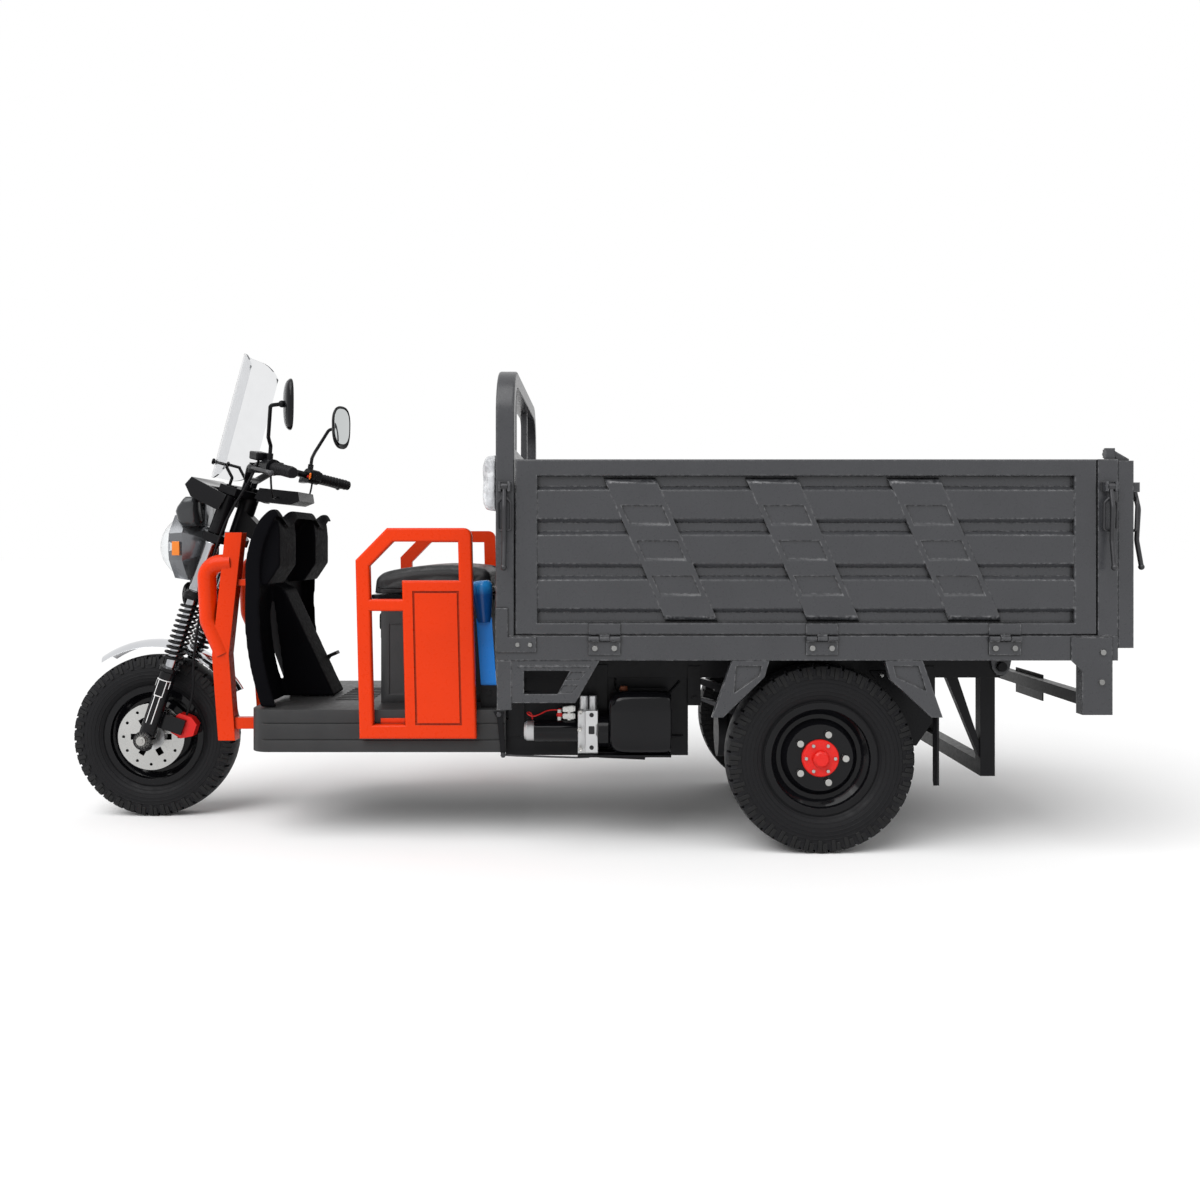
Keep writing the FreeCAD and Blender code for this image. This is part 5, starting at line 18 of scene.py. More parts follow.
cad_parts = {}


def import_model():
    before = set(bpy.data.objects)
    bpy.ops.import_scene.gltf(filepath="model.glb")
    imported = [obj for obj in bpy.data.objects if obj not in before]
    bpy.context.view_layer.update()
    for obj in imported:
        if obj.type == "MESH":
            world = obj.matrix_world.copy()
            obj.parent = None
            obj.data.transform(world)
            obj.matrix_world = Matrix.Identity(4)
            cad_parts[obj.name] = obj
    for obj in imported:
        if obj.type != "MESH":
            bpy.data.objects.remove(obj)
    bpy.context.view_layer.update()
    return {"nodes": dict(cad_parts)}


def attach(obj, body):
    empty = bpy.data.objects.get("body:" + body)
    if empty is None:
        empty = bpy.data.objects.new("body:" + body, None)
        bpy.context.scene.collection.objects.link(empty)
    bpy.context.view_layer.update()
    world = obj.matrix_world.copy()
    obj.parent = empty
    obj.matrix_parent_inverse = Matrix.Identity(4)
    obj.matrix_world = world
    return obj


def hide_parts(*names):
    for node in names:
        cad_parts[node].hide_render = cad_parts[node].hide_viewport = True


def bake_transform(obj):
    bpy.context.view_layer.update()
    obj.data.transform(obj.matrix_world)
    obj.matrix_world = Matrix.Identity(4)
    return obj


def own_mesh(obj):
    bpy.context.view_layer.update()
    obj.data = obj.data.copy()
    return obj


LOG = logging.getLogger("tricycle")
Colour = tuple[float, float, float]
Point = tuple[float, float, float]
Profile = Sequence[tuple[float, float]]
Test = Callable[[Vector, Vector], bool]
Socket = bpy.types.NodeSocket
X_AXIS, Y_AXIS, UP = (1.0, 0.0, 0.0), (0.0, 1.0, 0.0), (0.0, 0.0, 1.0)
SIDES = (("left", -1.0), ("right", 1.0))
FRONT_HUB: Point = (-1.405, 0.0, 0.270)
REAR_HUB: Point = (0.745, 0.440, 0.279)
FORK_LEAN: Point = (0.32227, 0.0, 0.94665)
FORK_SPREAD = 0.105
LAMP_CENTRE: Point = (-1.335, 0.0, 0.905)
# Reach of the occlusion test behind the painted shade that darkens crevices.
CREVICE_SHADE_REACH = 0.012


class Grain(Enum):
    """The relief that a moulded or sewn surface shows."""

    ORANGE_PEEL = "orange peel"
    FINE_TEXTURE = "fine texture"
    LEATHER = "leather"
    TREAD_PLATE = "tread plate"
    CRINKLE = "crinkle"


class Shader:
    """One material's nodes, added and linked in short calls."""

    def __init__(self, name: str) -> None:
        """Start a material with its principled shader.

        Args:
            name: The material's name.
        """
        self.material = bpy.data.materials.new(name)
        self.material.use_nodes = True
        self.tree = self.material.node_tree
        self.surface = self.tree.nodes["Principled BSDF"]
        self.place = self.add("ShaderNodeTexCoord").outputs["Object"]

    def add(self, kind: str, **values: object) -> bpy.types.Node:
        """Add a node.

        Args:
            kind: Blender's name of the node type.
            **values: Properties of the node to set.

        Returns:
            The new node.
        """
        node = self.tree.nodes.new(kind)
        for key, value in values.items():
            setattr(node, key, value)
        return node

    def feed(self, node: bpy.types.Node, **inputs: object) -> bpy.types.Node:
        """Set or link a node's inputs.

        Args:
            node: The node.
            **inputs: Values or sockets, by the input's name with underscores for spaces.

        Returns:
            The same node.
        """
        for key, value in inputs.items():
            self.put(node.inputs[key.replace("_", " ")], value)
        return node

    def put(self, socket: Socket, value: object) -> None:
        """Set or link one input.

        Args:
            socket: The input.
            value: A value, or a socket to link.
        """
        if isinstance(value, Socket):
            self.tree.links.new(value, socket)
        else:
            socket.default_value = value

    def noise(self, scale: float, detail: float = 3.0) -> Socket:
        """Add a noise texture in the object's own coordinates.

        Args:
            scale: Features per metre.
            detail: Octaves.

        Returns:
            The noise's value.
        """
        node = self.add("ShaderNodeTexNoise")
        return self.feed(node, Scale=scale, Detail=detail, Vector=self.place).outputs["Fac"]

    def ramp(self, value: Socket, low: float, high: float, start: float = 0.0, end: float = 1.0) -> Socket:
        """Map a value from one range to another and hold it there.

        Args:
            value: The value to map.
            low: Where the range starts.
            high: Where the range ends.
            start: The result at low.
            end: The result at high.

        Returns:
            The mapped value.
        """
        node = self.add("ShaderNodeMapRange")
        self.feed(node, Value=value, From_Min=low, From_Max=high, To_Min=start, To_Max=end)
        return node.outputs["Result"]

    def maths(self, operation: str, first: object, second: object = 0.0) -> Socket:
        """Add an arithmetic node.

        Args:
            operation: Blender's name of the operation.
            first: A value or socket.
            second: A value or socket.

        Returns:
            The result.
        """
        node = self.add("ShaderNodeMath", operation=operation)
        for socket, value in zip(node.inputs, (first, second)):
            self.put(socket, value)
        return node.outputs[0]

    def vector(self, operation: str, first: Socket, second: object) -> bpy.types.Node:
        """Add a vector arithmetic node.

        Args:
            operation: Blender's name of the operation.
            first: A socket.
            second: A vector or socket.

        Returns:
            The node.
        """
        node = self.add("ShaderNodeVectorMath", operation=operation)
        for socket, value in zip(node.inputs, (first, second)):
            self.put(socket, value)
        return node

    def blend(self, share: Socket, first: object, second: object) -> Socket:
        """Mix two colours.

        Args:
            share: How much of the second colour shows.
            first: A colour or socket.
            second: A colour or socket.

        Returns:
            The mixed colour.
        """
        node = self.add("ShaderNodeMix", data_type="RGBA")
        self.put(node.inputs[0], share)
        for index, value in ((6, first), (7, second)):
            self.put(node.inputs[index], value if isinstance(value, Socket) else (*value, 1.0))
        return node.outputs[2]

    def raise_by(self, height: Socket, strength: float, depth: float, over: Socket | None = None) -> Socket:
        """Add relief.

        Args:
            height: The relief's height.
            strength: Its share, from 0 to 1.
            depth: Its depth in metres.
            over: A normal that the relief adds to.

        Returns:
            The normal.
        """
        node = self.add("ShaderNodeBump")
        self.feed(node, Height=height, Strength=strength, Distance=depth)
        if over is not None:
            self.feed(node, Normal=over)
        return node.outputs["Normal"]

    def soft_edge(self, radius: float) -> tuple[Socket, Socket]:
        """Round the edges in the shading.

        Args:
            radius: The rounding in metres.

        Returns:
            The rounded normal, and a mask that is 1 on edges.
        """
        bevel = self.add("ShaderNodeBevel", samples=4)
        self.feed(bevel, Radius=radius)
        true = self.add("ShaderNodeNewGeometry").outputs["True Normal"]
        dot = self.vector("DOT_PRODUCT", bevel.outputs[0], true)
        return bevel.outputs[0], self.ramp(dot.outputs["Value"], 0.995, 0.86)

    def grain(self, kind: Grain, over: Socket | None, strength: float) -> Socket:
        """Add the relief of a named grain.

        Args:
            kind: Which grain.
            over: A normal that the relief adds to.
            strength: Its share, from 0 to 1.

        Returns:
            The normal.
        """
        if kind is Grain.ORANGE_PEEL:
            return self.raise_by(self.noise(420.0, 2.0), strength, 0.0006, over)
        if kind is Grain.FINE_TEXTURE:
            return self.raise_by(self.noise(1500.0, 2.0), strength, 0.0004, over)
        if kind is Grain.CRINKLE:
            folds = self.noise(34.0, 6.0)
            sharp = self.maths("ABSOLUTE", self.maths("SUBTRACT", folds, 0.5))
            return self.raise_by(sharp, strength, 0.02, over)
        if kind is Grain.LEATHER:
            cells = self.add("ShaderNodeTexVoronoi", feature="DISTANCE_TO_EDGE")
            self.feed(cells, Scale=420.0, Vector=self.place)
            creases = self.ramp(cells.outputs["Distance"], 0.0, 0.22)
            return self.raise_by(creases, strength, 0.0005, over)
        turned = self.add("ShaderNodeVectorRotate", rotation_type="Z_AXIS")
        self.feed(turned, Vector=self.place, Angle=math.radians(45))
        bars = []
        for squeeze in ((26.0, 64.0, 0.0), (64.0, 26.0, 0.0)):
            scaled = self.vector("MULTIPLY", turned.outputs[0], squeeze)
            cell = self.add("ShaderNodeTexVoronoi", feature="F1")
            self.feed(cell, Scale=1.0, Randomness=0.0, Vector=scaled.outputs[0])
            bars.append(self.ramp(cell.outputs["Distance"], 0.24, 0.36, 1.0, 0.0))
        return self.raise_by(self.maths("MAXIMUM", *bars), strength, 0.0022, over)


@dataclass(frozen=True)
class Finish:
    """A finish of one surface: its colour, gloss, grain, edge wear and painted edge highlights, and painted
    shade in its crevices.
    """

    name: str
    colour: Colour
    roughness: float = 0.4
    metal: float = 0.0
    coat: float = 0.0
    fleck: float = 0.12
    grain: Grain = Grain.ORANGE_PEEL
    relief: float = 0.08
    edge: float = 0.0016
    # Colour taken on along convex edges: worn paint on some finishes, a painted highlight where it is paler
    # than the finish.
    edge_wear_and_highlight: Colour | None = None
    dust: float = 0.0
    shine: float = 0.3
    dust_colour: Colour = (0.32, 0.29, 0.25)
    # Share of painted shade: the colour is darkened in crevices and recesses.
    crevice_shade: float = 0.0

    def build(self) -> bpy.types.Material:
        """Make the finish's material.

        Returns:
            The material.
        """
        shader = Shader(self.name)
        cloud = shader.noise(7.0, 5.0)
        fine = shader.noise(90.0, 4.0)
        darker = tuple(c * (1.0 - self.fleck) for c in self.colour)
        lighter = tuple(min(1.0, c * (1.0 + self.fleck)) for c in self.colour)
        colour = shader.blend(shader.ramp(cloud, 0.3, 0.7), darker, lighter)
        normal = None
        if self.edge > 0:
            normal, mask = shader.soft_edge(self.edge)
            # Convex edges blend towards the edge colour: edge wear, and a painted highlight where that colour
            # is paler.
            if self.edge_wear_and_highlight is not None:
                worn_or_lit_edges = shader.maths("MULTIPLY", mask, shader.ramp(fine, 0.45, 0.65, 0.0, 0.8))
                colour = shader.blend(worn_or_lit_edges, colour, self.edge_wear_and_highlight)
        if self.dust > 0:
            up = shader.add("ShaderNodeSeparateXYZ")
            shader.feed(up, Vector=shader.add("ShaderNodeNewGeometry").outputs["Normal"])
            lying = shader.ramp(up.outputs["Z"], 0.3, 1.0, 0.15, 1.0)
            patch = shader.maths("MULTIPLY", lying, shader.ramp(fine, 0.35, 0.75, 0.0, self.dust))
            colour = shader.blend(patch, colour, self.dust_colour)
        # Painted shade: the colour is darkened towards a dark copy of itself where ambient occlusion finds
        # crevices.
        if self.crevice_shade > 0:
            occlusion = shader.add("ShaderNodeAmbientOcclusion", samples=16)
            shader.feed(occlusion, Distance=CREVICE_SHADE_REACH)
            painted_shade = shader.ramp(occlusion.outputs["AO"], 0.45, 0.92, self.crevice_shade, 0.0)
            colour = shader.blend(painted_shade, colour, tuple(c * 0.15 for c in self.colour))
        spread = 0.18 * self.roughness
        rough = shader.ramp(fine, 0.3, 0.7, self.roughness - spread, self.roughness + spread)
        normal = shader.grain(self.grain, normal, self.relief)
        shine = 0.5 if self.metal > 0.5 else self.shine
        shader.feed(shader.surface, Base_Color=colour, Roughness=rough, Normal=normal, Metallic=self.metal,
                    Specular_IOR_Level=shine, Coat_Weight=self.coat, Coat_Roughness=0.08)
        return shader.material


@dataclass(frozen=True)
class Tread:
    """Tyre rubber with moulded rings on the side walls and a paler tread."""

    name: str
    centre: Point
    radius: float
    colour: Colour = (0.007, 0.007, 0.008)

    def build(self) -> bpy.types.Material:
        """Make the finish's material.

        Returns:
            The material.
        """
        shader = Shader(self.name)
        moved = shader.vector("SUBTRACT", shader.place, self.centre)
        parts = shader.add("ShaderNodeSeparateXYZ")
        shader.feed(parts, Vector=moved.outputs[0])
        squares = [shader.maths("POWER", parts.outputs[axis], 2.0) for axis in ("X", "Z")]
        run = shader.maths("DIVIDE", shader.maths("SQRT", shader.maths("ADD", *squares)), self.radius)
        turn = shader.maths("ARCTAN2", parts.outputs["Z"], parts.outputs["X"])
        wall = shader.maths("MULTIPLY", shader.ramp(run, 0.62, 0.66), shader.ramp(run, 0.88, 0.92, 1.0, 0.0))
        rings = shader.ramp(shader.maths("SINE", shader.maths("MULTIPLY", run, 150.0)), 0.55, 0.95)
        ribs = shader.ramp(shader.maths("SINE", shader.maths("MULTIPLY", turn, 130.0)), 0.2, 0.8)
        band = shader.maths("MULTIPLY", shader.ramp(run, 0.895, 0.905),
                            shader.ramp(run, 0.955, 0.965, 1.0, 0.0))
        moulded = [shader.maths("MULTIPLY", *pair) for pair in ((wall, rings), (band, ribs))]
        height = shader.maths("ADD", *moulded)
        normal = shader.raise_by(height, 0.7, 0.0016)
        normal = shader.raise_by(shader.noise(900.0, 2.0), 0.2, 0.0005, normal)
        grey = tuple(c * 1.9 for c in self.colour)
        colour = shader.blend(shader.ramp(run, 0.86, 0.97), self.colour, grey)
        rough = shader.ramp(shader.noise(60.0, 4.0), 0.3, 0.7, 0.46, 0.62)
        shader.feed(shader.surface, Base_Color=colour, Roughness=rough, Normal=normal,
                    Specular_IOR_Level=0.16)
        return shader.material


@dataclass(frozen=True)
class Clear:
    """A see-through finish of glass or moulded sheet."""

    name: str
    colour: Colour
    roughness: float = 0.02
    index: float = 1.2
    smear: float = 0.02

    def build(self) -> bpy.types.Material:
        """Make the finish's material.

        Returns:
            The material.
        """
        shader = Shader(self.name)
        haze = shader.noise(24.0, 5.0)
        rough = shader.ramp(haze, 0.45, 0.8, self.roughness, self.roughness + self.smear)
        shade = shader.blend(shader.ramp(haze, 0.2, 0.8), self.colour, tuple(c * 0.96 for c in self.colour))
        shader.feed(shader.surface, Base_Color=shade, Roughness=rough, Transmission_Weight=1.0,
                    IOR=self.index)
        return shader.material


@dataclass(frozen=True)
class Wrap:
    """Thin packing film over a dark pad: milky, creased and glossy, with a painted sheen along its folds."""

    name: str
    colour: Colour
    under: Colour

    def build(self) -> bpy.types.Material:
        """Make the finish's material.

        Returns:
            The material.
        """
        shader = Shader(self.name)
        folds = shader.noise(26.0, 7.0)
        streak = shader.maths("ABSOLUTE", shader.maths("SUBTRACT", folds, 0.5))
        # Painted sheen: a pale colour is blended in along the film's folds.
        shine = shader.ramp(streak, 0.0, 0.09, 1.0, 0.0)
        shade = shader.blend(shader.ramp(shader.noise(11.0), 0.35, 0.65), self.under, self.colour)
        colour = shader.blend(shader.maths("MULTIPLY", shine, 0.55), shade, (0.85, 0.86, 0.88))
        normal = shader.grain(Grain.CRINKLE, None, 0.6)
        rough = shader.ramp(folds, 0.3, 0.7, 0.08, 0.24)
        shader.feed(shader.surface, Base_Color=colour, Roughness=rough, Normal=normal, Coat_Weight=0.6,
                    Coat_Roughness=0.06)
        return shader.material


AnyFinish = Finish | Tread | Clear | Wrap
BARE = (0.30, 0.30, 0.30)
# Box grey: painted shade darkens its recesses, and its pale edge colour is a painted highlight on convex
# edges.
BOX_GREY = Finish("box_grey_powder_coat", (0.040, 0.041, 0.045), 0.30, fleck=0.06, relief=0.05, edge=0.006,
                  shine=0.4, edge_wear_and_highlight=(0.26, 0.26, 0.27), dust=0.02, crevice_shade=0.95)
BED_GREY = Finish("bed_tread_plate", (0.060, 0.062, 0.066), 0.42, fleck=0.16, grain=Grain.TREAD_PLATE,
                  relief=0.9, edge_wear_and_highlight=BARE, dust=0.10)
FRAME_BLACK = Finish("frame_black_enamel", (0.005, 0.005, 0.006), 0.34, fleck=0.2, shine=0.14,
                     edge_wear_and_highlight=(0.05, 0.05, 0.05), dust=0.01)
# Guard orange: painted shade darkens its recesses.
GUARD_ORANGE = Finish("guard_orange_enamel", (0.70, 0.036, 0.001), 0.3, coat=0.05, fleck=0.03, shine=0.14,
                      relief=0.05, edge=0.003, edge_wear_and_highlight=(0.78, 0.12, 0.03), crevice_shade=0.75)
# Lug rubber: its pale edge colour is a painted highlight along the blocks' edges.
LUG_RUBBER = Finish("lug_rubber", (0.012, 0.012, 0.0125), 0.55, fleck=0.2, grain=Grain.FINE_TEXTURE,
                    relief=0.1, edge=0.002, shine=0.16, edge_wear_and_highlight=(0.085, 0.083, 0.078))
WHEEL_BLACK = Finish("wheel_black_enamel", (0.004, 0.004, 0.005), 0.09, coat=0.06, fleck=0.2, shine=0.16,
                     edge_wear_and_highlight=(0.05, 0.05, 0.05))
HUB_RED = Finish("hub_red_enamel", (0.68, 0.014, 0.010), 0.28, coat=0.12, fleck=0.06, shine=0.2)
CALIPER_RED = Finish("caliper_red_enamel", (0.60, 0.012, 0.010), 0.32, coat=0.1, fleck=0.06, shine=0.2)
LEVER_BLUE = Finish("lever_blue_moulding", (0.003, 0.215, 0.740), 0.32, fleck=0.05, coat=0.1, shine=0.25)
LEVER_DARK = Finish("lever_dark_blue", (0.003, 0.075, 0.300), 0.32, fleck=0.06, coat=0.2)
LEVER_PALE = Finish("lever_pale_blue", (0.020, 0.290, 0.760), 0.26, fleck=0.05, coat=0.3)
CAP_BROWN = Finish("cap_brown_moulding", (0.16, 0.050, 0.022), 0.45, fleck=0.1)
FORK_CHROME = Finish("fork_chrome", (0.40, 0.41, 0.43), 0.16, metal=1.0, fleck=0.10)
CHROME = Finish("bright_chrome", (0.64, 0.65, 0.67), 0.10, metal=1.0, fleck=0.03, relief=0.015)
DISC_STEEL = Finish("ground_disc_steel", (0.44, 0.44, 0.43), 0.26, metal=1.0, fleck=0.1,
                    grain=Grain.FINE_TEXTURE)
ZINC = Finish("zinc_plate", (0.40, 0.395, 0.38), 0.22, metal=1.0, fleck=0.14, grain=Grain.FINE_TEXTURE)
BOLT_STEEL = Finish("bolt_steel", (0.26, 0.26, 0.255), 0.28, metal=1.0, fleck=0.16,
                    grain=Grain.FINE_TEXTURE)
DARK_STEEL = Finish("dark_steel", (0.045, 0.045, 0.048), 0.34, metal=0.7, fleck=0.25,
                    grain=Grain.FINE_TEXTURE)
CAST_ALLOY = Finish("cast_alloy", (0.50, 0.505, 0.51), 0.38, metal=0.9, fleck=0.12,
                    grain=Grain.FINE_TEXTURE, relief=0.3)
CAST_GREY = Finish("cast_iron_grey", (0.018, 0.018, 0.020), 0.5, fleck=0.3, grain=Grain.FINE_TEXTURE,
                   relief=0.4, shine=0.2, dust=0.04)
MOULDING = Finish("black_moulding", (0.005, 0.005, 0.006), 0.30, fleck=0.15, grain=Grain.FINE_TEXTURE,
                  relief=0.14, shine=0.13)
SHIELD_MOULDING = Finish("shield_moulding", (0.004, 0.004, 0.005), 0.55, fleck=0.15,
                         grain=Grain.FINE_TEXTURE, relief=0.12, edge=0.0, shine=0.012)
GLOSS_MOULDING = Finish("gloss_black_moulding", (0.004, 0.004, 0.005), 0.14, fleck=0.15, coat=0.08,
                        relief=0.04, shine=0.16)
DECK_MOULDING = Finish("deck_moulding", (0.032, 0.032, 0.033), 0.42, fleck=0.15, grain=Grain.FINE_TEXTURE,
                       relief=0.25, shine=0.22, dust=0.03)
LAMP_GREY = Finish("lamp_grey_moulding", (0.15, 0.155, 0.165), 0.2, metal=0.75, fleck=0.05, coat=0.3,
                   relief=0.03)
LAMP_DARK = Finish("lamp_dark_moulding", (0.035, 0.037, 0.040), 0.2, metal=0.3, fleck=0.06, coat=0.3,
                   relief=0.04)
CASE_GREY = Finish("battery_case_grey", (0.055, 0.056, 0.058), 0.45, fleck=0.1, grain=Grain.FINE_TEXTURE,
                   relief=0.3)
SOFT_RUBBER = Finish("soft_rubber", (0.006, 0.006, 0.007), 0.5, fleck=0.2, grain=Grain.FINE_TEXTURE,
                     relief=0.3, edge=0.0, shine=0.15)
SEAT_COVER = Finish("seat_leathercloth", (0.009, 0.009, 0.010), 0.36, fleck=0.25, grain=Grain.LEATHER,
                    relief=0.5, edge=0.0)
WHITE_MOULDING = Finish("white_moulding", (0.72, 0.72, 0.70), 0.4, fleck=0.05)
WHITE_STRIPE = Finish("white_stripe_paint", (0.80, 0.80, 0.80), 0.35, fleck=0.04, edge=0.0)
RED_WIRE = Finish("red_wire", (0.55, 0.010, 0.010), 0.4, fleck=0.08, edge=0.0)
BUTTON_ORANGE = Finish("button_orange", (0.80, 0.16, 0.01), 0.35, fleck=0.05)
BUTTON_RED = Finish("button_red", (0.55, 0.01, 0.01), 0.35, fleck=0.05)
PANEL_GLASS = Finish("panel_glass", (0.004, 0.005, 0.007), 0.04, fleck=0.1, coat=0.6, relief=0.0, edge=0.0,
                     shine=0.5)
PANEL_FACE = Finish("panel_face", (0.055, 0.075, 0.070), 0.2, fleck=0.05, relief=0.0, edge=0.0)
AMBER = Finish("amber_lens", (0.75, 0.20, 0.01), 0.12, fleck=0.06, coat=0.6)
TAIL_RED = Finish("tail_red_lens", (0.45, 0.006, 0.006), 0.12, fleck=0.08, coat=0.6)
MIRROR_GLASS = Finish("mirror_glass", (0.56, 0.58, 0.58), 0.015, metal=1.0, fleck=0.01, relief=0.0,
                      edge=0.0)
SCREEN_CLEAR = Clear("screen_clear", (0.84, 0.845, 0.855), 0.004, 1.05, 0.002)
# Painted shade: an opaque dark colour on the clear sheet's cut edges, where the sheet looks dark.
SCREEN_EDGE_SHADE = Finish("screen_edge_shade", (0.10, 0.105, 0.11), 0.25, fleck=0.2, edge=0.0)
LENS_CLEAR = Clear("lens_clear", (0.95, 0.97, 0.98), 0.01, 1.3, 0.01)
PAD_WRAP = Wrap("pad_film", (0.50, 0.51, 0.53), (0.27, 0.275, 0.285))


class Paintshop:
    """Keeps one material for each finish and puts it on nodes and pieces."""

    def __init__(self, nodes: dict[str, bpy.types.Object]) -> None:
        """Start with no materials.

        Args:
            nodes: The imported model's objects by name.
        """
        self.nodes = nodes
        self.made: dict[str, bpy.types.Material] = {}

    def material(self, finish: AnyFinish) -> bpy.types.Material:
        """Return the one material of a finish, made when first asked for.

        Args:
            finish: The finish.

        Returns:
            Its material.
        """
        if finish.name not in self.made:
            self.made[finish.name] = finish.build()
        return self.made[finish.name]

    def node(self, name: str, main: AnyFinish, *regions: tuple[AnyFinish, Test]) -> None:
        """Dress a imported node, with other finishes where a test picks its faces.

        Args:
            name: The node.
            main: The finish of the faces that no test picks.
            *regions: Finishes, each with a test of a face's centre and normal.
        """
        mesh = self.nodes[name].data
        mesh.materials.clear()
        for finish in (main, *(finish for finish, _ in regions)):
            mesh.materials.append(self.material(finish))
        for face in mesh.polygons:
            spot = (face.center.copy(), face.normal.copy())
            face.material_index = next((i for i, (_, test) in enumerate(regions, 1) if test(*spot)), 0)


def from_axis(spot: Vector, through: Point, along: Point) -> tuple[float, float]:
    """Measure a point against an axis.

    Args:
        spot: The point.
        through: A point of the axis.
        along: The axis's direction, of unit length.

    Returns:
        The distance from the axis, and the distance along it.
    """
    offset = spot - Vector(through)
    run = offset.dot(Vector(along))
    return (offset - Vector(along) * run).length, run


class Piece:
    """Builds the scene's own meshes."""

    @staticmethod
    def mesh(name: str, points: Sequence[Sequence[float]], faces: Sequence[Sequence[int]],
             smooth: bool = True) -> bpy.types.Object:
        """Make an object from points and faces.

        Args:
            name: The object's name.
            points: Places in metres.
            faces: Corner numbers of each face.
            smooth: Whether the faces are shaded smooth.

        Returns:
            The object, linked to the scene.
        """
        data = bpy.data.meshes.new(name)
        data.from_pydata([tuple(p) for p in points], [], [tuple(f) for f in faces])
        data.update()
        return Piece.link(name, data, smooth)

    @staticmethod
    def link(name: str, data: bpy.types.ID, smooth: bool | None = None) -> bpy.types.Object:
        """Make an object of a mesh or curve and link it to the scene.

        Args:
            name: The object's name.
            data: The mesh or curve, which gets the same name.
            smooth: Whether a mesh's faces are shaded smooth, or None to leave them.

        Returns:
            The object.
        """
        data.name = name
        if smooth is not None:
            data.polygons.foreach_set("use_smooth", [smooth] * len(data.polygons))
        item = bpy.data.objects.new(name, data)
        bpy.context.scene.collection.objects.link(item)
        return item

    @staticmethod
    def now(item: bpy.types.Object) -> bpy.types.Mesh:
        """Return what an object looks like with its modifiers.

        Args:
            item: The object.

        Returns:
            A new mesh.
        """
        bpy.context.view_layer.update()
        return bpy.data.meshes.new_from_object(item.evaluated_get(bpy.context.evaluated_depsgraph_get()))

    @staticmethod
    def lathe(name: str, profile: Profile, at: Point, along: Point, steps: int = 48) -> bpy.types.Object:
        """Turn a profile about an axis.

        Args:
            name: The object's name.
            profile: Pairs of distance along the axis and radius.
            at: The axis's start.
            along: The axis's direction.
            steps: Corners in a turn.

        Returns:
            The object.
        """
        turn = Vector(UP).rotation_difference(Vector(along).normalized()).to_matrix().to_4x4()
        place = Matrix.Translation(Vector(at)) @ turn
        angles = [math.tau * k / steps for k in range(steps)]
        return Piece.loft(name, [[place @ Vector((radius * math.cos(a), radius * math.sin(a), run))
                                  for a in angles] for run, radius in profile])

    @staticmethod
    def loft(name: str, rings: Sequence[Sequence[Vector]], smooth: bool = True) -> bpy.types.Object:
        """Join rings of equal count into a closed form.

        Args:
            name: The object's name.
            rings: The rings, each a closed row of points.
            smooth: Whether the faces are shaded smooth.

        Returns:
            The object.
        """
        count = len(rings[0])
        points = [spot for ring in rings for spot in ring]
        faces = []
        for i in range(len(rings) - 1):
            for k in range(count):
                n = (k + 1) % count
                faces.append((i * count + k, i * count + n, (i + 1) * count + n, (i + 1) * count + k))
        item = Piece.mesh(name, points, faces, smooth)
        Piece.weld(item)
        return item

    @staticmethod
    def bar(name: str, spots: Sequence[Point], radius: float, steps: int = 16) -> bpy.types.Object:
        """Make a round bar through spots, with mitred corners and closed ends.

        Args:
            name: The object's name.
            spots: The places its middle line passes.
            radius: Its radius.
            steps: Corners of its section.

        Returns:
            The object.
        """
        line = [Vector(s) for s in spots]
        runs = [(b - a).normalized() for a, b in zip(line, line[1:])]
        aims = [runs[0]] + [(a + b).normalized() for a, b in zip(runs, runs[1:])] + [runs[-1]]
        side = runs[0].orthogonal().normalized()
        rings = []
        for spot, aim in zip(line, aims):
            side = (side - aim * side.dot(aim)).normalized()
            other = aim.cross(side)
            rings.append([spot + (side * math.cos(a) + other * math.sin(a)) * radius
                          for a in (math.tau * k / steps for k in range(steps))])
        return Piece.loft(name, rings)

    @staticmethod
    def plate(name: str, outline: Profile, at: Point, right: Point, up: Point, thick: float,
              edge: float) -> bpy.types.Object:
        """Make a flat plate with rounded edges.

        Args:
            name: The object's name.
            outline: Its corners in the plate's own plane.
            at: The plane's origin.
            right: The plane's first direction.
            up: The plane's second direction.
            thick: Its thickness, along right x up.
            edge: The radius of its edges.

        Returns:
            The object.
        """
        along, across = Vector(right).normalized(), Vector(up).normalized()
        out = along.cross(across)
        flat = [Vector(at) + along * u + across * v for u, v in outline]
        item = Piece.loft(name, [flat, [p + out * thick for p in flat]], False)
        return Piece.crease(item, edge, 3)

    @staticmethod
    def weld(item: bpy.types.Object, close: bool = True) -> None:
        """Merge doubled points, close open rims and face the surface outwards.

        Args:
            item: The object.
            close: Whether open rims get a face.
        """
        made = bmesh.new()
        made.from_mesh(item.data)
        bmesh.ops.remove_doubles(made, verts=made.verts, dist=1e-6)
        if close:
            rims = [e for e in made.edges if e.is_boundary]
            if rims:
                bmesh.ops.holes_fill(made, edges=rims, sides=0)
        bmesh.ops.recalc_face_normals(made, faces=made.faces)
        made.to_mesh(item.data)
        made.free()

    @staticmethod
    def crease(item: bpy.types.Object, width: float, segments: int = 2,
               angle: float = 35.0) -> bpy.types.Object:
        """Round an object's sharp edges with a bevel.

        Args:
            item: The object.
            width: The bevel's width in metres.
            segments: Its steps.
            angle: The least angle of an edge that is rounded, in degrees.

        Returns:
            The same object.
        """
        bevel = item.modifiers.new("edge", "BEVEL")
        bevel.width = width
        bevel.segments = segments
        bevel.limit_method = "ANGLE"
        bevel.angle_limit = math.radians(angle)
        bevel.harden_normals = True
        return item


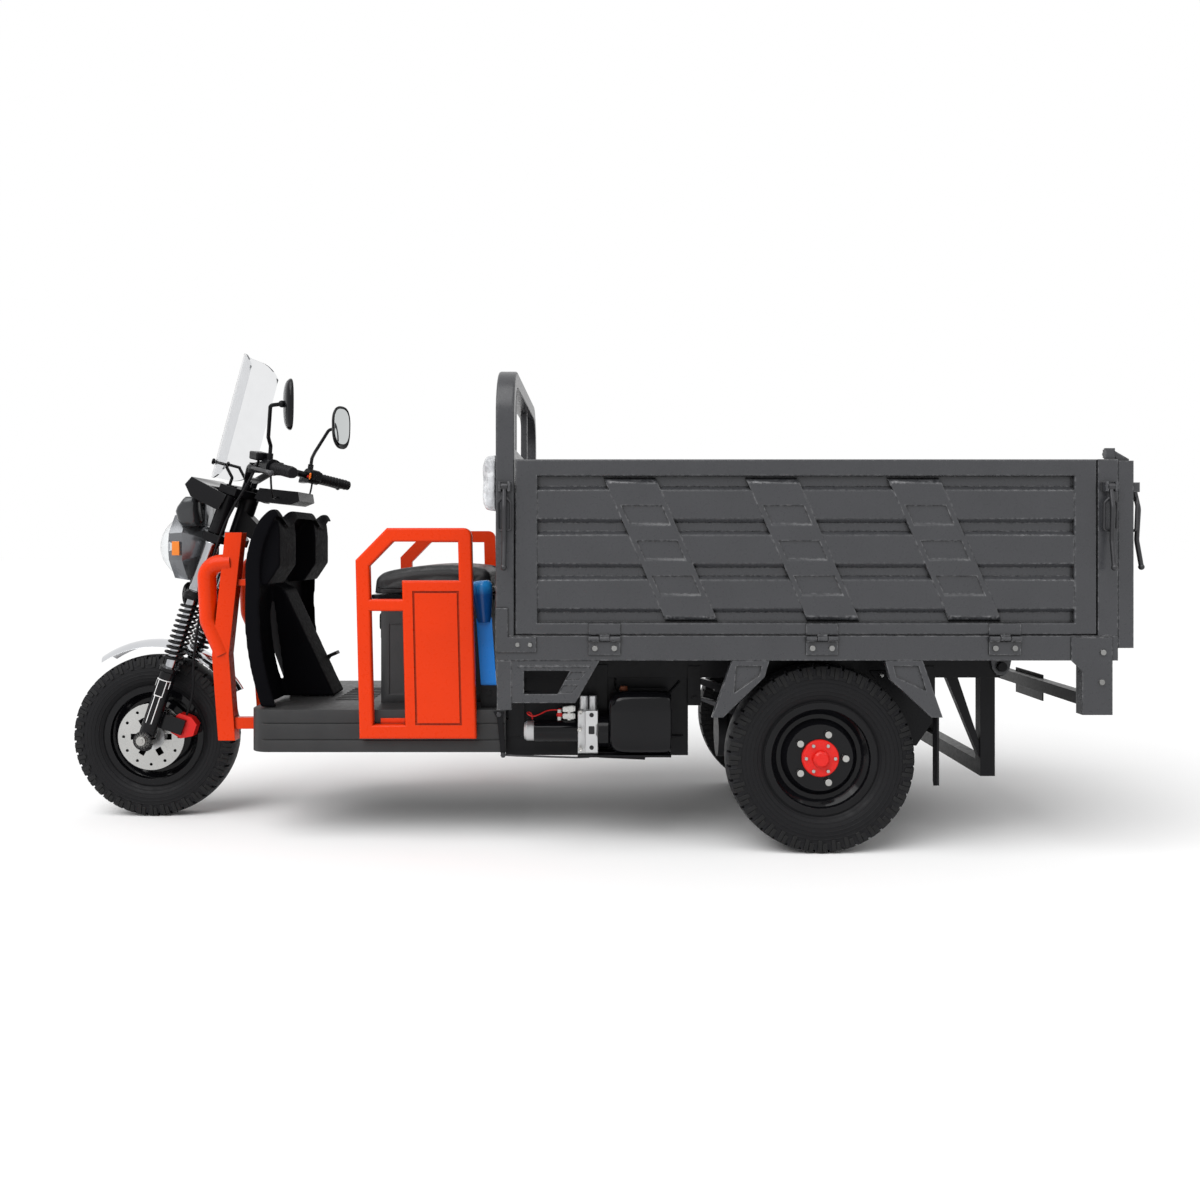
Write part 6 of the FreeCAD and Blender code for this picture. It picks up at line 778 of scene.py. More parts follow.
def oval(width: float, height: float, power: float, flare: float = 0.0,
         steps: int = 48) -> list[tuple[float, float]]:
    """Draw a rounded outline that can widen towards its top.

    Args:
        width: Half its width.
        height: Half its height.
        power: 2 for an ellipse, more for squarer corners.
        flare: The share by which its top is wider than its middle.
        steps: Its points.

    Returns:
        The outline's points.
    """
    spots = []
    for k in range(steps):
        a = math.tau * k / steps
        x = math.copysign(abs(math.cos(a)) ** (2 / power), math.cos(a))
        z = math.copysign(abs(math.sin(a)) ** (2 / power), math.sin(a))
        spots.append((width * x * (1 + flare * z), height * z))
    return spots


@dataclass
class Studio:
    """The floor, the lights and the camera."""

    eye: Point = (0.093, -3.70, 0.91)
    sensor: float = 36.0
    frame_pixels: float = 1200.0
    focal_pixels: float = 1090.0
    shift_pixels: float = -55.0
    surround: float = 0.55
    floor_half: float = 60.0
    sky_from: Point = (-0.45, -0.62, 1.0)
    sky_strength: float = 2.0
    sky_spread: float = 55.0
    strips: tuple[tuple[str, Point, Point, float, float], ...] = (
        ("strip", (-2.2, -3.6, 3.4), (-0.2, 0.0, 0.6), 2.4, 34.0),
        ("rear_strip", (3.2, -2.4, 3.0), (0.8, 0.0, 0.7), 2.0, 18.0),
    )

    def build(self) -> None:
        """Set up the view of the photograph."""
        scene = bpy.context.scene
        scene.view_settings.view_transform = "Standard"
        self._camera(scene)
        self._world(scene)
        self._floor()
        sky = bpy.data.lights.new("sky_panel", "SUN")
        sky.energy = self.sky_strength
        sky.angle = math.radians(self.sky_spread)
        self._hang(sky, (0, 0, 0), -Vector(self.sky_from))
        for name, at, aim, size, power in self.strips:
            panel = bpy.data.lights.new(name, "AREA")
            panel.shape = "SQUARE"
            panel.size = size
            panel.energy = power
            self._hang(panel, at, Vector(aim) - Vector(at))

    def _camera(self, scene: bpy.types.Scene) -> None:
        """Place the camera at the photograph's view.

        Args:
            scene: The scene that gets it.
        """
        data = bpy.data.cameras.new("camera")
        data.sensor_width = self.sensor
        data.lens = self.sensor * self.focal_pixels / self.frame_pixels
        data.shift_y = self.shift_pixels / self.frame_pixels
        camera = bpy.data.objects.new("camera", data)
        camera.location = self.eye
        camera.rotation_euler = (math.radians(90.0), 0.0, 0.0)
        scene.collection.objects.link(camera)
        scene.camera = camera

    def _world(self, scene: bpy.types.Scene) -> None:
        """Make a plain pale surround.

        Args:
            scene: The scene that gets it.
        """
        world = bpy.data.worlds.new("studio")
        world.use_nodes = True
        tree = world.node_tree
        light = tree.nodes["Background"]
        light.inputs[0].default_value = (1.0, 1.0, 1.0, 1.0)
        light.inputs[1].default_value = self.surround
        shown = tree.nodes.new("ShaderNodeBackground")
        shown.inputs[1].default_value = 1.0
        shown.inputs[0].default_value = (1.0, 1.0, 1.0, 1.0)
        rays = tree.nodes.new("ShaderNodeLightPath")
        mix = tree.nodes.new("ShaderNodeMixShader")
        share = rays.outputs["Is Camera Ray"]
        for kind in ("Is Glossy Ray", "Is Transmission Ray"):
            seen = tree.nodes.new("ShaderNodeMath")
            seen.operation = "MAXIMUM"
            tree.links.new(share, seen.inputs[0])
            tree.links.new(rays.outputs[kind], seen.inputs[1])
            share = seen.outputs[0]
        tree.links.new(share, mix.inputs[0])
        tree.links.new(light.outputs[0], mix.inputs[1])
        tree.links.new(shown.outputs[0], mix.inputs[2])
        tree.links.new(mix.outputs[0], tree.nodes["World Output"].inputs[0])
        scene.world = world

    def _floor(self) -> None:
        """Lay a wide pale floor."""
        half = self.floor_half
        floor = Piece.mesh("floor", [(-half, -half, 0), (half, -half, 0), (half, half, 0), (-half, half, 0)],
                           [(0, 1, 2, 3)], smooth=False)
        shader = Shader("studio_floor")
        shade = shader.ramp(shader.noise(0.6), 0.3, 0.7, 0.965, 0.975)
        tone = shader.add("ShaderNodeCombineColor")
        shader.feed(tone, Red=shade, Green=shade, Blue=shade)
        shader.feed(shader.surface, Base_Color=tone.outputs[0], Roughness=0.9, Specular_IOR_Level=0.0)
        floor.data.materials.append(shader.material)

    def _hang(self, data: bpy.types.Light, at: Point, way: Vector) -> None:
        """Hang one light.

        Args:
            data: The light.
            at: Where it hangs.
            way: The direction in which it shines.
        """
        lamp = bpy.data.objects.new(data.name, data)
        lamp.location = at
        lamp.rotation_euler = way.to_track_quat("-Z", "Y").to_euler()
        bpy.context.scene.collection.objects.link(lamp)


@dataclass
class Running:
    """The wheels, axles, springs and fork."""

    disc_face: float = -0.0572
    disc_bore: float = 0.045
    hub_radius: float = 0.0386
    axle_radius: float = 0.0156
    tube_radius: float = 0.0186
    clamp_run: float = 0.700
    hub_bolt: Profile = ((0.0375, 0.0485), (0.0403, math.inf))
    hub_cap: Profile = ((-1.0, 0.0556), (0.0284, math.inf))
    wheel_nut: Profile = ((0.0625, 0.0855), (0.0282, math.inf))
    brake_drum: Profile = ((-1.0, 0.0968), (-math.inf, 0.0218))

    def dress(self, shop: Paintshop) -> None:
        """Put the finishes on the running gear.

        Args:
            shop: The paintshop.
        """
        shop.node("front_tyre", Tread("front_tyre_rubber", FRONT_HUB, FRONT_HUB[2]))
        for side, sign in SIDES:
            shop.node(f"rear_tyre_{side}", Tread(f"rear_tyre_{side}_rubber", REAR_HUB, REAR_HUB[2]))
            zones = ((ZINC, self.hub_bolt), (HUB_RED, self.hub_cap), (ZINC, self.wheel_nut),
                     (CAST_GREY, self.brake_drum))
            shop.node(f"rear_wheel_{side}", WHEEL_BLACK,
                      *((finish, self._zone(sign, *zone)) for finish, zone in zones))
        shop.node(
            "front_wheel", WHEEL_BLACK,
            (DISC_STEEL, lambda c, n: (c.y < self.disc_face
                                       and from_axis(c, FRONT_HUB, Y_AXIS)[0] > self.disc_bore)),
            (CAST_ALLOY, lambda c, n: from_axis(c, FRONT_HUB, Y_AXIS)[0] < self.hub_radius),
        )
        for node, finish in (("rear_axle", CAST_GREY), ("leaf_springs", DARK_STEEL),
                             ("fork_springs", FRAME_BLACK), ("front_fender", CHROME),
                             ("brake_caliper", CALIPER_RED)):
            shop.node(node, finish)
        shop.node("fork_legs", GLOSS_MOULDING,
                  (ZINC, lambda c, n: from_axis(c, FRONT_HUB, Y_AXIS)[0] < self.axle_radius))
        shop.node("fork_crown", FRAME_BLACK, (FORK_CHROME, self._on_tube))

    def _on_tube(self, centre: Vector, normal: Vector) -> bool:
        """Tell whether a face is on one of the fork's two bright tubes.

        Args:
            centre: The face's centre.
            normal: The face's normal; not used.

        Returns:
            Whether it is.
        """
        for _, sign in SIDES:
            radius, run = from_axis(centre, (FRONT_HUB[0], sign * FORK_SPREAD, FRONT_HUB[2]), FORK_LEAN)
            if radius < self.tube_radius and run < self.clamp_run:
                return True
        return False

    def _zone(self, sign: float, radii: tuple[float, float], outs: tuple[float, float]) -> Test:
        """Make a test for one ring of a rear wheel's faces.

        Args:
            sign: -1 on the left, 1 on the right.
            radii: The least and greatest distance from the wheel's axis.
            outs: The least and greatest distance outwards from the wheel's middle.

        Returns:
            The test.
        """
        hub = (REAR_HUB[0], sign * REAR_HUB[1], REAR_HUB[2])

        def within(centre: Vector, normal: Vector) -> bool:
            """Tell whether a face lies in the ring.

            Args:
                centre: The face's centre.
                normal: The face's normal; not used.

            Returns:
                Whether it does.
            """
            radius, out = from_axis(centre, hub, (0.0, sign, 0.0))
            return radii[0] < radius < radii[1] and outs[0] < out < outs[1]

        return within


@dataclass
class Chassis:
    """The frame, the foot deck, the shield, the guards and the hydraulic unit."""

    finishes: tuple[tuple[Finish, tuple[str, ...]], ...] = (
        (FRAME_BLACK, ("main_frame", "frame_neck", "ram_barrel")),
        (DECK_MOULDING, ("foot_deck",)),
        (MOULDING, ("leg_shield", "battery_pack", "seat_base", "oil_tank")),
        (GUARD_ORANGE, ("crash_bars", "side_frames")),
        (CASE_GREY, ("battery_box",)),
        (SOFT_RUBBER, ("brake_pedal",)),
        (CHROME, ("ram_stage_1", "ram_stage_2", "ram_stage_3")),
    )
    motor_end: float = -0.1063
    valve_block: tuple[float, float] = (0.0255, 0.0885)
    terminal: tuple[float, float] = (0.02, 0.3802)
    lever_top: float = 0.772
    lever_grip: float = 0.645

    def dress(self, shop: Paintshop) -> None:
        """Put the finishes on the chassis.

        Args:
            shop: The paintshop.
        """
        for finish, nodes in self.finishes:
            for node in nodes:
                shop.node(node, finish)
        low, high = self.valve_block
        shop.node(
            "hydraulic_pump", GLOSS_MOULDING,
            (CAST_ALLOY, lambda c, n: c.x < self.motor_end or low < c.x < high),
            (ZINC, lambda c, n: c.x < self.terminal[0] and c.z > self.terminal[1]),
        )
        shop.node("parking_brake", LEVER_BLUE, (LEVER_PALE, lambda c, n: c.z > self.lever_top),
                  (LEVER_DARK, lambda c, n: c.z > self.lever_grip))


@dataclass
class Cockpit:
    """The handlebar, its controls, the lamp and the screen."""

    bar_end: Point = (-0.850, -0.360, 1.132)
    bar_run: Point = (-0.6546, 0.7376, 0.1660)
    grip_radius: float = 0.021
    grip_length: float = 0.1285
    bowl_radius: float = 0.0925
    bowl_depth: float = 0.0585
    marker_x: tuple[float, float] = (-1.3178, -1.2922)
    marker_z: tuple[float, float] = (0.8755, 0.9225)
    marker_out: float = 0.1052
    lamp_top: float = 1.045
    lamp_foot: float = 0.787
    screen_up: Vector = field(default_factory=lambda: Vector((0.285, 0.0, 0.958)))

    def dress(self, shop: Paintshop) -> None:
        """Put the finishes on the cockpit.

        Args:
            shop: The paintshop.
        """
        shop.node("handlebar", MOULDING, (SOFT_RUBBER, self._on_grip))
        for side, _ in SIDES:
            shop.node(f"brake_lever_{side}", DARK_STEEL)
            shop.node(f"mirror_{side}", GLOSS_MOULDING)
        shop.node("headlight", LAMP_GREY, (CHROME, self._in_bowl), (AMBER, self._on_marker),
                  (GLOSS_MOULDING, lambda c, n: not self.lamp_foot <= c.z <= self.lamp_top))
        shop.node("headlight_lens", LENS_CLEAR)
        # The windscreen's cut edges carry painted shade.
        shop.node("windscreen", SCREEN_CLEAR,
                  (SCREEN_EDGE_SHADE, lambda c, n: abs(n.dot(self.screen_up)) > 0.7 or abs(n.y) > 0.93))
        for node in ("throttle_grip", "brake_hose"):
            shop.node(node, SOFT_RUBBER)

    def _on_grip(self, centre: Vector, normal: Vector) -> bool:
        """Tell whether a face is on the left grip.

        Args:
            centre: The face's centre.
            normal: The face's normal; not used.

        Returns:
            Whether it is.
        """
        radius, run = from_axis(centre, self.bar_end, self.bar_run)
        return radius < self.grip_radius and run < self.grip_length

    def _in_bowl(self, centre: Vector, normal: Vector) -> bool:
        """Tell whether a face is in the lamp's reflector.

        Args:
            centre: The face's centre.
            normal: The face's normal.

        Returns:
            Whether it is.
        """
        radius, run = from_axis(centre, LAMP_CENTRE, X_AXIS)
        return radius < self.bowl_radius and -0.001 < run < self.bowl_depth and normal.x < 0.05

    def _on_marker(self, centre: Vector, normal: Vector) -> bool:
        """Tell whether a face is on one of the lamp's two amber markers.

        Args:
            centre: The face's centre.
            normal: The face's normal; not used.

        Returns:
            Whether it is.
        """
        (left, right), (low, high) = self.marker_x, self.marker_z
        return left < centre.x < right and abs(centre.y) > self.marker_out and low < centre.z < high


@dataclass
class CargoBox:
    """The tipping box with its gates and latches."""

    panels: tuple[str, ...] = ("box_rails", "front_wall", "head_guard", "box_brackets", "side_gate_left",
                               "side_gate_right", "tailgate", "side_skirts")
    bed: float = 0.6465
    bolt_out: float = 0.5541
    bolt_rows: tuple[float, float] = (0.6035, 0.6288)
    post_bolt_out: float = 0.5533
    post_foot: float = 0.70
    flap_top: float = 0.405
    lens_face: float = 1.549
    lens_out: float = 0.3

    def dress(self, shop: Paintshop) -> None:
        """Put the finishes on the box.

        Args:
            shop: The paintshop.
        """
        shop.node("box_floor", BOX_GREY, (BED_GREY, lambda c, n: n.z > 0.9 and c.z > self.bed))
        for name in self.panels:
            shop.node(name, BOX_GREY, (BOLT_STEEL, self._is_bolt))
        shop.node("rear_posts", BOX_GREY,
                  (BOLT_STEEL, lambda c, n: abs(c.y) > self.post_bolt_out and c.z < self.post_foot))
        shop.node("mudguards", BOX_GREY, (SOFT_RUBBER, lambda c, n: c.z < self.flap_top))
        shop.node("tail_lamps", FRAME_BLACK,
                  (TAIL_RED, lambda c, n: c.x > self.lens_face and abs(c.y) > self.lens_out))
        shop.node("backrest_pad", PAD_WRAP)
        for place in ("front", "rear", "tail"):
            for side, _ in SIDES:
                shop.node(f"latch_{place}_{side}", DARK_STEEL)

    def _is_bolt(self, centre: Vector, normal: Vector) -> bool:
        """Tell whether a face is on a bolt head of the hinges and corner plates.

        Args:
            centre: The face's centre.
            normal: The face's normal; not used.

        Returns:
            Whether it is.
        """
        low, high = self.bolt_rows
        return abs(centre.y) > self.bolt_out and low < centre.z < high


@dataclass
class Seat:
    """The rider's cushion."""

    node: str = "seat_cushion"

    def dress(self, shop: Paintshop) -> None:
        """Put the finish on the cushion's solid.

        Args:
            shop: The paintshop.
        """
        shop.node(self.node, SEAT_COVER)


class Fitter:
    """Puts a finish and a body on the scene's own pieces."""

    def __init__(self, shop: Paintshop) -> None:
        """Keep the paintshop.

        Args:
            shop: The paintshop.
        """
        self.shop = shop

    def fit(self, item: bpy.types.Object, finish: AnyFinish, body: str) -> bpy.types.Object:
        """Finish one piece and let it ride on a body.

        Args:
            item: The piece.
            finish: Its finish.
            body: The body it moves with.

        Returns:
            The same piece.
        """
        self._paint(item, finish)
        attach(item, body)
        LOG.info("fitted %s on %s", item.name, body)
        return item

    def _paint(self, item: bpy.types.Object, finish: AnyFinish) -> None:
        """Give a piece one finish.

        Args:
            item: The piece.
            finish: Its finish.
        """
        item.data.materials.clear()
        item.data.materials.append(self.shop.material(finish))

    def cord(self, name: str, route: Sequence[Point], diameter: float, finish: Finish,
             body: str) -> bpy.types.Object:
        """Lay one free cord along its route.

        Args:
            name: The cord's name.
            route: Its points, from where it leaves the object to where it goes back in.
            diameter: Its thickness.
            finish: Its finish.
            body: The body it moves with.

        Returns:
            The cord.
        """
        data = self._line(name, route)
        self._thicken(data, diameter)
        item = self.fit(Piece.link(name, data), finish, body)
        return item

    def hose(self, name: str, route: Sequence[Point], length: float, diameter: float, finish: Finish,
             slot: str, across: tuple[str, str, Point, Point]) -> bpy.types.Object:
        """Lay a hose along its route, as one mesh that rides on no body.

        Args:
            name: The hose's name.
            route: Its points, from where it leaves the object to where it goes back in.
            length: Its length; not used.
            diameter: Its thickness.
            finish: Its finish.
            slot: The record's slot; not used.
            across: The body at its end, the body at its start, and the points between which it gives; not
                used.

        Returns:
            The hose.
        """
        data = self._line(name, route)
        guide = Piece.link(f"{name}_guide", data)
        path = [tuple(v.co) for v in Piece.now(guide).vertices]
        self._thicken(data, diameter)
        item = Piece.link(name, Piece.now(guide), smooth=True)
        bpy.data.objects.remove(guide)
        self._paint(item, finish)
        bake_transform(item)
        LOG.info("laid %s", name)
        return item

    @staticmethod
    def _line(name: str, route: Sequence[Point]) -> bpy.types.Curve:
        """Draw a smooth curve along a route.

        Args:
            name: The curve's name.
            route: Its points.

        Returns:
            The curve, still without thickness.
        """
        data = bpy.data.curves.new(name, "CURVE")
        data.dimensions = "3D"
        data.resolution_u = 12
        line = data.splines.new("NURBS")
        line.points.add(len(route) - 1)
        for spot, place in zip(line.points, route):
            spot.co = (*place, 1.0)
        line.order_u = 3
        line.use_endpoint_u = True
        return data

    @staticmethod
    def _thicken(data: bpy.types.Curve, diameter: float) -> None:
        """Make a curve round, with closed ends.

        Args:
            data: The curve.
            diameter: Its thickness.
        """
        data.bevel_depth = diameter / 2
        data.bevel_resolution = 4
        data.use_fill_caps = True

    def copied(self, name: str, node: str) -> bpy.types.Object:
        """Copy a dressed node as a piece of the scene, and let the copy stand for it.

        Args:
            name: The copy's name.
            node: The node, already dressed.

        Returns:
            The copy, which rides on nothing yet.
        """
        item = Piece.link(name, self.shop.nodes[node].data.copy())
        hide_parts(node)
        LOG.info("copied %s as %s", node, name)
        return item

    def rounded(self, name: str, node: str, width: float, body: str,
                angle: float = 20.0) -> bpy.types.Object:
        """Copy a moulded node with rounded edges, and let the copy stand for it.

        Args:
            name: The copy's name.
            node: The node, already dressed.
            width: The width of its rounded edges.
            body: The body it moves with.
            angle: The least angle of an edge that is rounded, in degrees.

        Returns:
            The copy.
        """
        item = self.copied(name, node)
        made = self._merged(item.data)
        for face in made.faces:
            face.smooth = True
        made.to_mesh(item.data)
        made.free()
        Piece.crease(item, width, 3, angle)
        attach(item, body)
        return item

    def eased(self, name: str, node: str, width: float, body: str, least: float,
              shape: Callable[[Vector], None]) -> bpy.types.Object:
        """Copy a pressed panel with its long folds rounded, and let the copy stand for it.

        Args:
            name: The copy's name.
            node: The node, already dressed.
            width: The width of a rounded fold.
            body: The body it moves with.
            least: The shortest edge that is rounded.
            shape: Moves a point of the panel to where the copy has it.

        Returns:
            The copy.
        """
        item = self.copied(name, node)
        custom = item.data.attributes.get("custom_normal")
        if custom:
            item.data.attributes.remove(custom)
        made = self._merged(item.data, shape)
        sharp = [e for e in made.edges
                 if len(e.link_faces) == 2 and e.calc_face_angle(0.0) > math.radians(30)]
        folds = [e for e in sharp if e.is_convex and e.calc_length() >= least]
        for edge in sharp:
            edge.smooth = False
        for edge in folds:
            edge.smooth = True
        bmesh.ops.bevel(made, geom=folds, offset=width, offset_type="OFFSET", segments=3, profile=0.5,
                        affect="EDGES", clamp_overlap=False, material=-1)
        for face in made.faces:
            face.smooth = True
        made.to_mesh(item.data)
        made.free()
        item.modifiers.new("facets", "WEIGHTED_NORMAL").keep_sharp = True
        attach(item, body)
        return item

    @staticmethod
    def _merged(data: bpy.types.Mesh, shape: Callable[[Vector], None] | None = None) -> bmesh.types.BMesh:
        """Open a mesh for editing, with one face for each flat stretch.

        Args:
            data: The mesh.
            shape: Moves a point first, or None.

        Returns:
            The open mesh.
        """
        made = bmesh.new()
        made.from_mesh(data)
        bmesh.ops.remove_doubles(made, verts=made.verts, dist=1e-5)
        if shape is not None:
            for v in made.verts:
                shape(v.co)
        bmesh.ops.dissolve_limit(made, angle_limit=0.02, verts=made.verts, edges=made.edges,
                                 delimit={"MATERIAL"})
        return made

    def softened(self, name: str, node: str, voxel: float, rounds: int) -> bpy.types.Object:
        """Copy a moulded node as a form whose corners all flow.

        Args:
            name: The copy's name.
            node: The node.
            voxel: The size of the copy's faces.
            rounds: How often its surface is smoothed.

        Returns:
            The copy.
        """
        item = Piece.link(name, self.shop.nodes[node].data.copy())
        grid = item.modifiers.new("grid", "REMESH")
        grid.mode = "VOXEL"
        grid.voxel_size = voxel
        flow = item.modifiers.new("flow", "SMOOTH")
        flow.factor = 0.5
        flow.iterations = rounds
        data = Piece.now(item)
        item.modifiers.clear()
        item.data = data
        for face in data.polygons:
            face.use_smooth = True
        return item


@dataclass
class SoftForm:
    """A padded piece that takes a solid's place."""

    node: str
    name: str
    voxel: float
    cap: float
    inset: float
    hold: Callable[[Vector], bool]
    frames: int = 20
    pressure: float = 4.0

    def build(self, nodes: dict[str, bpy.types.Object]) -> bpy.types.Object:
        """Swell a copy of the solid like a stuffed pad.

        Args:
            nodes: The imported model's objects by name.

        Returns:
            The pad, in the solid's place.
        """
        pad = Piece.link(self.name, nodes[self.node].data.copy())
        pad.data.materials.clear()
        self._remesh(pad)
        rest = [v.co.copy() for v in pad.data.vertices]
        self._swell(pad)
        self._limit(pad, rest)
        smooth = pad.modifiers.new("smooth", "SUBSURF")
        smooth.levels = smooth.render_levels = 1
        for face in pad.data.polygons:
            face.use_smooth = True
        return pad

    def _remesh(self, pad: bpy.types.Object) -> None:
        """Give the pad an even mesh, a little smaller than the solid.

        Args:
            pad: The pad.
        """
        even = pad.modifiers.new("even", "REMESH")
        even.mode = "VOXEL"
        even.voxel_size = self.voxel
        self._apply(pad)
        ease = pad.modifiers.new("ease", "SMOOTH")
        ease.iterations = 6
        ease.factor = 0.5
        self._apply(pad)
        for v, n in [(v, v.normal.copy()) for v in pad.data.vertices]:
            v.co -= n * self.inset

    def _swell(self, pad: bpy.types.Object) -> None:
        """Blow the pad up as sewn cloth and keep the result.

        Args:
            pad: The pad.
        """
        group = pad.vertex_groups.new(name="held")
        group.add([v.index for v in pad.data.vertices if self.hold(v.co)], 1.0, "REPLACE")
        cloth = pad.modifiers.new("cloth", "CLOTH")
        cloth.settings.use_pressure = True
        cloth.settings.uniform_pressure_force = self.pressure
        cloth.settings.vertex_group_mass = group.name
        cloth.settings.effector_weights.gravity = 0.0
        cloth.settings.quality = 5
        cloth.point_cache.frame_start = 1
        cloth.point_cache.frame_end = self.frames
        scene = bpy.context.scene
        for step in range(1, self.frames + 1):
            scene.frame_set(step)
        self._apply(pad)
        scene.frame_set(1)

    def _limit(self, pad: bpy.types.Object, rest: list[Vector]) -> None:
        """Keep every point within the cap of where it started.

        Args:
            pad: The pad.
            rest: The points before the swelling.
        """
        for v, start in zip(pad.data.vertices, rest):
            move = v.co - start
            if move.length > self.cap:
                v.co = start + move.normalized() * self.cap

    @staticmethod
    def _apply(pad: bpy.types.Object) -> None:
        """Turn the pad's modifiers into its mesh.

        Args:
            pad: The pad.
        """
        done = Piece.now(pad)
        pad.modifiers.clear()
        pad.data = done


def piping(name: str, pad: bpy.types.Object, height: float, radius: float,
           steps: int = 220, sides: int = 10) -> bpy.types.Object:
    """Run a sewn piping round a pad at one height.

    Args:
        name: The piping's name.
        pad: The pad it is sewn to.
        height: Its height.
        radius: Its radius.
        steps: Points round the pad.
        sides: Corners of its section.

    Returns:
        The piping.
    """
    bpy.context.view_layer.update()
    points = [pad.matrix_world @ v.co for v in pad.data.vertices]
    across, along = (sum(p[axis] for p in points) / len(points) for axis in (0, 1))
    centre = Vector((across, along, height))
    rim: list[Vector] = []
    for k in range(steps):
        angle = math.tau * k / steps
        way = Vector((math.cos(angle), math.sin(angle), 0.0))
        hit, spot, _, _ = pad.ray_cast(centre + way * 2.0, -way)
        if hit:
            rim.append(spot)
    count = len(rim)
    rim = [sum((rim[(k + near) % count] for near in range(-2, 3)), Vector()) / 5 for k in range(count)]
    spots, faces = [], []
    for k, spot in enumerate(rim):
        ahead = (rim[(k + 1) % count] - rim[k - 1]).normalized()
        out = ahead.cross(Vector(UP)).normalized()
        n = (k + 1) % count
        for s in range(sides):
            turn, t = math.tau * s / sides, (s + 1) % sides
            spots.append(spot + (out * math.cos(turn) + Vector(UP) * math.sin(turn)) * radius)
            faces.append((k * sides + s, n * sides + s, n * sides + t, k * sides + t))
    item = Piece.mesh(name, spots, faces)
    Piece.weld(item, close=False)
    return item


@dataclass
class SoftGoods:
    """The rider's cushion and the wrapped pad behind the rider."""

    voxel: float = 0.006
    swell: float = 0.008
    inset: float = 0.004
    piping_height: float = 0.774
    piping_radius: float = 0.0032
    cushion_rest: float = 0.757
    pad_rest: float = -0.215

    def build(self, fitter: Fitter) -> None:
        """Make both pads.

        Args:
            fitter: Finishes the pieces.
        """
        nodes = fitter.shop.nodes
        sizes = (self.voxel, self.swell, self.inset)
        cushion = SoftForm("seat_cushion", "rider_cushion", *sizes,
                           lambda c: c.z < self.cushion_rest).build(nodes)
        fitter.fit(cushion, SEAT_COVER, "seat")
        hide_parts("seat_cushion")
        welt = piping("cushion_piping", cushion, self.piping_height, self.piping_radius)
        fitter.fit(welt, GLOSS_MOULDING, "seat")
        pad = SoftForm("backrest_pad", "wrapped_pad", *sizes, lambda c: c.x > self.pad_rest).build(nodes)
        fitter.fit(pad, PAD_WRAP, "box")
        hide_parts("backrest_pad")


@dataclass
class FrontTrim:
    """The front's cords and the parts inside the lamp."""

    hose_route: tuple[Point, ...] = (
        (-1.2846, -0.068, 0.3445), (-1.2597, -0.070, 0.3990), (-1.2324, -0.150, 0.5598),
        (-1.1867, -0.160, 0.7872), (-1.1317, -0.158, 0.9798), (-1.0145, -0.2198, 1.1315),
        (-0.9978, -0.2161, 1.1804),
    )
    hose_diameter: float = 0.008
    hose_length: float = 0.914
    loom_route: tuple[Point, ...] = (
        (-0.950, 0.247, 1.131), (-0.952, 0.238, 1.100), (-0.958, 0.205, 1.066), (-0.968, 0.150, 1.060),
        (-0.974, 0.0955, 1.068),
    )
    loom_length: float = 0.188
    loom_diameter: float = 0.0065
    projector_at: float = 0.056
    projector: Profile = ((0.0, 0.020), (0.004, 0.034), (0.030, 0.036), (0.034, 0.040), (0.038, 0.040),
                          (0.038, 0.033), (0.030, 0.032))
    dome_foot: float = 0.030
    dome_rise: float = 0.020
    dome_radius: float = 0.0316
    dome_angles: tuple[float, ...] = (0.0, 0.2, 0.45, 0.7, 0.95, 1.2, 1.4, 1.56)
    ring_at: float = 0.030
    ring: Profile = ((0.0, 0.066), (0.004, 0.070), (0.010, 0.071), (0.014, 0.068), (0.012, 0.064),
                     (0.004, 0.062), (0.0, 0.066))

    def build(self, fitter: Fitter) -> None:
        """Make the front's own pieces.

        Args:
            fitter: Finishes the pieces.
        """
        hose = fitter.hose(
            "front_brake_hose", self.hose_route, self.hose_length, self.hose_diameter, SOFT_RUBBER,
            "black_moulding", ("steering", "sliders", self.hose_route[3], self.hose_route[1]))
        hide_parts("brake_hose")
        for side, sign in SIDES:
            route = [(x, sign * y, z) for x, y, z in self.loom_route]
            fitter.cord(f"switch_wire_{side}", route, self.loom_diameter, SOFT_RUBBER,
                        "steering")
        self._lamp_parts(fitter)

    def _lamp_parts(self, fitter: Fitter) -> None:
        """Make the lamp's projector, its lens and its bright ring.

        Args:
            fitter: Finishes the pieces.
        """
        x, y, z = LAMP_CENTRE
        dome = [(self.dome_foot + self.dome_rise * math.sin(a), self.dome_radius * math.cos(a))
                for a in self.dome_angles]
        for name, profile, at, steps, finish, slot in (
                ("lamp_projector", self.projector, self.projector_at, 48, CHROME, "lamp_shell"),
                ("lamp_projector_lens", dome, self.projector_at, 48, LENS_CLEAR, "clear_sheet"),
                ("lamp_ring", self.ring, self.ring_at, 64, WHITE_MOULDING, "lamp_shell")):
            part = Piece.lathe(name, profile, (x + at, y, z), (-1, 0, 0), steps)
            fitter.fit(part, finish, "steering")


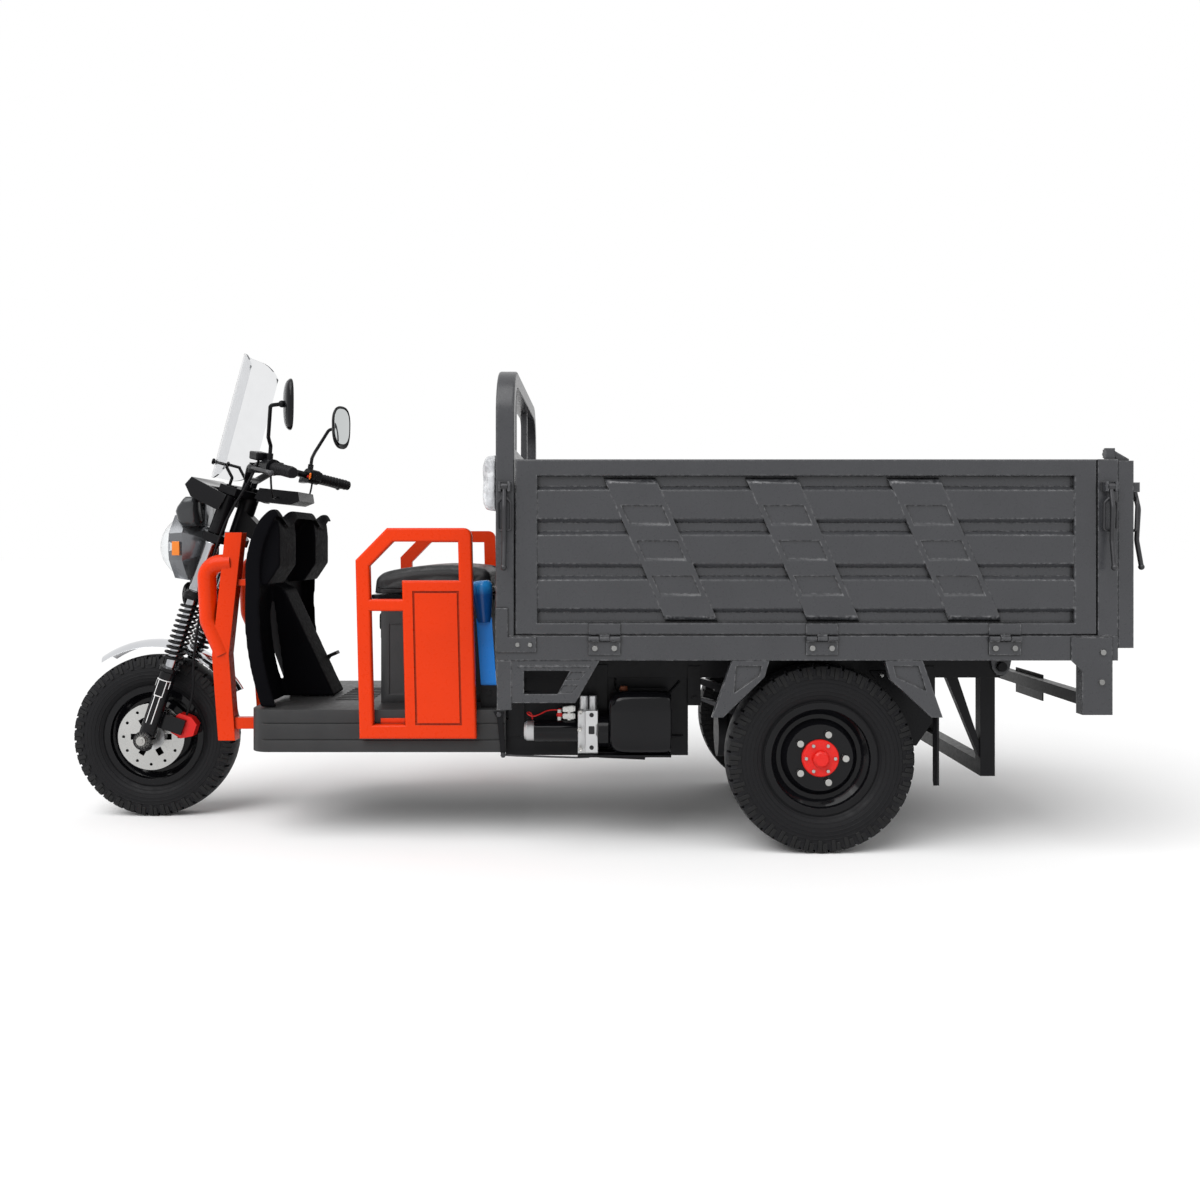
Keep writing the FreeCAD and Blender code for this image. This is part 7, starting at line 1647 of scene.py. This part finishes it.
@dataclass
class Mirrors:
    """The two mirror heads: a domed shell with a rim and a glass set in it."""

    centre: Point = (-0.8705, 0.338, 1.344)
    turn: float = math.radians(24.0)
    half_width: float = 0.0495
    half_height: float = 0.0795
    depth: float = 0.0235
    flare: float = 0.06
    power: float = 2.7
    shell: Profile = ((0.36, 0.90), (0.47, 0.925), (0.50, 0.955), (0.46, 0.985), (0.36, 1.0), (0.16, 0.985),
                      (-0.10, 0.91), (-0.30, 0.77), (-0.43, 0.55), (-0.49, 0.28), (-0.50, 0.06))
    glass: Profile = ((0.37, 0.885), (0.42, 0.885), (0.44, 0.86))
    chin: float = 0.87

    def build(self, fitter: Fitter) -> None:
        """Make both heads.

        Args:
            fitter: Finishes the pieces.
        """
        for side, sign in SIDES:
            rings = [self._ring(sign, depth, size, 1.0) for depth, size in self.shell]
            shell = Piece.loft(f"mirror_shell_{side}", rings)
            fitter.fit(shell, GLOSS_MOULDING, f"{side}_mirror")
            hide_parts(f"mirror_{side}")
            rings = [self._ring(sign, depth, size, self.chin) for depth, size in self.glass]
            glass = Piece.loft(f"mirror_glass_{side}", rings)
            fitter.fit(glass, MIRROR_GLASS, f"{side}_mirror")

    def _ring(self, sign: float, share: float, size: float, chin: float) -> list[Vector]:
        """Draw one ring of a head.

        Args:
            sign: -1 on the left, 1 on the right.
            share: Its place along the head's depth, from -0.5 at the back to 0.5 at the glass.
            size: Its size as a share of the head's outline.
            chin: The share of the outline's lower half that is kept.

        Returns:
            The ring's points.
        """
        out = Vector((math.cos(self.turn), -sign * math.sin(self.turn), 0.0))
        across = Vector((-out.y, out.x, 0.0))
        x, y, z = self.centre
        middle = Vector((x, sign * y, z)) + out * self.depth * share
        ring = oval(self.half_width * size, self.half_height * size, self.power, self.flare)
        return [middle + across * u + Vector((0, 0, v if v > 0 else v * chin)) for u, v in ring]


@dataclass
class ForkTrim:
    """Coil springs, bright sleeves, dark covers and painted lines on the fork."""

    coil_foot: float = 0.250
    coil_top: float = 0.488
    sink: float = 0.060
    leg_radius: float = 0.0273
    line_width: float = 0.0028
    line_thick: float = 0.0003
    line_cuts: int = 10
    sleeve: Profile = ((0.5165, 0.0186), (0.5165, 0.0225), (0.520, 0.0238), (0.530, 0.0238), (0.534, 0.0226),
                       (0.676, 0.0226), (0.680, 0.0240), (0.688, 0.0240), (0.6885, 0.0186), (0.5165, 0.0186))
    cover: Profile = ((0.7165, 0.0186), (0.7165, 0.0258), (0.722, 0.0266), (0.735, 0.0246), (0.838, 0.0236),
                      (0.848, 0.0250), (0.8535, 0.0245), (0.8535, 0.0186), (0.7165, 0.0186))
    lines: tuple[Profile, ...] = (
        ((-0.009, 0.060), (-0.009, 0.150), (-0.014, 0.154), (-0.014, 0.208)),
        ((0.009, 0.060), (0.009, 0.150), (0.014, 0.154), (0.014, 0.208)),
        ((-0.014, 0.154), (0.014, 0.154)),
        ((-0.026, 0.184), (-0.026, 0.208), (0.026, 0.208), (0.026, 0.184)),
    )

    def build(self, fitter: Fitter) -> None:
        """Make the fork's trim.

        Args:
            fitter: Finishes the pieces.
        """
        self._coils(fitter)
        for side, sign in SIDES:
            foot = (FRONT_HUB[0], sign * FORK_SPREAD, FRONT_HUB[2])
            bright = Piece.lathe(f"fork_sleeve_{side}", self.sleeve, foot, FORK_LEAN)
            fitter.fit(bright, FORK_CHROME, "steering")
            dark = Piece.lathe(f"fork_cover_{side}", self.cover, foot, FORK_LEAN)
            fitter.fit(dark, MOULDING, "steering")
            lines = self._painted(f"leg_lines_{side}", Vector(foot), sign)
            fitter.fit(lines, WHITE_STRIPE, "sliders")

    def _coils(self, fitter: Fitter) -> None:
        """Copy the fork's coil springs and let the copy ride on the steering.

        Args:
            fitter: Copies the node.
        """
        coils = fitter.copied("fork_coils", "fork_springs")
        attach(coils, "steering")
        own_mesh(coils)

    def _painted(self, name: str, foot: Vector, sign: float) -> bpy.types.Object:
        """Lay the painted lines round one leg.

        Args:
            name: The object's name.
            foot: The leg's middle line at the axle.
            sign: -1 on the left, 1 on the right.

        Returns:
            The lines as one thin sheet.
        """
        lean = Vector(FORK_LEAN)
        outward, back = Vector((0, sign, 0)), Vector((lean.z, 0, -lean.x))
        points, faces = [], []
        for line in self.lines:
            for start, end in zip(line, line[1:]):
                run = Vector(end) - Vector(start)
                half = run.normalized() * self.line_width / 2
                for k in range(self.line_cuts + 1):
                    mid = Vector(start) - half + (run + half * 2) * (k / self.line_cuts)
                    for flip in (-1.0, 1.0):
                        spot = mid + Vector((-half.y, half.x)) * flip
                        a = spot.x / self.leg_radius
                        around = outward * math.cos(a) + back * math.sin(a)
                        points.append(foot + lean * spot.y + around * self.leg_radius)
                    if k:
                        n = len(points)
                        faces.append((n - 4, n - 3, n - 1, n - 2))
        item = Piece.mesh(name, points, faces)
        item.modifiers.new("film", "SOLIDIFY").thickness = self.line_thick
        return item


@dataclass
class TyreLugs:
    """Raised rubber blocks on the tyres' shoulders."""

    pitches: int = 40
    first: float = 0.5
    raised: float = 0.0032
    sunk: float = 0.0015
    edge: float = 0.0007
    cuts: int = 3
    blocks: tuple[tuple[float, float, int], ...] = ((-2.9, -0.3, 0), (0.3, 2.9, 1))
    front_wall: Profile = ((0.0511, 0.2317), (0.0497, 0.2402), (0.0479, 0.2486), (0.0456, 0.2570),
                           (0.0432, 0.2645))
    rear_wall: Profile = ((0.0583, 0.2375), (0.0570, 0.2468), (0.0552, 0.2560), (0.0529, 0.2651),
                          (0.0502, 0.2735))

    def build(self, fitter: Fitter) -> None:
        """Make the blocks of all three tyres.

        Args:
            fitter: Finishes the pieces.
        """
        left = (REAR_HUB[0], -REAR_HUB[1], REAR_HUB[2])
        for name, hub, wall, body in (("front_lugs", FRONT_HUB, self.front_wall, "front_wheel"),
                                      ("rear_lugs_left", left, self.rear_wall, "left_rear_wheel"),
                                      ("rear_lugs_right", REAR_HUB, self.rear_wall, "right_rear_wheel")):
            points: list[Vector] = []
            faces: list[tuple[int, ...]] = []
            for _, sign in SIDES:
                for pitch in range(self.pitches):
                    turn = math.radians(self.first + 360.0 / self.pitches * pitch)
                    for low, high, skip in self.blocks:
                        span = (turn + math.radians(low), turn + math.radians(high))
                        self._block(points, faces, hub, sign, wall[skip:], span)
            item = Piece.mesh(name, points, faces)
            Piece.weld(item, False)
            fitter.fit(Piece.crease(item, self.edge), LUG_RUBBER, body)

    def _block(self, points: list[Vector], faces: list[tuple[int, ...]], hub: Point, sign: float,
               wall: Profile, span: tuple[float, float]) -> None:
        """Add one closed block to a tyre's points and faces.

        Args:
            points: The points so far.
            faces: The faces so far.
            hub: The wheel's centre.
            sign: The side of the tyre, -1 or 1.
            wall: Pairs of the side wall's half width and radius.
            span: The block's first and last angle.
        """
        start, cuts, rows = len(points), self.cuts, len(wall)
        angles = [span[0] + (span[1] - span[0]) * k / (cuts - 1) for k in range(cuts)]
        for lift in (-self.sunk, self.raised):
            for half, radius in wall:
                out = sign * (half + lift)
                points.extend(Vector(hub) + Vector((radius * math.cos(a), out, radius * math.sin(a)))
                              for a in angles)
        size = rows * cuts
        for i in range(rows - 1):
            for k in range(cuts - 1):
                n = start + i * cuts + k
                faces.append((n, n + 1, n + cuts + 1, n + cuts))
                faces.append((n + size, n + cuts + size, n + cuts + 1 + size, n + 1 + size))
        rim = (list(range(cuts)) + [i * cuts + cuts - 1 for i in range(1, rows)]
               + [size - 1 - k for k in range(1, cuts)] + [i * cuts for i in range(rows - 2, 0, -1)])
        for a, b in zip(rim, rim[1:] + rim[:1]):
            faces.append((start + a, start + b, start + b + size, start + a + size))


@dataclass
class SplashPlates:
    """Dark plates on the frame's rails behind the rear wheels."""

    rail: float = 0.3302
    thick: float = 0.004
    edge: float = 0.0012
    outline: Profile = ((0.925, 0.522), (0.958, 0.470), (0.992, 0.415), (1.022, 0.352), (1.040, 0.292),
                        (1.070, 0.290), (1.128, 0.375), (1.128, 0.522))
    bolts: Profile = ((0.962, 0.508), (1.030, 0.508))
    bolt_head: Profile = ((-0.002, 0.0075), (0.002, 0.0075), (0.004, 0.0062), (0.005, 0.0030))

    def build(self, fitter: Fitter) -> None:
        """Make both plates and their bolts.

        Args:
            fitter: Finishes the pieces.
        """
        for side, sign in SIDES:
            drawn = [(-sign * x, z) for x, z in self.outline]
            plate = Piece.plate(f"splash_plate_{side}", drawn, (0, sign * self.rail, 0), (-sign, 0, 0), UP,
                                self.thick, self.edge)
            fitter.fit(plate, MOULDING, "chassis")
            for k, (x, z) in enumerate(self.bolts):
                at = (x, sign * (self.rail + self.thick), z)
                head = Piece.lathe(f"splash_bolt_{side}_{k}", self.bolt_head, at, (0, sign, 0), 24)
                fitter.fit(head, BOLT_STEEL, "chassis")


@dataclass
class LeafSprings:
    """The rear leaf springs, cut in two halves at the axle."""

    clamp: float = 0.065
    height: float = 0.40
    eyes: tuple[tuple[str, float], ...] = (("front", 0.405), ("rear", 1.085))

    def build(self, fitter: Fitter) -> None:
        """Make both halves of the springs.

        Args:
            fitter: Copies the node.
        """
        middle = REAR_HUB[0]
        for name, eye in self.eyes:
            half = fitter.copied(f"leaf_half_{name}", "leaf_springs")
            way = 1.0 if eye > middle else -1.0
            made = bmesh.new()
            made.from_mesh(half.data)
            bmesh.ops.remove_doubles(made, verts=made.verts, dist=1e-6)
            parts = made.verts[:] + made.edges[:] + made.faces[:]
            cut = bmesh.ops.bisect_plane(made, geom=parts, plane_co=(middle, 0, 0), plane_no=(-way, 0, 0),
                                         clear_outer=True)["geom_cut"]
            bmesh.ops.holes_fill(made, edges=[e for e in cut if isinstance(e, bmesh.types.BMEdge)])
            made.to_mesh(half.data)
            made.free()
            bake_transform(half)


@dataclass
class Dash:
    """The instrument panel's glass and lamps, and the switches on the bar."""

    centre: Point = (-0.975, 0.0, 1.070)
    tilt: float = math.radians(6.0)
    floor: float = 0.0192
    shift: float = 0.004
    glass_thick: float = 0.0028
    lamp_dome: Profile = ((0.0, 0.0032), (0.0008, 0.0031), (0.0014, 0.0024), (0.0017, 0.0012),
                          (0.0018, 0.0002))
    lamps: tuple[tuple[float, Finish], ...] = ((-0.060, AMBER), (-0.052, BUTTON_RED), (0.052, CHROME),
                                               (0.060, AMBER))
    switch: Point = (-0.950, 0.2157, 1.157)
    switch_out: Point = (-0.65, -0.74, 0.17)
    switches: tuple[tuple[str, float, float, Finish], ...] = (
        ("rocker", 0.005, 0.0115, BUTTON_ORANGE), ("push", -0.008, 0.0045, BUTTON_RED))
    switch_half_width: float = 0.0042
    switch_rings: Profile = ((-0.001, 1.0), (0.0022, 1.0), (0.0034, 0.90), (0.0038, 0.70))

    def build(self, fitter: Fitter) -> None:
        """Make the panel and the switches.

        Args:
            fitter: Finishes the pieces.
        """
        along = Vector((math.cos(self.tilt), 0.0, -math.sin(self.tilt)))
        out = Vector((math.sin(self.tilt), 0.0, math.cos(self.tilt)))
        base = Vector(self.centre) + along * self.shift + out * self.floor
        face = base + out * self.glass_thick
        glass = Piece.plate("panel_glass", oval(0.050, 0.078, 7.0), base, along, Y_AXIS, self.glass_thick,
                            0.0006)
        fitter.fit(glass, PANEL_GLASS, "steering")
        screen = Piece.plate("panel_screen", oval(0.024, 0.040, 9.0), face, along, Y_AXIS, 0.0005, 0.0002)
        fitter.fit(screen, PANEL_FACE, "steering")
        for n, (y, finish) in enumerate(self.lamps):
            lamp = Piece.lathe(f"panel_lamp_{n}", self.lamp_dome, face + Vector((0, y, 0)), out, 20)
            fitter.fit(lamp, finish, "steering")
        for side, sign in SIDES:
            self._switches(fitter, side, sign)

    def _switches(self, fitter: Fitter, side: str, sign: float) -> None:
        """Make the rocker and the push button of one switch pod.

        Args:
            fitter: Finishes the pieces.
            side: The side's name.
            sign: -1 on the left, 1 on the right.
        """
        out = Vector((self.switch_out[0], sign * self.switch_out[1], self.switch_out[2])).normalized()
        spot = Vector((self.switch[0], sign * self.switch[1], self.switch[2]))
        up = (Vector(UP) - out * out.z).normalized()
        across = up.cross(out)
        for kind, place, half_height, finish in self.switches:
            flat = oval(self.switch_half_width, half_height, 4.0, steps=28)
            rings = [[spot + across * place + out * rise + across * u * share + up * v * share
                      for u, v in flat] for rise, share in self.switch_rings]
            fitter.fit(Piece.loft(f"{kind}_switch_{side}", rings), finish, "steering")


@dataclass
class PumpTrim:
    """The hydraulic unit's tank, wires, plugs and valve plate, and a dark sheet behind it that stands in for
    shade.
    """

    tank_from: Point = (0.1185, -0.392, 0.378)
    tank_half_width: float = 0.0695
    tank_half_height: float = 0.0945
    tank_power: float = 4.6
    tank_rings: Profile = ((0.0, 0.55), (0.0008, 0.68), (0.005, 0.80), (0.013, 0.90), (0.026, 0.965),
                           (0.044, 0.992), (0.070, 1.0), (0.155, 1.0), (0.172, 0.992), (0.181, 0.972),
                           (0.186, 0.94), (0.1872, 0.90))
    cap_at: float = 0.046
    cap_sunk: float = 0.0015
    cap: Profile = ((0.0, 0.0135), (0.003, 0.0135), (0.0035, 0.011), (0.005, 0.011), (0.0055, 0.0115),
                    (0.0105, 0.0110), (0.0115, 0.0095), (0.0118, 0.001))
    foot_at: Point = (0.148, -0.398, 0.272)
    foot: Profile = ((-0.10, 0.012), (0.085, 0.012), (0.081, -0.012), (-0.055, -0.006), (-0.10, 0.003))
    post: Point = (-0.030, -0.392, 0.390)
    boot: Profile = ((0.0, 0.0088), (0.004, 0.0092), (0.012, 0.0080), (0.020, 0.0078), (0.0235, 0.006),
                     (0.0245, 0.001))
    plug_y: float = -0.393
    plugs: Profile = ((0.391, 0.0), (0.413, 0.06))
    plug_rings: tuple[Point, ...] = (
        (-0.020, 0.0060, 0.0070), (-0.014, 0.0075, 0.0085), (-0.002, 0.0075, 0.0085),
        (-0.001, 0.0086, 0.0096), (0.012, 0.0086, 0.0096), (0.013, 0.0070, 0.0080), (0.018, 0.0068, 0.0078),
    )
    wire_routes: tuple[tuple[Point, ...], ...] = (
        ((-0.0365, -0.392, 0.4095), (-0.062, -0.396, 0.412), (-0.090, -0.410, 0.398),
         (-0.112, -0.414, 0.392), (-0.128, -0.402, 0.400), (-0.126, -0.388, 0.404),
         (-0.112, -0.386, 0.396), (-0.112, -0.392, 0.3805)),
        ((-0.010, -0.394, 0.416), (-0.040, -0.388, 0.438), (-0.075, -0.372, 0.446),
         (-0.110, -0.350, 0.452), (-0.140, -0.3205, 0.455)),
    )
    wire_lengths: tuple[float, float] = (0.143, 0.16)
    wire_diameter: float = 0.0042
    valve: tuple[float, float] = (0.068, 0.358)
    valve_face: float = -0.4448
    valve_thick: float = 0.006
    valve_outline: Profile = ((-0.018, -0.066), (0.018, -0.066), (0.018, -0.020), (0.013, -0.014),
                              (0.013, 0.014), (0.018, 0.020), (0.018, 0.058), (-0.018, 0.058))
    port: Profile = ((0.0, 0.0068), (0.0022, 0.0064), (0.0026, 0.0048), (0.0012, 0.0036), (0.0010, 0.0004))
    ports: tuple[tuple[float, float, float, Finish], ...] = (
        (0.0, 0.045, -0.4504, CAST_GREY), (0.0, -0.052, -0.4504, CAST_GREY), (-0.034, 0.052, -0.4450, ZINC),
        (-0.034, -0.058, -0.4450, ZINC), (-0.036, 0.0, -0.4450, ZINC),
    )
    window_face: float = -0.4503
    # Outline of a dark sheet behind the unit that stands in for the shade there.
    shade_sheet: Profile = ((-0.1995, 0.258), (0.366, 0.258), (0.366, 0.512), (-0.1995, 0.512))
    shade_sheet_face: float = -0.3165
    rib_face: float = -0.3190
    rib_radius: float = 0.0042
    ribs: tuple[Profile, ...] = (((0.200, 0.330), (0.340, 0.490)), ((-0.160, 0.320), (0.350, 0.320)),
                                 ((0.140, 0.305), (0.140, 0.505)))

    def build(self, fitter: Fitter) -> None:
        """Make the unit's own pieces.

        Args:
            fitter: Finishes the pieces.
        """
        self._tank(fitter)
        self._plugs(fitter)
        self._valve_plate(fitter)
        self._shade_sheet(fitter)

    def _tank(self, fitter: Fitter) -> None:
        """Make the moulded tank with its round shoulders, its cap and its foot.

        Args:
            fitter: Finishes the pieces.
        """
        x, y, z = self.tank_from
        rings = []
        for run, share in self.tank_rings:
            flat = oval(self.tank_half_width * share, self.tank_half_height * share, self.tank_power,
                        steps=64)
            rings.append([Vector((x + run, y + u, z + v)) for u, v in flat])
        tank = Piece.loft("moulded_tank", rings)
        fitter.fit(tank, GLOSS_MOULDING, "chassis")
        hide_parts("oil_tank")
        top = (x + self.cap_at, y, z + self.tank_half_height - self.cap_sunk)
        fitter.fit(Piece.lathe("tank_cap", self.cap, top, UP, 32), CAP_BROWN, "chassis")
        foot = Piece.plate("tank_foot", self.foot, self.foot_at, X_AXIS, UP, 0.004, 0.0012)
        fitter.fit(foot, FRAME_BLACK, "chassis")

    def _plugs(self, fitter: Fitter) -> None:
        """Make the red boot, the white plugs and the wires on the motor.

        Args:
            fitter: Finishes the pieces.
        """
        boot = Piece.lathe("terminal_boot", self.boot, self.post, UP, 24)
        fitter.fit(boot, RED_WIRE, "chassis")
        for n, (height, lean) in enumerate(self.plugs):
            rings = [[Vector((run, self.plug_y + u, height + v + run * lean))
                      for u, v in oval(half_width, half_height, 6.0, steps=32)]
                     for run, half_width, half_height in self.plug_rings]
            plug = Piece.crease(Piece.loft(f"motor_plug_{n}", rings), 0.0006)
            fitter.fit(plug, WHITE_MOULDING, "chassis")
        wires = zip(self.wire_routes, self.wire_lengths, (RED_WIRE, SOFT_RUBBER))
        for n, (route, length, finish) in enumerate(wires):
            fitter.cord(f"motor_wire_{n}", route, self.wire_diameter, finish, "chassis")

    def _valve_plate(self, fitter: Fitter) -> None:
        """Make the cast plate on the valve block, with its ports and window.

        Args:
            fitter: Finishes the pieces.
        """
        x, z = self.valve
        plate = Piece.plate("valve_plate", self.valve_outline, (x, self.valve_face, z), X_AXIS, UP,
                            self.valve_thick, 0.0012)
        fitter.fit(plate, CAST_ALLOY, "chassis")
        for n, (along, up, out, finish) in enumerate(self.ports):
            port = Piece.lathe(f"valve_port_{n}", self.port, (x + along, out, z + up), (0, -1, 0), 24)
            fitter.fit(port, finish, "chassis")
        window = Piece.plate("valve_window", oval(0.009, 0.012, 8.0, steps=32), (x, self.window_face, z),
                             X_AXIS, UP, 0.0012, 0.0004)
        fitter.fit(window, CAST_GREY, "chassis")

    def _shade_sheet(self, fitter: Fitter) -> None:
        """Make a dark sheet behind the unit, with pressed braces, that stands in for the shade there.

        Args:
            fitter: Finishes the pieces.
        """
        # Painted shade: a black sheet where there is only shade behind the unit.
        sheet = Piece.plate("pump_shade_sheet", self.shade_sheet, (0, self.shade_sheet_face, 0), X_AXIS, UP, 0.003,
                            0.0008)
        fitter.fit(sheet, FRAME_BLACK, "chassis")
        for n, ends in enumerate(self.ribs):
            rib = Piece.bar(f"shade_sheet_rib_{n}", [(x, self.rib_face, z) for x, z in ends], self.rib_radius, 12)
            fitter.fit(rib, FRAME_BLACK, "chassis")


@dataclass
class BrakeLinkage:
    """The rear brake's arm and rod beside the foot deck."""

    pivot: Point = (-0.216, -0.3605, 0.392)
    clevis: Point = (-0.203, -0.360, 0.268)
    pins: tuple[float, float] = (0.0105, 0.0125)
    arm_face: float = -0.3640
    arm: Profile = ((-0.234, 0.402), (-0.200, 0.402), (-0.204, 0.380), (-0.196, 0.275), (-0.197, 0.262),
                    (-0.209, 0.262), (-0.211, 0.275), (-0.222, 0.380))
    rod: tuple[Point, ...] = ((-0.203, -0.3665, 0.268), (-0.170, -0.369, 0.2665), (0.020, -0.394, 0.2655),
                              (0.060, -0.400, 0.268))
    rod_radius: float = 0.0028

    def build(self, fitter: Fitter) -> None:
        """Make the linkage.

        Args:
            fitter: Finishes the pieces.
        """
        arm = Piece.plate("brake_arm", self.arm, (0, self.arm_face, 0), X_AXIS, UP, 0.0045, 0.0010)
        fitter.fit(arm, FRAME_BLACK, "chassis")
        for name, at, out in zip(("arm_pivot", "arm_clevis"), (self.pivot, self.clevis), self.pins):
            profile = ((0.0, 0.0060), (out - 0.004, 0.0060), (out - 0.0038, 0.0085), (out - 0.0005, 0.0085),
                       (out, 0.0075), (out, 0.001))
            fitter.fit(Piece.lathe(name, profile, at, (0, -1, 0), 6), DARK_STEEL, "chassis")
        rod = Piece.bar("brake_rod", self.rod, self.rod_radius, 14)
        fitter.fit(rod, DARK_STEEL, "chassis")


@dataclass
class Mouldings:
    """Moulded shells and pressed panels with soft edges, the lamp's cowl, the lock and the lever's button."""

    rounds: tuple[tuple[str, str, float, str, str], ...] = (
        ("lamp_shell", "headlight", 0.006, "steering", "lamp_shell"),
        ("deck_shell", "foot_deck", 0.005, "chassis", "black_moulding"),
        ("battery_case", "battery_box", 0.006, "chassis", "battery_case"),
    )
    panels: tuple[tuple[str, str, str], ...] = (
        ("gate_panel_left", "side_gate_left", "left_gate"),
        ("gate_panel_right", "side_gate_right", "right_gate"),
    )
    fold: float = 0.0035
    shortest: float = 0.05
    pad_face: float = 0.5485
    pad_lean: float = -0.4344
    pad_slopes: Profile = ((0.687, 0.017), (0.769, -0.006), (0.871, -0.006), (0.973, -0.006), (1.106, -0.017))
    shield_voxel: float = 0.005
    shield_rounds: int = 14
    crown: tuple[float, float] = (0.940, 1.005)
    scallop: float = 0.030
    scallop_at: float = 0.205
    scallop_half: float = 0.095
    tip: float = -0.918
    tip_pull: float = 0.5
    tip_drop: float = 20.0
    cowl_back: float = -1.236
    cowl: tuple[Point, ...] = (
        (0.972, -1.304, 0.086), (0.995, -1.316, 0.097), (1.022, -1.320, 0.104), (1.036, -1.314, 0.106),
        (1.050, -1.303, 0.106), (1.062, -1.294, 0.104), (1.070, -1.287, 0.098),
    )
    lock: Point = (-0.6090, -0.165, 0.663)
    lock_rings: Profile = ((0.0, 1.0), (0.007, 1.0), (0.010, 0.92), (0.011, 0.80))
    button: Point = (-0.2762, -0.300, 0.7977)
    button_out: Point = (-0.0698, 0.0, 0.9976)
    knob: Profile = ((-0.010, 0.0152), (-0.003, 0.0152), (-0.001, 0.0138), (-0.0008, 0.0105),
                     (-0.0025, 0.0092), (-0.0025, 0.0066), (0.0, 0.0052), (0.0012, 0.0030), (0.0014, 0.0004))

    def build(self, fitter: Fitter) -> None:
        """Make the mouldings.

        Args:
            fitter: Finishes the pieces.
        """
        for name, node, width, body, slot in self.rounds:
            fitter.rounded(name, node, width, body)
        for name, node, body in self.panels:
            fitter.eased(name, node, self.fold, body, self.shortest, self._slope_pads)
        shield = fitter.softened("knee_shield", "leg_shield", self.shield_voxel, self.shield_rounds)
        self._shape_top(shield)
        fitter.fit(shield, SHIELD_MOULDING, "chassis")
        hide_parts("leg_shield")
        self._small_parts(fitter)

    def _small_parts(self, fitter: Fitter) -> None:
        """Make the lamp's cowl, the case's lock and the lever's button.

        Args:
            fitter: Finishes the pieces.
        """
        rings = []
        for z, front, half in self.cowl:
            middle, depth = (front + self.cowl_back) / 2, (self.cowl_back - front) / 2
            rings.append([Vector((middle + u, v, z)) for u, v in oval(depth, half, 4.0, steps=56)])
        fitter.fit(Piece.loft("lamp_cowl", rings), LAMP_DARK, "steering")
        x, y, z = self.lock
        flat = oval(0.012, 0.027, 4.5, steps=40)
        rings = [[Vector((x - run, y + u * share, z + v * share)) for u, v in flat]
                 for run, share in self.lock_rings]
        fitter.fit(Piece.loft("case_lock", rings), GLOSS_MOULDING, "chassis")
        knob = Piece.lathe("lever_button", self.knob, self.button, self.button_out, 40)
        fitter.fit(knob, LEVER_DARK, "park_lever")

    def _slope_pads(self, spot: Vector) -> None:
        """Slope the ends and the steps of the pads that are pressed in a drop side.

        Args:
            spot: A point of the drop side, which is moved if it lies on such an edge.
        """
        if abs(abs(spot.y) - self.pad_face) < 1e-4:
            for height, rise in self.pad_slopes:
                if abs(spot.z - height) < 1e-3:
                    spot.z += rise
                    spot.x += rise * self.pad_lean
                    return

    def _shape_top(self, shield: bpy.types.Object) -> None:
        """Dip the shield's top on both sides of its middle and round its two tips.

        Args:
            shield: The shield.
        """
        low, high = self.crown
        for v in shield.data.vertices:
            share = min(1.0, max(0.0, (v.co.z - low) / (high - low)))
            off = (abs(v.co.y) - self.scallop_at) / self.scallop_half
            beyond = max(0.0, v.co.x - self.tip)
            dip = self.scallop * max(0.0, 1.0 - off * off) ** 2
            v.co.x -= share * beyond * self.tip_pull
            v.co.z -= share * (dip + self.tip_drop * beyond * beyond)


def main() -> None:
    """Load the model, dress it and build the scene's own pieces."""
    logging.basicConfig(level=logging.INFO, format="%(message)s")
    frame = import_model()
    shop = Paintshop(frame["nodes"])
    Studio().build()
    for part in (Running(), Chassis(), Cockpit(), CargoBox(), Seat()):
        part.dress(shop)
        LOG.info("dressed %s", type(part).__name__)
    fitter = Fitter(shop)
    for trim in (SoftGoods(), FrontTrim(), Mirrors(), ForkTrim(), LeafSprings(), TyreLugs(), SplashPlates(),
                 Dash(), PumpTrim(), BrakeLinkage(), Mouldings()):
        trim.build(fitter)
        LOG.info("built %s", type(trim).__name__)
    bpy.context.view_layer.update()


if __name__ == "__main__":
    main()
